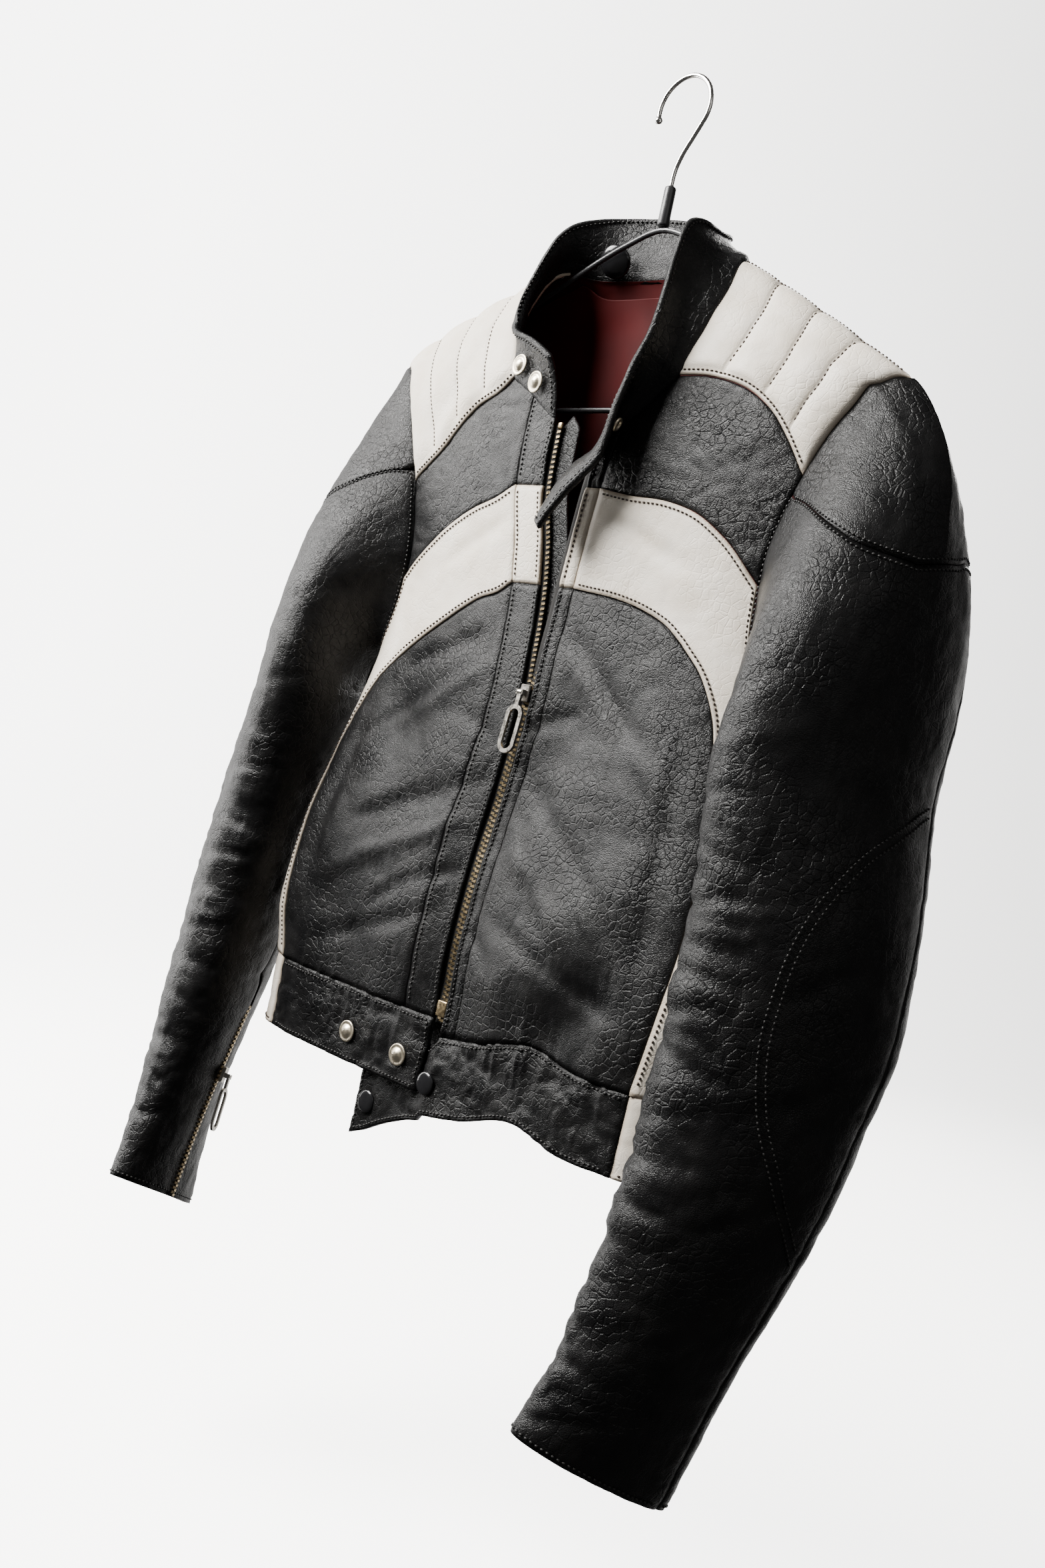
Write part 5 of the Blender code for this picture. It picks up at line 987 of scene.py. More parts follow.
CREASE_NARROW, CREASE_SHALLOW = 0.55, 0.50
FINE_TURN, FINE_HALF_TURN = 10.0, 90.0
FINE_TOP_Z, FINE_LOW_Z = -0.46, -0.86
FINE_DEPTH = 0.0014
FINE_SIZE = (0.034, 0.034, 0.0075)


def sleeve_relief(side, turns, points, amount):
    flat = points.reshape(-1, 3)
    turn = turns.reshape(-1)
    total = np.zeros(len(flat))
    for fold in SLEEVE_CREASES[side]:
        off_turn = (turn - fold.turn + 180.0) % 360.0 - 180.0
        wave = 0.006 * (noise(flat, 0.030, 17) - 0.5)
        height = fold.z + fold.tilt * 0.001 * off_turn + wave
        across = np.exp(-((flat[:, 2] - height) / (CREASE_NARROW * fold.width)) ** 2)
        total += CREASE_SHALLOW * fold.depth * across * ease(1.3 * (1 - np.abs(off_turn) / fold.half_turn))
    off_front = (turn - FINE_TURN + 180.0) % 360.0 - 180.0
    share = ease(1.5 * (1 - np.abs(off_front) / FINE_HALF_TURN))
    share *= ease((FINE_TOP_Z - flat[:, 2]) / 0.08) * ease((flat[:, 2] - FINE_LOW_Z) / 0.04)
    warp = np.outer(0.008 * (noise(flat, 0.025, 19) - 0.5), (0.0, 0.0, 1.0))
    total -= FINE_DEPTH * share * (ridges(flat + warp, FINE_SIZE, 61) ** 2 - 0.3)
    quiet = 1 - ease((flat[:, 2] + 0.30) / 0.08)
    total = total * quiet + wrinkles(flat, amount)
    return total.reshape(points.shape[:-1])


GATHER_FROM_Z = -0.676
GATHER_FADE = 0.022
GATHER_DEPTH, GATHER_SIZE = 0.0022, 0.019
BLACK_WRINKLE = 0.00110
CREAM_WRINKLE = 0.00050
WRINKLE = {"black": BLACK_WRINKLE, "cream": CREAM_WRINKLE}
SEAM_DIP = 0.0009
SEAM_DIP_WIDTH = 0.0022
EDGE_ROLL, EDGE_ROLL_AT, EDGE_ROLL_WIDTH = 0.0007, 0.0016, 0.0014
STITCH_INSET = 0.0034
STITCH_DIP, STITCH_DIP_WIDTH = 0.00045, 0.0009
# Painted shade in the grooves: its width along seams, and its strength and width along stitch lines.
SEAM_SHADE_WIDTH = 0.0014
STITCH_SHADE, STITCH_SHADE_WIDTH = 0.6, 0.0008


# ---------------------------------------------------------------- shells
def reach_in(grid, border):
    """Distance of each point of a grid from one border, along the grid lines."""
    axis, end = border
    lined = np.moveaxis(grid, axis, 0)
    lined = lined[::-1] if end else lined
    steps = np.linalg.norm(np.diff(lined, axis=0), axis=-1)
    reach = np.concatenate((np.zeros((1,) + steps.shape[1:]), np.cumsum(steps, axis=0)))
    reach = reach[::-1] if end else reach
    return np.moveaxis(reach, 0, axis)


FIRST_COLUMN, LAST_COLUMN, FIRST_ROW, LAST_ROW = (0, 0), (0, 1), (1, 0), (1, 1)
ALL_BORDERS = (FIRST_COLUMN, LAST_COLUMN, FIRST_ROW, LAST_ROW)


def border_lift(grid, rolled=(), stitched=()):
    """Lift near the seams: a dip on the seam, a roll on a turned edge, a groove under stitches."""
    total = np.zeros(grid.shape[:2])
    for border in ALL_BORDERS:
        off = reach_in(grid, border)
        if border in rolled:
            total += EDGE_ROLL * np.exp(-((off - EDGE_ROLL_AT) / EDGE_ROLL_WIDTH) ** 2)
        else:
            total -= SEAM_DIP * np.exp(-(off / SEAM_DIP_WIDTH) ** 2)
        if border in stitched:
            total -= STITCH_DIP * np.exp(-((off - STITCH_INSET) / STITCH_DIP_WIDTH) ** 2)
    return total


def grid_faces(rows, columns):
    """Faces of two grids of points, and of the wall between their rims."""
    index = np.arange(rows * columns).reshape(rows, columns)
    top = np.stack((index[:-1, :-1], index[1:, :-1], index[1:, 1:], index[:-1, 1:]), axis=-1).reshape(-1, 4)
    low = top[:, ::-1] + rows * columns
    rim = np.concatenate((index[:, 0], index[-1, 1:], index[::-1, -1][1:], index[0, ::-1][1:-1]))
    after = np.roll(rim, -1)
    under = rows * columns
    wall_faces = np.stack((rim, rim + under, after + under, after), axis=-1)
    return np.concatenate((top, low, wall_faces))


def mesh_piece(name, points, faces, look, node=None, flat_faces=False):
    """A piece of the jacket or its hanger; it may stand for a node."""
    mesh = bpy.data.meshes.new(name)
    faces = faces if isinstance(faces, list) else faces.tolist()
    mesh.from_pydata(np.asarray(points, float).tolist(), [], faces)
    if flat_faces:
        mesh.shade_flat()
    else:
        mesh.shade_smooth()
    mesh.materials.append(look)
    made = bpy.data.objects.new(name, mesh)
    bpy.context.scene.collection.objects.link(made)
    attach(made, "jacket")
    if node is not None:
        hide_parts(node)
    return made


def shell(name, outer, inner, look, slot_name, groove=None, flat=True, lining=None):
    """Closed thin shell between two grids, which stands for one node; its inside may show the lining."""
    rows, columns = outer.shape[:2]
    faces = grid_faces(rows, columns)
    points = np.concatenate((outer.reshape(-1, 3), inner.reshape(-1, 3)))
    i, j = rows // 2, columns // 2
    middle_facing = np.cross(outer[i + 1, j] - outer[i, j], outer[i, j + 1] - outer[i, j])
    if np.dot(middle_facing, outer[i, j] - inner[i, j]) < 0:
        faces = faces[:, ::-1]
    made = mesh_piece(f"{name}_look", points, faces, look, name)
    # The groove attribute is the mask of painted shade along seams and stitch lines.
    marks = np.zeros(len(points)) if groove is None else np.concatenate((groove.ravel(), groove.ravel()))
    layer = made.data.attributes.new("groove", "FLOAT", "POINT")
    layer.data.foreach_set("value", marks.astype(np.float32))
    if lining is not None:
        made.data.materials.append(lining)
        side_faces = (rows - 1) * (columns - 1)
        material_index = np.zeros(len(faces), np.int32)
        material_index[side_faces:2 * side_faces] = 1
        made.data.polygons.foreach_set("material_index", material_index)


def drawn(outer, inner, gap=SEAM_GAP):
    return draw_in(outer, gap / 2), draw_in(inner, gap / 2)


MITRE_LIMIT = 0.35


def draw_in(points, amount):
    """Moves the border of a grid of points inward along the grid, further where the border turns."""
    moved = points.copy()
    for axis in (0, 1):
        across = np.swapaxes(points, 0, axis)
        target = np.swapaxes(moved, 0, axis)
        for edge, inner in ((0, 1), (-1, -2)):
            steps = unit(np.diff(across[edge], axis=0))
            ahead = np.concatenate((steps, steps[-1:]))
            behind = np.concatenate((steps[:1], steps))
            tangent = unit(ahead + behind)
            mitre = np.maximum((ahead * tangent).sum(-1, keepdims=True), MITRE_LIMIT)
            inward = across[inner] - across[edge]
            inward -= (inward * tangent).sum(-1, keepdims=True) * tangent
            target[edge] += unit(inward) * amount / mitre
    return moved


# ---------------------------------------------------------------- stitches
STITCH_PITCH = 0.0035
STITCH_MARGIN = 0.004
STITCH_LENGTH = 0.0024
STITCH_RADIUS = 0.00066
Run = namedtuple("Run", "points normals")
runs = {"black": [], "cream": []}


def grid_normals(grid, outward):
    """Normals of a grid, on the side that the outward grid of directions shows."""
    normal = unit(np.cross(np.gradient(grid, axis=0), np.gradient(grid, axis=1)))
    flip = np.sign((normal * outward).sum(-1, keepdims=True))
    return normal * np.where(flip == 0, 1.0, flip)


def inset_run(grid, normals, border, inset):
    """Line at a distance from one border of a grid, with the grid's normals along it."""
    off = reach_in(grid, border)
    axis, end = border
    lined, marks, facing = (np.moveaxis(values, axis, 0) for values in (grid, off, normals))
    if end:
        lined, marks, facing = lined[::-1], marks[::-1], facing[::-1]
    index = np.clip((marks < inset).sum(axis=0), 1, len(marks) - 1)
    pick = np.arange(lined.shape[1])
    low, high = marks[index - 1, pick], marks[index, pick]
    t = np.clip((inset - low) / np.maximum(high - low, 1e-9), 0.0, 1.0)[:, None]
    points = lined[index - 1, pick] * (1 - t) + lined[index, pick] * t
    return Run(points, unit(facing[index - 1, pick] * (1 - t) + facing[index, pick] * t))


def stitch_along(run, thread, margin=STITCH_MARGIN):
    """Keeps a run for stitching, cut into even stitches short of its ends."""
    reach = running_length(run.points)
    count = int((reach[-1] - 2 * margin) / STITCH_PITCH)
    if count < 1:
        return
    middles = margin + STITCH_PITCH * (np.arange(count) + 0.5)
    ends = [looked_up(middles + shift * STITCH_LENGTH, reach, run.points) for shift in (-0.5, 0.5)]
    runs[thread].append((ends[0], ends[1], unit(looked_up(middles, reach, run.normals))))


def sew(name, thread, look):
    """All stitches of one thread as one mesh: each a small spindle lying on the leather."""
    starts = np.concatenate([item[0] for item in runs[thread]])
    stops = np.concatenate([item[1] for item in runs[thread]])
    normals = np.concatenate([item[2] for item in runs[thread]])
    along = stops - starts
    side = unit(np.cross(along, normals))
    lift = normals * STITCH_RADIUS
    rings = []
    for share, size in ((0.22, 1.0), (0.78, 1.0)):
        centre = starts + along * share + lift * 0.6
        for k in range(5):
            angle = 2 * math.pi * k / 5
            rings.append(centre + size * STITCH_RADIUS * (math.cos(angle) * side + math.sin(angle) * normals))
    count = len(starts)
    points = np.stack([starts - lift] + rings + [stops - lift], axis=1)
    pattern = []
    for k in range(5):
        m = (k + 1) % 5
        pattern += [(0, 1 + k, 1 + m), (1 + k, 6 + k, 6 + m), (1 + k, 6 + m, 1 + m), (11, 6 + m, 6 + k)]
    faces = (np.array(pattern)[None] + 12 * np.arange(count)[:, None, None]).reshape(-1, 3)
    mesh_piece(name, points.reshape(-1, 3), faces, look)


# ---------------------------------------------------------------- body panels
def body_panel(name, side, spots, colour, looks, rolled=(), stitched=(), puff=0.0, lined=True):
    """A panel of black or cream leather on the torso, with stitches of its own thread."""
    base, normal = torso(side, spots)
    lift = body_relief(base, WRINKLE[colour]) + border_lift(base, rolled, stitched) + puff
    outer = base + normal * lift[..., None]
    inner = base + normal * (np.minimum(lift, 0.0) - LEATHER)[..., None]
    shell(name, *drawn(outer, inner), looks[colour], f"{colour}_leather", groove_shade_mask(base, stitched),
          lining=looks["red"] if lined else None)
    facing = grid_normals(outer, normal)
    stitch_borders(outer, facing, stitched, colour)
    return outer, facing


def stitch_borders(grid, facing, borders, thread, inset=STITCH_INSET, margin=STITCH_MARGIN):
    for border in borders:
        stitch_along(inset_run(grid, facing, border, inset), thread, margin)


def groove_shade_mask(base, stitched=()):
    """How far each point lies in a seam or stitch groove, from 0 to 1: where painted shade darkens the
    leather.
    """
    total = np.zeros(base.shape[:2])
    for border in ALL_BORDERS:
        off = reach_in(base, border)
        total = np.maximum(total, np.exp(-(off / SEAM_SHADE_WIDTH) ** 2))
        if border in stitched:
            stitch_shade = STITCH_SHADE * np.exp(-((off - STITCH_INSET) / STITCH_SHADE_WIDTH) ** 2)
            total = np.maximum(total, stitch_shade)
    return total


def quilt_lift(columns, rows):
    """Padded channels from the shoulder seam down, drawn in along their stitch lines."""
    across = np.linspace(0.0, CHANNELS, columns)
    puff = np.abs(np.sin(math.pi * across)) ** CHANNEL_ROUND
    down = np.linspace(0.0, 1.0, rows)
    hold = ease(down / CHANNEL_END) * ease((1 - down) / CHANNEL_END)
    return CHANNEL_HEIGHT * puff[:, None] * hold[None]


CHANNELS = 4
CHANNEL_HEIGHT = 0.0032
CHANNEL_ROUND = 0.55
CHANNEL_END = 0.10
QUILT_MARGIN = 0.008
SIDES = ((1, "left"), (-1, "right"))


def make_fronts(seams, looks):
    for side, word in SIDES:
        lines = seams[side]
        quilt = quilt_lift(ACROSS_TOP + 1, YOKE_ROWS + 1)
        outer, facing = body_panel(f"yoke_{word}", side, yoke_spots(lines), "cream", looks, (LAST_ROW,),
                                   (LAST_ROW, FIRST_ROW), quilt)
        for channel in range(1, CHANNELS):
            column = channel * ACROSS_TOP // CHANNELS
            stitch_along(Run(outer[column], facing[column]), "cream", QUILT_MARGIN)
        body_panel(f"chest_{word}", side, chest_spots(lines), "black", looks)
        edges = (FIRST_ROW, LAST_ROW)
        body_panel(f"stripe_{word}", side, stripe_spots(lines), "cream", looks, edges, edges)
        body_panel(f"front_{word}", side, lower_spots(lines), "black", looks)
        for part, colour in (("upper", "black"), ("stripe", "cream"), ("lower", "black")):
            share = np.linspace(0.0, 1.0, STRIP_COLUMNS + 1)[:, None, None]
            spots = lines[f"edge {part}"] * (1 - share) + lines[f"strip {part}"] * share
            edges = (FIRST_COLUMN, LAST_COLUMN) if side < 0 else (FIRST_COLUMN,)
            body_panel(f"placket_{part}_{word}", side, spots, colour, looks, (FIRST_COLUMN,), edges,
                       lined=False)


STRIP_COLUMNS = 14


def make_back(seams, looks):
    spots = back_spots(seams[1])
    base, normal = whole(spots)
    lift = body_relief(base, BLACK_WRINKLE) + border_lift(base)
    outer = base + normal * lift[..., None]
    inner = base + normal * (np.minimum(lift, 0.0) - LEATHER)[..., None]
    shell("back", *drawn(outer, inner), looks["black"], "black_leather", groove_shade_mask(base),
          lining=looks["red"])
    spots = back_spots(seams[1])[::2, ::2]
    share = (spots[..., 1] - BAND_LEVEL) / (RIDGE_LEVEL - BAND_LEVEL)
    spots[..., 1] = LINING_LOW_LEVEL + share * (LINING_TOP_LEVEL - LINING_LOW_LEVEL)
    spots[..., 0] = 2.0 - (2.0 - spots[..., 0]) * (1.0 - LINING_SIDE_INSET)
    base, normal = whole(spots, -LEATHER - LINING_LAY)
    lift = LINING_FOLD * (ridges(base, LINING_FOLD_SIZE, 41) - 0.4)
    lift = lift + LINING_RIPPLE * (noise(base, LINING_RIPPLE_SIZE, 43) - 0.5)
    outer = base + normal * lift[..., None]
    shell("lining_back", *drawn(outer, outer - normal * LINING), looks["red"], "red_lining")


LINING_FOLD, LINING_FOLD_SIZE = 0.0042, (0.030, 0.030, 0.090)
LINING_RIPPLE, LINING_RIPPLE_SIZE = 0.0006, 0.02


def whole(spots, out=0.0):
    """Points and normals on both halves of the torso, joined along the centre from right to left."""
    halves = zip(torso(-1, spots, out), torso(1, spots, out))
    return tuple(np.concatenate((right[::-1], left[1:])) for right, left in halves)


# ---------------------------------------------------------------- sleeves
def sleeve_shell(name, hole, turns, columns, down, look, gap=SEAM_GAP, stitched=()):
    base = sleeve_grid(hole.side, turns, columns, down)
    lift = sleeve_relief(hole.side, turns, base, BLACK_WRINKLE) + border_lift(base, (), stitched)
    outer = sleeve_grid(hole.side, turns, columns, down, lift)
    inner = sleeve_grid(hole.side, turns, columns, down, np.minimum(lift, 0.0) - LEATHER)
    shell(name, *drawn(outer, inner, gap), look, "black_leather", groove_shade_mask(base, stitched))
    facing = grid_normals(outer, outer - inner)
    stitch_borders(outer, facing, stitched, "black")
    return outer, facing


def make_sleeve(side, word, lines, looks):
    hole = Armhole(side, lines)
    front_seam, back_seam = hole.nearest(FRONT_SEAM_TURN), hole.nearest(BACK_SEAM_TURN)
    cap_start = hole.nearest(CAP_START_TURN)
    loop = len(hole.turns) - 1

    def cap_edge(turns):
        return catmull([row.turn for row in CAP_SEAM], np.array([row.share for row in CAP_SEAM]),
                       np.clip(turns, CAP_SEAM[0].turn, CAP_SEAM[-1].turn))

    columns = hole.columns(cap_start, back_seam)
    share = np.linspace(0.0, 1.0, CAP_ROWS + 1)[None]
    turns = columns.turns[:, None] + 0 * share
    sleeve_shell(f"sleeve_cap_{word}", hole, turns, columns, cap_edge(columns.turns)[:, None] * share,
                 looks["black"], CAP_GAP, (LAST_ROW,))

    columns = hole.columns(front_seam, back_seam)
    top = np.where(np.arange(front_seam, back_seam + 1) >= cap_start, cap_edge(columns.turns), 0.0)
    down = down_rows(top)
    outer, facing = sleeve_shell(f"sleeve_top_{word}", hole, opened(columns.turns, down, 0, 1), columns, down,
                                 looks["black"], SEAM_GAP, (FIRST_ROW, LAST_ROW))
    elbow_rows(outer, facing, columns.turns)

    columns = hole.columns(back_seam, front_seam + loop)
    down = under_rows(len(columns.turns), top[-1])
    turns = opened(columns.turns, down, -1, -1)
    sleeve_shell(f"sleeve_under_{word}", hole, turns, columns, down, looks["black"], SEAM_GAP, (LAST_ROW,))
    return hole, front_seam + loop


ELBOW_FRONT_TURN, ELBOW_BACK_TURN = 68.0, 138.0
ELBOW_TOP_Z, ELBOW_MIDDLE_Z, ELBOW_LOW_Z = -0.472, -0.595, -0.735
ELBOW_POWER_ABOVE, ELBOW_POWER_BELOW = 3.0, 2.1
ELBOW_APART = 0.0055


def elbow_rows(outer, facing, turns):
    """Two rows of stitches round the elbow patch of the top sleeve, which bulges towards the front."""
    away = np.sin(np.linspace(-0.5, 0.5, 90) * math.pi)
    power = np.where(away < 0.0, ELBOW_POWER_ABOVE, ELBOW_POWER_BELOW)
    reach = np.where(away < 0.0, ELBOW_TOP_Z - ELBOW_MIDDLE_Z, ELBOW_LOW_Z - ELBOW_MIDDLE_Z)
    wanted_turn = ELBOW_FRONT_TURN + (ELBOW_BACK_TURN - ELBOW_FRONT_TURN) * np.abs(away) ** power
    wanted_z = ELBOW_MIDDLE_Z + reach * np.abs(away)
    points, normals = [], []
    for turn, z in zip(wanted_turn, wanted_z):
        column = int(np.argmin(np.abs(turns - turn)))
        row = int(np.argmin(np.abs(outer[column, :, 2] - z)))
        points.append(outer[column, row])
        normals.append(facing[column, row])
    points, normals = np.array(points), np.array(normals)
    for _ in range(6):
        points[1:-1] = (points[:-2] + 2 * points[1:-1] + points[2:]) / 4
        normals[1:-1] = unit(normals[:-2] + 2 * normals[1:-1] + normals[2:])
    stitch_along(Run(points, normals), "black")
    aside = unit(np.cross(np.gradient(points, axis=0), normals))
    stitch_along(Run(points + aside * ELBOW_APART, normals), "black")


# ---------------------------------------------------------------- collar and waist band
def finer(points, along, across):
    """A grid refined by smooth curves, along its first axis and then along its second."""
    rows, columns = points.shape[:2]
    at = np.linspace(0.0, rows - 1.0, (rows - 1) * along + 1)
    grid = np.stack([catmull_rows(points[:, j], at) for j in range(columns)], axis=1)
    at = np.linspace(0.0, columns - 1.0, (columns - 1) * across + 1)
    return np.stack([catmull_rows(line, at) for line in grid])


def catmull_rows(line, at):
    knots = np.arange(len(line), dtype=float)
    return np.stack([catmull(knots, line[:, k], at) for k in range(line.shape[1])], axis=1)


def collar_net(seams):
    """Middle surface of the collar as in the solids, one column for each station."""
    base = collar_base(seams)[::FINE]
    stations = [row.station for row in COLLAR_TOP]
    table = np.array([(row.x, row.y, row.z) for row in COLLAR_TOP])
    wanted = np.arange(len(base), dtype=float)
    top = np.stack([catmull(stations, table[:, k], wanted) for k in range(3)], axis=1)
    base = base + unit(top - base) * COLLAR_LIFT
    base = np.concatenate((base, [(row.x, row.y, row.z) for row in COLLAR_TAB]))
    top = np.concatenate((top, [(row.x_free, row.y_free, row.z_free) for row in COLLAR_TAB]))
    v = np.linspace(0.0, 1.0, COLLAR_ROWS + 1)[None, :, None]
    points = base[:, None] * (1 - v) + top[:, None] * v
    normal = unit(np.cross(np.gradient(points, axis=0), np.gradient(points, axis=1)))
    return points + normal * (4 * v * (1 - v) * COLLAR_BULGE), normal


COLLAR_ALONG, COLLAR_ACROSS = 8, 9
COLLAR_EDGE_ROLL, COLLAR_ROLL_AT, COLLAR_ROLL_WIDTH = 0.0009, 0.0022, 0.0016
COLLAR_STITCH_INSET, COLLAR_STITCH_WIDTH, COLLAR_STITCH_MARGIN = 0.0050, 0.0010, 0.006
COLLAR_TUCK, COLLAR_TUCK_IN, TUCK_ROWS = 0.0050, 0.0012, 4


THIN_SHARE = 0.15


def thick_edges(base, thickness):
    """Half thickness of a two-layer piece, rounded off at its free edges."""
    off = np.minimum.reduce([reach_in(base, border) for border in ALL_BORDERS])
    rounding = np.sqrt(1 - (1 - np.clip(off / (thickness / 2), 0.0, 1.0)) ** 2)
    return thickness / 2 * (rounding * (1 - THIN_SHARE) + THIN_SHARE)


def make_collar(seams, looks):
    net, net_normal = collar_net(seams)
    base = finer(net, COLLAR_ALONG, COLLAR_ACROSS)
    normal = unit(np.cross(np.gradient(base, axis=0), np.gradient(base, axis=1)))
    half = thick_edges(base, COLLAR_THICK)
    off = np.minimum.reduce([reach_in(base, border) for border in (FIRST_COLUMN, LAST_COLUMN, LAST_ROW)])
    under_stitches = np.exp(-((off - COLLAR_STITCH_INSET) / COLLAR_STITCH_WIDTH) ** 2)
    roll = COLLAR_EDGE_ROLL * np.exp(-((off - COLLAR_ROLL_AT) / COLLAR_ROLL_WIDTH) ** 2)
    roll -= STITCH_DIP * under_stitches
    crumple = wrinkles(base, BLACK_WRINKLE * 0.8)
    upward = unit(base[:, 1] - base[:, 0])
    tuck = np.clip(1.0 - np.arange(base.shape[1]) / TUCK_ROWS, 0.0, 1.0)[None, :, None]
    base = base - upward[:, None] * COLLAR_TUCK * tuck + normal * COLLAR_TUCK_IN * tuck
    outer = base + normal * (half + roll + crumple)[..., None]
    inner = base - normal * (half + roll - crumple)[..., None]
    # Painted shade along the collar's stitch lines, through the groove attribute.
    shell("collar", outer, inner, looks["black"], "black_leather", under_stitches * STITCH_SHADE)
    for face, out in ((outer, normal), (inner, -normal)):
        stitch_borders(face, grid_normals(face, out), (FIRST_COLUMN, LAST_ROW, LAST_COLUMN), "black",
                       COLLAR_STITCH_INSET, COLLAR_STITCH_MARGIN)
    return net, net_normal


PLEAT_DEPTH, PLEAT_SIZE, PLEAT_FADE = 0.0028, 0.009, 0.016
BAND_WRINKLE = 0.0026
BAND_RELIEF_SHARE = {"black": 1.0, "cream": 0.4}


def band_relief(points):
    """Upright pleats below the band's top seam, and the crumple of the whole band."""
    flat = points.reshape(-1, 3)
    level = np.stack((flat[:, 0], flat[:, 1], 0 * flat[:, 2]), axis=-1)
    below = np.exp(-np.clip(GATHER_FROM_Z - flat[:, 2], 0.0, 1.0) / PLEAT_FADE)
    total = PLEAT_DEPTH * below * (ridges(level, PLEAT_SIZE, 51) - 0.4) + wrinkles(flat, BAND_WRINKLE)
    return total.reshape(points.shape[:-1])


def band_piece(name, outer, inner, colour, looks, stitched):
    normal = unit(outer - inner)
    lift = BAND_RELIEF_SHARE[colour] * band_relief(outer) + border_lift(outer, (LAST_ROW,), stitched)
    moved = outer + normal * lift[..., None]
    under = inner + normal * np.minimum(lift, 0.0)[..., None]
    shell(name, *drawn(moved, under), looks[colour], f"{colour}_leather", groove_shade_mask(outer, stitched))
    stitch_borders(moved, grid_normals(moved, normal), stitched, colour)


def front_spot(x, z):
    """(girth, level) for arrays of points that show at (x, z) from the front."""
    x, z = np.abs(np.asarray(x, float)).ravel(), np.asarray(z, float).ravel()
    low, high = np.zeros(len(x)), np.full(len(x), RIDGE_LEVEL)
    for _ in range(30):
        level = (low + high) / 2
        reach = np.minimum(x / torso_size(level, "half"), 1.0)
        under = torso_size(level, "height") - torso_size(level, "drop") * reach ** SLOPE_POWER < z
        low, high = np.where(under, level, low), np.where(under, high, level)
    across, _, share = quarter(level, "front")
    return np.stack((along_rows(share, across, x), level), axis=-1)


def front_grid(x, z, out):
    """Points on the front at arrays of x and z, where x may cross the centre."""
    shape = np.shape(x)
    spots = front_spot(x, z)
    flat_x = np.ravel(x)
    depth = np.broadcast_to(out, shape).ravel()
    left, right = torso(1, spots, depth)[0], torso(-1, spots, depth)[0]
    return np.where((flat_x >= 0)[:, None], left, right).reshape(shape + (3,))


def hanging_grid(x, z, out):
    points = front_grid(x, np.maximum(z, TORSO[0].height), out)
    points[..., 2] = z
    return points


def tab_grid(out):
    rows = BAND_TAB[::-1]
    knots = np.arange(len(rows), dtype=float)
    at = np.linspace(0.0, len(rows) - 1.0, (len(rows) - 1) * FINE + 1)
    table = {name: catmull(knots, np.array([getattr(row, name) for row in rows]), at)
             for name in ("x", "top_z", "low_z", "out")}
    v = np.linspace(0.0, 1.0, BAND_ROWS * FINE + 1)[None]
    x = np.repeat(table["x"][:, None], v.shape[1], axis=1)
    z = table["top_z"][:, None] * (1 - v) + table["low_z"][:, None] * v
    return hanging_grid(x, z, table["out"][:, None] + out)


def band_grid(top_line):
    low_line = np.stack((top_line[:, 0], np.zeros(len(top_line))), axis=1)
    return band_between(top_line, low_line, BAND_ROWS * FINE)


def make_bands(seams, looks):
    for side, word in SIDES:
        lines = seams[side]
        front = np.concatenate((through([tuple(lines["edge lower"][-1]), tuple(lines["band front"][0])], FINE,
                                        GIRTH_SCALE), lines["band front"][1:]))
        spots = band_grid(front)
        outer, inner = torso(side, spots)[0], torso(side, spots, -BAND_THICK)[0]
        if side > 0:
            bridge = np.linspace(0.0, 1.0, FINE + 1)[1:-1, None, None]
            tabs = []
            for out, grid in ((0.0, outer), (-BAND_THICK, inner)):
                tab = tab_grid(out)
                tabs.append(np.concatenate((tab, tab[-1] * (1 - bridge) + grid[0] * bridge, grid)))
            outer, inner = tabs
        borders = (FIRST_COLUMN, LAST_ROW, FIRST_ROW)
        band_piece(f"band_{word}", outer, inner, "black", looks, borders)
        under = through([tuple(lines["band front"][-1]), (1.0, BAND_LEVEL), tuple(lines["side back"][-1])],
                        4 * FINE, GIRTH_SCALE)
        spots = band_grid(under)
        band_piece(f"band_side_{word}", torso(side, spots)[0], torso(side, spots, -BAND_THICK)[0], "cream",
                   looks, (LAST_ROW,))
    count = len(seams[1]["back neck"]) + len(seams[1]["back ridge"]) - 2
    back = through([(2.0, BAND_LEVEL), tuple(seams[1]["side back"][-1])], count, GIRTH_SCALE)
    spots = band_grid(back)
    band_piece("band_back", whole(spots)[0], whole(spots, -BAND_THICK)[0], "black", looks,
               (LAST_ROW, FIRST_ROW))


# ---------------------------------------------------------------- zips
TOOTH = (0.0036, 0.0020, 0.0014)
TOOTH_PITCH = 0.0036
CUFF_TOOTH_ASIDE, CUFF_TOOTH_OUT = 0.0012, 0.0008
TOOTH_BEYOND, TOOTH_UNDER, TOOTH_PART, TOOTH_PROUD = -0.0043, 0.0030, 0.030, 0.0003


def tooth_row(centres, across, outward, along):
    """Points and faces of many small zip teeth, each with a narrow raised head."""
    corners = []
    for x, y, z in ((-1, -1, -1), (1, -0.6, -1), (1, 0.6, -1), (-1, 1, -1), (-1, -1, 0.4), (1, -0.6, 1),
                    (1, 0.6, 1), (-1, 1, 0.4)):
        corners.append(centres + across * x * TOOTH[0] / 2 + along * y * TOOTH[1] / 2
                       + outward * z * TOOTH[2] / 2)
    points = np.stack(corners, axis=1)
    pattern = np.array(((0, 3, 2, 1), (4, 5, 6, 7), (0, 1, 5, 4), (1, 2, 6, 5), (2, 3, 7, 6), (3, 0, 4, 7)))
    faces = (pattern[None] + 8 * np.arange(len(centres))[:, None, None]).reshape(-1, 4)
    return points.reshape(-1, 3), faces


def even_along(line, pitch, start):
    reach = running_length(line)
    return looked_up(np.arange(start, reach[-1], pitch), reach, line)


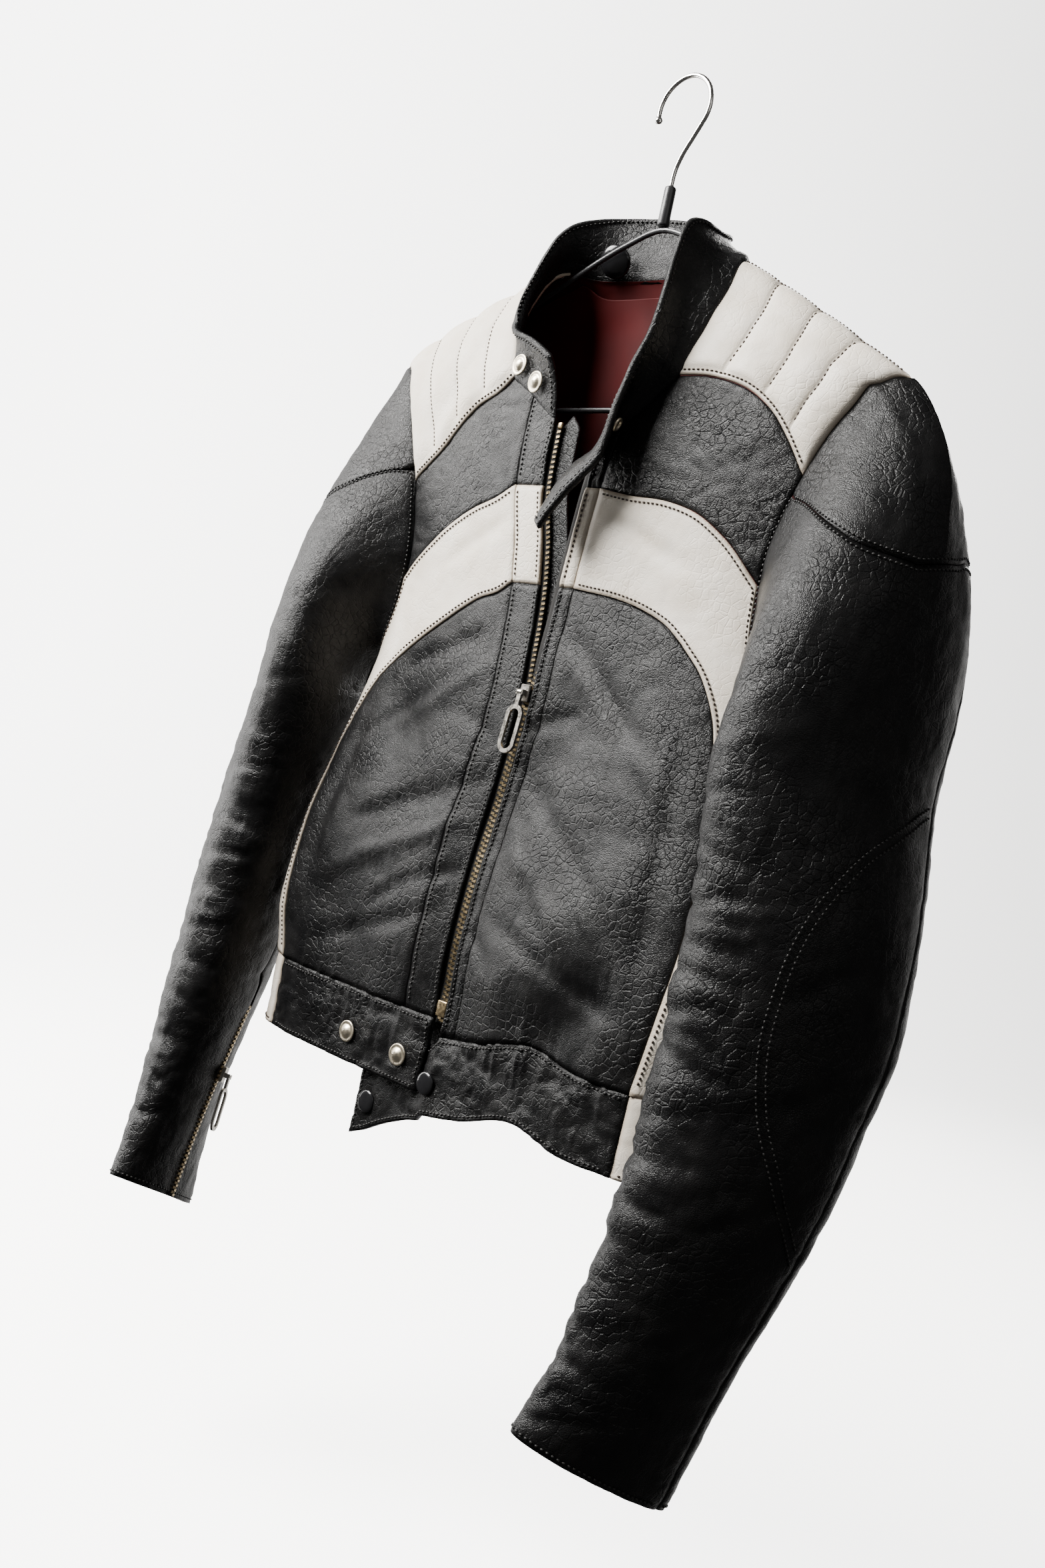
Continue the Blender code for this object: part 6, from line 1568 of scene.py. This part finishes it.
def make_front_zip(looks):
    for side, word in SIDES:
        heights = np.linspace(EDGE_NECK[side][1] - TAPE_BELOW_NECK, ZIP_LOW_Z, 90)
        edge = edge_x(side, heights) * side
        steps = np.linspace(-EDGE_GAP, TAPE_UNDER, 9)
        x = edge[None] + side * steps[:, None]
        z = np.repeat(heights[None], len(steps), axis=0)
        outer = front_grid(x, z, -LEATHER - TAPE_LAY)
        inner = front_grid(x, z, -LEATHER - TAPE_LAY - TAPE_THICK)
        shell(f"zip_tape_{word}", outer, inner, looks["tape"], "zip_tape")
        inset = np.full(len(heights), TOOTH_BEYOND)
        if side > 0:
            inset = inset + (TOOTH_UNDER - TOOTH_BEYOND) * ease((heights - FRONT_SLIDER_Z) / TOOTH_PART)
        line = front_grid(edge + side * inset, heights, -LEATHER - TAPE_LAY + TOOTH_PROUD)
        start = 0.0 if side > 0 else TOOTH_PITCH / 2
        centres = even_along(line, TOOTH_PITCH, start)
        along = unit(np.gradient(centres, axis=0))
        out = np.repeat(np.array(((0.0, -1.0, 0.0),)), len(centres), axis=0)
        across = unit(np.cross(along, out))
        across *= np.sign(across[:, :1]) * -side
        points, faces = tooth_row(centres, across, out, along)
        mesh_piece(f"zip_teeth_{word}", points, faces, looks["brass"], flat_faces=True)
    steps = np.linspace(-FLAP_UNDER, FLAP_BEYOND, 22)
    top = FLAP_TOP_Z - FLAP_SLOPE * np.abs(steps - FLAP_PEAK)
    down = np.linspace(0.0, 1.0, 100)[None]
    z = top[:, None] * (1 - down) + ZIP_LOW_Z * down
    x = steps[:, None] - edge_x(-1, z)
    base = front_grid(x, z, FLAP_OUT)
    lift = wrinkles(base, BLACK_WRINKLE * 0.7)
    outer = front_grid(x, z, FLAP_OUT + lift)
    inner = front_grid(x, z, FLAP_OUT + lift - FLAP_THICK)
    shell("wind_flap", outer, inner, looks["black"], "black_leather")


Fitting = namedtuple("Fitting", "name side x z width height proud")
ZIP_FITTINGS = (
    Fitting("zip_box", 1, 0.0045, -0.6640, 0.0090, 0.0110, 0.0016),
    Fitting("zip_stop_right", -1, 0.0, -0.2600, 0.0040, 0.0046, 0.0010),
)
FITTING_ROUND = 0.0009


def make_zip_fittings(looks):
    """The box at the zip's lower end and the stop above its teeth, as small rounded plates."""
    for row in ZIP_FITTINGS:
        x = row.x if row.side > 0 else TOOTH_BEYOND * row.side - float(edge_x(-1, row.z))
        middle = front_grid(np.array([x]), np.array([row.z]), -LEATHER - TAPE_LAY + TOOTH_PROUD)[0]
        made = bmesh.new()
        bmesh.ops.create_cube(made, size=1.0)
        for corner in made.verts:
            corner.co = Vector(middle) + Vector((corner.co.x * row.width, corner.co.y * 2 * row.proud,
                                                 corner.co.z * row.height))
        bmesh.ops.bevel(made, geom=made.edges[:], offset=FITTING_ROUND, segments=3, affect="EDGES",
                        profile=0.5)
        points = [corner.co[:] for corner in made.verts]
        made.faces.ensure_lookup_table()
        faces = [[corner.index for corner in face.verts] for face in made.faces]
        made.free()
        mesh_piece(row.name, points, faces, looks["brass"])


def make_cuff_zip(hole, word, seam_index, looks):
    loop = len(hole.turns) - 1
    centre = hole.turns[seam_index % loop] + 360.0 * (seam_index // loop)
    steps = np.linspace(-TAPE_HALF_TURN, TAPE_HALF_TURN, 11)
    down = 1.0 + np.linspace(CUFF_TAPE_TOP, 1.0, 60)[None]
    pick = hole.columns(seam_index, seam_index)
    columns = Columns(centre + steps, *(np.repeat(values, len(steps), axis=0) for values in pick[1:]))
    down = np.repeat(down, len(steps), axis=0)
    turns = columns.turns[:, None] + 0 * down
    outer = sleeve_grid(hole.side, turns, columns, down, CUFF_TAPE_OUT)
    inner = sleeve_grid(hole.side, turns, columns, down, CUFF_TAPE_OUT - TAPE_THICK)
    shell(f"cuff_zip_{word}", outer, inner, looks["tape"], "zip_tape", flat=False)
    middle = outer[len(steps) // 2]
    out = unit(middle - inner[len(steps) // 2])
    sideways = unit(outer[-1] - outer[0])
    reach = running_length(middle)
    wanted = np.arange(0.0, reach[-1], TOOTH_PITCH / 2)
    centres, normals, across = (looked_up(wanted, reach, values) for values in (middle, out, sideways))
    way = np.where(np.arange(len(centres)) % 2 == 0, 1.0, -1.0)[:, None]
    along = unit(np.gradient(centres, axis=0))
    centres = centres + across * way * CUFF_TOOTH_ASIDE + normals * CUFF_TOOTH_OUT
    points, faces = tooth_row(centres, unit(across) * -way, unit(normals), along)
    mesh_piece(f"cuff_teeth_{word}", points, faces, looks["brass"], flat_faces=True)


# ---------------------------------------------------------------- snaps, hanger, pulls
LATHE_STEPS = 40
LatheRow = namedtuple("LatheRow", "reach rise dome")
STUD_ROWS = (
    LatheRow(0.98, 0.0, 0.0), LatheRow(1.00, 0.35, 0.0), LatheRow(0.985, 0.70, 0.0),
    LatheRow(0.95, 0.92, 0.0), LatheRow(0.90, 1.00, 0.0), LatheRow(0.84, 0.98, 0.0),
    LatheRow(0.78, 0.90, 0.0), LatheRow(0.72, 0.82, 0.0), LatheRow(0.66, 0.80, 0.03),
    LatheRow(0.60, 0.86, 0.12), LatheRow(0.52, 0.95, 0.32), LatheRow(0.42, 1.00, 0.57),
    LatheRow(0.30, 1.00, 0.79), LatheRow(0.18, 1.00, 0.92), LatheRow(0.08, 1.00, 0.98),
)
DOME_ROWS = (
    LatheRow(0.97, 0.0, 0.0), LatheRow(1.00, 0.25, 0.0), LatheRow(1.00, 0.45, 0.0),
    LatheRow(0.96, 0.72, 0.0), LatheRow(0.88, 0.92, 0.10), LatheRow(0.76, 1.00, 0.36),
    LatheRow(0.60, 1.00, 0.62), LatheRow(0.42, 1.00, 0.82), LatheRow(0.22, 1.00, 0.95),
    LatheRow(0.08, 1.00, 0.99),
)
SOCKET_ROWS = (
    LatheRow(0.97, 0.0, 0.0), LatheRow(1.00, 0.40, 0.0), LatheRow(0.97, 0.80, 0.0),
    LatheRow(0.88, 1.00, 0.4), LatheRow(0.74, 1.00, 0.8), LatheRow(0.62, 0.90, 0.3),
    LatheRow(0.52, 0.45, 0.0), LatheRow(0.40, 0.25, 0.0), LatheRow(0.15, 0.22, 0.0),
)
LATHES = {"ring stud": STUD_ROWS, "socket": SOCKET_ROWS, "covered cap": DOME_ROWS, "neck disc": DOME_ROWS}


def lathe(name, kind, point, outward, look):
    """A turned snap part that lies on the leather, from its profile's rows."""
    rows = LATHES[kind.name]
    angle = np.linspace(0.0, 2 * math.pi, LATHE_STEPS, endpoint=False)
    ring = np.stack((np.cos(angle), np.sin(angle)), axis=-1)
    points = []
    for row in rows:
        height = np.full((LATHE_STEPS, 1), row.rise * kind.height + row.dome * kind.dome)
        points.append(np.concatenate((ring * row.reach * kind.radius, height), axis=1))
    points = np.concatenate(points + [np.array(((0.0, 0.0, 0.0), (0.0, 0.0, height[0, 0])))])
    turn = np.array(Vector((0, 0, 1)).rotation_difference(Vector(outward)).to_matrix())
    points = points @ turn.T + np.asarray(point) + np.asarray(outward) * kind.lay
    index = np.arange(len(rows) * LATHE_STEPS).reshape(len(rows), LATHE_STEPS)
    beside = np.roll(index, -1, axis=1)
    faces = np.stack((index[:-1], beside[:-1], beside[1:], index[1:]), axis=-1).reshape(-1, 4).tolist()
    base, peak = index.size, index.size + 1
    faces += [(base, second, first) for first, second in zip(index[0].tolist(), beside[0].tolist())]
    faces += [(peak, first, second) for first, second in zip(index[-1].tolist(), beside[-1].tolist())]
    mesh_piece(f"{name}_look", points, faces, look, name)


def on_grid(points, i, j):
    """Point and direction vectors at a fractional place on a grid."""
    a, b = int(min(i, points.shape[0] - 2)), int(min(j, points.shape[1] - 2))
    s, t = i - a, j - b
    along = points[a + 1, b] - points[a, b]
    up = points[a, b + 1] - points[a, b]
    low = points[a, b] * (1 - s) + points[a + 1, b] * s
    high = points[a, b + 1] * (1 - s) + points[a + 1, b + 1] * s
    return low * (1 - t) + high * t, along, up


def make_snaps(net, net_normal, looks):
    finish = {"steel": ("stud", "nickel"), "black": ("gloss", "black_leather")}
    for item in COLLAR_SNAPS:
        face = net + net_normal * (item.face * COLLAR_THICK / 2)
        point, along, up = on_grid(face, item.station, item.up * COLLAR_ROWS)
        look, slot_name = finish[item.kind.finish]
        lathe(item.name, item.kind, point, unit(np.cross(along, up)) * item.face, looks[look])
    for item in BAND_SNAPS:
        point = hanging_grid(np.array([item.x]), np.array([item.z]), item.out)[0]
        level = hanging_grid(np.array([item.x + 0.01]), np.array([item.z]), item.out)[0] - point
        look, slot_name = finish[item.kind.finish]
        outward = unit(np.cross(level, np.array((0.0, 0.0, 1.0))))
        lathe(item.name, item.kind, point, outward, looks[look])


def wire(name, path, radius, look, closed=False, sides=20):
    """A round smooth wire along points in the hanger's plane."""
    path = np.asarray(path, float)
    if closed:
        run = unit(np.roll(path, -1, axis=0) - np.roll(path, 1, axis=0))
    else:
        run = unit(np.gradient(path, axis=0))
    side = np.repeat(np.array(((0.0, 1.0, 0.0),)), len(path), axis=0)
    normal = unit(np.cross(run, side))
    radius = np.broadcast_to(radius, (len(path),))[:, None]
    angle = np.linspace(0.0, 2 * math.pi, sides, endpoint=False)
    rings = np.stack([path + radius * (math.cos(a) * side + math.sin(a) * normal) for a in angle], axis=1)
    index = np.arange(len(path) * sides).reshape(len(path), sides)
    if closed:
        index = np.concatenate((index, index[:1]))
    beside = np.roll(index, -1, axis=1)
    faces = np.stack((index[:-1], beside[:-1], beside[1:], index[1:]), axis=-1).reshape(-1, 4).tolist()
    if not closed:
        faces += [index[0][::-1].tolist(), index[-1].tolist()]
    mesh_piece(f"{name}_look", rings.reshape(-1, 3), faces, look, name)


def finer_path(points, steps, closed=False):
    points = np.asarray(points, float)
    if closed:
        around = np.concatenate((points[-2:], points, points[:3]))
        at = np.arange(2.0, 2.0 + len(points), 1.0 / steps)
        return catmull_rows(around, at)
    at = np.linspace(0.0, len(points) - 1.0, (len(points) - 1) * steps + 1)
    return catmull_rows(points, at)


def make_hanger(looks):
    centre_z = WIRE_RADIUS - HOOK_RADIUS
    angle = np.radians(np.arange(HOOK_TIP_TURN, HOOK_BEND_TURN - 1, -HOOK_STEP_TURN))
    hook = np.stack((HOOK_CENTRE_X + HOOK_RADIUS * np.cos(angle), 0.0 * angle,
                     centre_z + HOOK_RADIUS * np.sin(angle)), axis=-1)
    shank = [hook[-1]] + [(hook[-1, 0] * row.x_share, 0.0, row.z) for row in HOOK_SHANK]
    hook = np.concatenate((hook, finer_path(shank, WIRE_STEPS)[1:]))
    radius = np.full(len(hook), WIRE_RADIUS)
    ball = np.linspace(0.0, 1.0, 9)
    bulb = hook[0] + unit(hook[0] - hook[1]) * BALL_RADIUS * (1 - 2 * ball[:, None])
    bulb_radius = np.maximum(BALL_RADIUS * np.sqrt(np.maximum(1 - (2 * ball - 1) ** 2, 0.0)), BALL_TIP_RADIUS)
    bulb_radius[-1] = WIRE_RADIUS
    keep = np.linalg.norm(hook - hook[0], axis=1) > BALL_RADIUS
    hook, radius = np.concatenate((bulb, hook[keep])), np.concatenate((bulb_radius, radius[keep]))
    wire("hanger_hook", hook, radius, looks["hook"])
    heights = np.array([row.share for row in NECK_SLEEVE])
    sleeve = np.stack((0 * heights, 0 * heights, NECK_TOP + (NECK_LOW - NECK_TOP) * heights), axis=1)
    size = NECK_SLEEVE_RADIUS * np.array([row.size for row in NECK_SLEEVE])
    wire("hanger_neck", sleeve, size, looks["coat"], sides=28)
    right = [(-x, 0.0, z) for x, z in FRAME_PATH]
    left = [(x, 0.0, z) for x, z in FRAME_PATH]
    loop = finer_path(left + right[::-1][1:-1], WIRE_STEPS, closed=True)
    wire("hanger_frame", loop, FRAME_RADIUS, looks["coat"], closed=True)


# ---------------------------------------------------------------- materials
class Look:
    """A material with its node tree, and short calls to add and join nodes."""

    def __init__(self, name, colour, roughness, metallic=0.0):
        self.made = bpy.data.materials.new(name)
        self.made.use_nodes = True
        self.nodes, self.links = self.made.node_tree.nodes, self.made.node_tree.links
        self.shader = self.nodes["Principled BSDF"]
        self.shader.inputs["Base Color"].default_value = (*colour, 1.0)
        self.shader.inputs["Roughness"].default_value = roughness
        self.shader.inputs["Metallic"].default_value = metallic
        self.place = self.nodes.new("ShaderNodeTexCoord").outputs["Object"]

    def noise(self, scale, detail=3.0, rough=0.5):
        node = self.nodes.new("ShaderNodeTexNoise")
        node.inputs["Scale"].default_value = scale
        node.inputs["Detail"].default_value = detail
        node.inputs["Roughness"].default_value = rough
        self.links.new(self.place, node.inputs["Vector"])
        return node.outputs["Fac"]

    def cells(self, scale):
        node = self.nodes.new("ShaderNodeTexVoronoi")
        node.feature = "DISTANCE_TO_EDGE"
        node.inputs["Scale"].default_value = scale
        self.links.new(self.place, node.inputs["Vector"])
        return node.outputs["Distance"]

    def wave(self, scale, direction):
        node = self.nodes.new("ShaderNodeTexWave")
        node.wave_type = "BANDS"
        node.bands_direction = direction
        node.inputs["Scale"].default_value = scale
        node.inputs["Distortion"].default_value = 0.4
        self.links.new(self.place, node.inputs["Vector"])
        return node.outputs["Fac"]

    def attribute(self, name):
        node = self.nodes.new("ShaderNodeAttribute")
        node.attribute_name = name
        return node.outputs["Fac"]

    def span(self, value, low, high, to_low, to_high):
        node = self.nodes.new("ShaderNodeMapRange")
        for key, number in (("From Min", low), ("From Max", high), ("To Min", to_low), ("To Max", to_high)):
            node.inputs[key].default_value = number
        self.links.new(value, node.inputs["Value"])
        return node.outputs["Result"]

    def maths(self, operation, first, second):
        node = self.nodes.new("ShaderNodeMath")
        node.operation = operation
        for key, value in ((0, first), (1, second)):
            if isinstance(value, (int, float)):
                node.inputs[key].default_value = value
            else:
                self.links.new(value, node.inputs[key])
        return node.outputs["Value"]

    def mix(self, factor, first, second):
        node = self.nodes.new("ShaderNodeMix")
        node.data_type = "RGBA"
        self.links.new(factor, node.inputs["Factor"])
        for key, value in (("A", first), ("B", second)):
            socket = [item for item in node.inputs if item.name == key and item.type == "RGBA"][0]
            if isinstance(value, tuple):
                socket.default_value = (*value, 1.0)
            else:
                self.links.new(value, socket)
        return [item for item in node.outputs if item.type == "RGBA"][0]

    def bump(self, height, distance, strength=1.0, under=None):
        node = self.nodes.new("ShaderNodeBump")
        node.inputs["Distance"].default_value = distance
        node.inputs["Strength"].default_value = strength
        self.links.new(height, node.inputs["Height"])
        if under is not None:
            self.links.new(under, node.inputs["Normal"])
        return node.outputs["Normal"]

    def to(self, socket, value):
        self.links.new(value, self.shader.inputs[socket])


CRACK_CELLS, CRACK_DEPTH = 190.0, 2.2


def leather(name, dark, light, groove_shade_colour, rough, grain, groove_shade_share, pores, specular):
    look = Look(name, light, rough[1])
    look.shader.inputs["Specular IOR Level"].default_value = specular
    patch = look.span(look.noise(38.0, 4.0, 0.6), 0.35, 0.70, 0.0, 1.0)
    fine = look.noise(900.0, 2.0)
    colour = look.mix(patch, dark, light)
    # Painted shade: the groove attribute darkens the colour along seams and stitch lines.
    groove = look.maths("MULTIPLY", look.attribute("groove"), groove_shade_share)
    colour = look.mix(groove, colour, groove_shade_colour)
    look.to("Base Color", colour)
    look.to("Roughness", look.span(look.noise(70.0, 3.0), 0.3, 0.7, *rough))
    pebble = look.span(look.cells(pores), 0.0, 0.35, 0.0, 1.0)
    first = look.bump(pebble, grain, 0.55)
    creased = look.span(look.cells(CRACK_CELLS), 0.0, 0.12, 0.0, 1.0)
    uneven = look.span(look.noise(24.0, 2.0), 0.40, 0.62, 0.15, 1.0)
    second = look.bump(look.maths("MULTIPLY", creased, uneven), grain * CRACK_DEPTH, 0.60, first)
    look.to("Normal", look.bump(fine, grain * 0.6, 0.35, second))
    return look.made


def metal(name, colour, rough, scratch):
    look = Look(name, colour, rough, 1.0)
    wear = look.noise(420.0, 4.0)
    look.to("Roughness", look.span(wear, 0.3, 0.7, rough * 0.8, rough * 1.5))
    look.to("Base Color", look.mix(look.noise(160.0), tuple(0.82 * c for c in colour), colour))
    look.to("Normal", look.bump(wear, scratch, 0.25))
    return look.made


def woven(name, dark, light, scale, rough, depth):
    look = Look(name, light, rough)
    look.shader.inputs["Specular IOR Level"].default_value = 0.25
    first = look.wave(scale, "Z")
    second = look.wave(scale * 0.9, "X")
    weave = look.maths("MULTIPLY", first, second)
    look.to("Base Color", look.mix(look.maths("ADD", look.maths("MULTIPLY", weave, 0.4), look.noise(30.0)),
                                   dark, light))
    look.to("Normal", look.bump(weave, depth, 0.5))
    return look.made


def plain(name, dark, light, rough, bump_scale, depth):
    look = Look(name, light, rough)
    patch = look.noise(bump_scale * 0.3)
    look.to("Base Color", look.mix(patch, dark, light))
    look.to("Roughness", look.span(look.noise(bump_scale), 0.3, 0.7, rough * 0.85, rough * 1.25))
    look.to("Normal", look.bump(look.noise(bump_scale), depth, 0.3))
    return look.made


def make_looks():
    return {
        # The third colour of each leather is the painted shade of its seam and stitch grooves.
        "black": leather("black leather", (0.0035, 0.0035, 0.0038), (0.0095, 0.0092, 0.0092),
                         (0.0015, 0.0015, 0.0015), (0.30, 0.44), 0.00024, 0.8, 950.0, 0.20),
        "cream": leather("cream leather", (0.690, 0.615, 0.510), (0.790, 0.730, 0.640),
                         (0.300, 0.235, 0.165), (0.42, 0.58), 0.00012, 0.75, 1200.0, 0.40),
        "red": woven("red lining", (0.034, 0.0004, 0.0007), (0.088, 0.0010, 0.0017), 900.0, 0.70,
                     0.00005),
        "tape": woven("zip tape", (0.006, 0.006, 0.006), (0.020, 0.019, 0.018), 420.0, 0.80, 0.00012),
        "stud": metal("pale gold metal", (0.800, 0.715, 0.560), 0.34, 0.00002),
        "brass": metal("brass zip metal", (0.520, 0.400, 0.230), 0.30, 0.00002),
        "pull": metal("worn nickel", (0.560, 0.530, 0.480), 0.27, 0.00002),
        "hook": metal("bright nickel", (0.760, 0.745, 0.715), 0.16, 0.00001),
        "gloss": plain("glossy black", (0.006, 0.006, 0.007), (0.014, 0.014, 0.015), 0.16, 500.0, 0.00003),
        "coat": plain("coated wire", (0.012, 0.012, 0.013), (0.040, 0.040, 0.042), 0.30, 300.0, 0.00004),
        "black thread": plain("black thread", (0.006, 0.006, 0.006), (0.022, 0.020, 0.019), 0.55,
                              2500.0, 0.00008),
        "cream thread": plain("brown thread", (0.026, 0.016, 0.010), (0.060, 0.040, 0.025), 0.65,
                              2500.0, 0.00008),
    }


# ---------------------------------------------------------------- floor, light, camera
FLOOR_Z = -1.06
CAMERA_PLACE = (0.7538, -0.8010, -0.4880)
CAMERA_YAW, CAMERA_PITCH, CAMERA_ROLL = math.radians(44.0), math.radians(-1.06), math.radians(12.1)
FRAME_HEIGHT_MM = 36.0
FOCAL_MM = 35.8


def make_camera():
    yaw, pitch, roll = CAMERA_YAW, CAMERA_PITCH, CAMERA_ROLL
    forward = Vector((-math.sin(yaw) * math.cos(pitch), math.cos(yaw) * math.cos(pitch), math.sin(pitch)))
    right = Vector((math.cos(yaw), math.sin(yaw), 0.0))
    upward = right.cross(forward)
    across = math.cos(roll) * right + math.sin(roll) * upward
    above = -math.sin(roll) * right + math.cos(roll) * upward
    matrix = Matrix((across, above, -forward)).transposed().to_4x4()
    matrix.translation = Vector(CAMERA_PLACE)
    data = bpy.data.cameras.new("camera")
    data.sensor_fit = "VERTICAL"
    data.sensor_height = FRAME_HEIGHT_MM
    data.lens = FOCAL_MM
    data.clip_start = 0.01
    camera = bpy.data.objects.new("camera", data)
    bpy.context.scene.collection.objects.link(camera)
    camera.matrix_world = matrix
    bpy.context.scene.camera = camera


def soft_light(row):
    data = bpy.data.lights.new(row.name, "AREA")
    data.shape = "RECTANGLE"
    data.size, data.size_y = row.width, row.height
    data.energy = row.watts
    data.color = LIGHT_COLOUR
    lamp = bpy.data.objects.new(row.name, data)
    bpy.context.scene.collection.objects.link(lamp)
    lamp.location = row.place
    lamp.visible_camera = False
    lamp.rotation_euler = (Vector(LIGHT_AIM) - Vector(row.place)).to_track_quat("-Z", "Y").to_euler()


Lamp = namedtuple("Lamp", "name place width height watts")
LAMPS = (
    Lamp("high window", (-0.90, -1.15, 0.75), 1.1, 1.1, 165.0),
    Lamp("side window", (-1.70, -0.40, -0.25), 0.5, 1.6, 34.0),
    Lamp("fill", (1.70, -0.60, 0.50), 1.2, 1.2, 4.0),
    Lamp("back window", (-0.90, 1.60, 0.60), 1.3, 1.3, 70.0),
)
LIGHT_AIM = (0.0, 0.0, -0.45)
LIGHT_COLOUR = (1.0, 0.985, 0.96)
BRIGHT_SIDE = (-0.69, 0.72, 0.0)
DIM, BRIGHT = 0.09, 1.6
FLOOR_REACH, WALL_BEND, WALL_TOP = 3.0, 1.6, 4.0
# Painted light on the backdrop: it glows, brighter toward the lit side and dimmer away from it.
WALL_LIGHT_SIDE = (-0.72, -0.69, 0.0)
WALL_GLOW_SHADED, WALL_GLOW_LIT = 2.4, 6.5


def backdrop_mesh():
    """Round studio floor that bends up into a wall on every side."""
    rows = [(0.5, FLOOR_Z), (FLOOR_REACH, FLOOR_Z)]
    for step in range(1, 9):
        angle = math.pi / 2 * step / 8
        rows.append((FLOOR_REACH + WALL_BEND * math.sin(angle), FLOOR_Z + WALL_BEND * (1 - math.cos(angle))))
    rows.append((FLOOR_REACH + WALL_BEND, WALL_TOP))
    steps = 64
    points = [(reach * math.cos(2 * math.pi * k / steps), reach * math.sin(2 * math.pi * k / steps), height)
              for reach, height in rows for k in range(steps)]
    faces = [(row * steps + k, row * steps + (k + 1) % steps, (row + 1) * steps + (k + 1) % steps,
              (row + 1) * steps + k) for row in range(len(rows) - 1) for k in range(steps)]
    faces.append(tuple(range(steps - 1, -1, -1)))
    mesh = bpy.data.meshes.new("backdrop")
    mesh.from_pydata(points, [], faces)
    mesh.shade_smooth()
    return mesh


def toward(nodes, links, place, direction):
    """How far a place lies in a direction, as a node output."""
    facing = nodes.new("ShaderNodeVectorMath")
    facing.operation = "DOT_PRODUCT"
    facing.inputs[1].default_value = direction
    links.new(place, facing.inputs[0])
    return facing.outputs["Value"]


def make_stage():
    mesh = backdrop_mesh()
    look = Look("backdrop painted light", (0.80, 0.79, 0.77), 0.90)
    # The camera-only backdrop glows with painted light, brighter toward the window side and dimmer away from
    # it.
    painted_light_falloff = look.span(toward(look.nodes, look.links, look.place, WALL_LIGHT_SIDE), -1.6, 1.6, 0.0, 1.0)
    look.shader.inputs["Emission Strength"].default_value = 1.0
    dull, bright = ((shade, 0.992 * shade, 0.975 * shade) for shade in (WALL_GLOW_SHADED, WALL_GLOW_LIT))
    look.to("Emission Color", look.mix(painted_light_falloff, dull, bright))
    mesh.materials.append(look.made)
    backdrop = bpy.data.objects.new("backdrop", mesh)
    backdrop.visible_diffuse = backdrop.visible_glossy = backdrop.visible_shadow = False
    bpy.context.scene.collection.objects.link(backdrop)

    world = bpy.data.worlds.new("studio")
    bpy.context.scene.world = world
    world.use_nodes = True
    nodes, links = world.node_tree.nodes, world.node_tree.links
    place = nodes.new("ShaderNodeTexCoord").outputs["Generated"]
    span = nodes.new("ShaderNodeMapRange")
    for key, number in (("From Min", 0.45), ("From Max", 0.90), ("To Min", DIM), ("To Max", BRIGHT)):
        span.inputs[key].default_value = number
    links.new(toward(nodes, links, place, BRIGHT_SIDE), span.inputs["Value"])
    background = nodes["Background"]
    background.inputs["Color"].default_value = (1.0, 0.985, 0.965, 1.0)
    links.new(span.outputs["Result"], background.inputs["Strength"])
    for lamp in LAMPS:
        soft_light(lamp)


# ---------------------------------------------------------------- the whole part
METAL_NODES = ("zip_slider", "zip_pull", "cuff_slider_left", "cuff_slider_right", "cuff_pull_left",
               "cuff_pull_right")


def main():
    looks = make_looks()
    make_camera()
    make_stage()
    seams = {side: half_seams(side) for side, _ in SIDES}
    make_fronts(seams, looks)
    make_back(seams, looks)
    for side, word in SIDES:
        hole, seam_index = make_sleeve(side, word, seams[side], looks)
        make_cuff_zip(hole, word, seam_index, looks)
    net, net_normal = make_collar(seams, looks)
    make_front_zip(looks)
    make_zip_fittings(looks)
    make_bands(seams, looks)
    make_snaps(net, net_normal, looks)
    make_hanger(looks)
    sew("black_stitches", "black", looks["black thread"])
    sew("cream_stitches", "cream", looks["cream thread"])
    for name in METAL_NODES:
        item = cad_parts[name]
        item.data.materials.clear()
        item.data.materials.append(looks["pull"])


main()
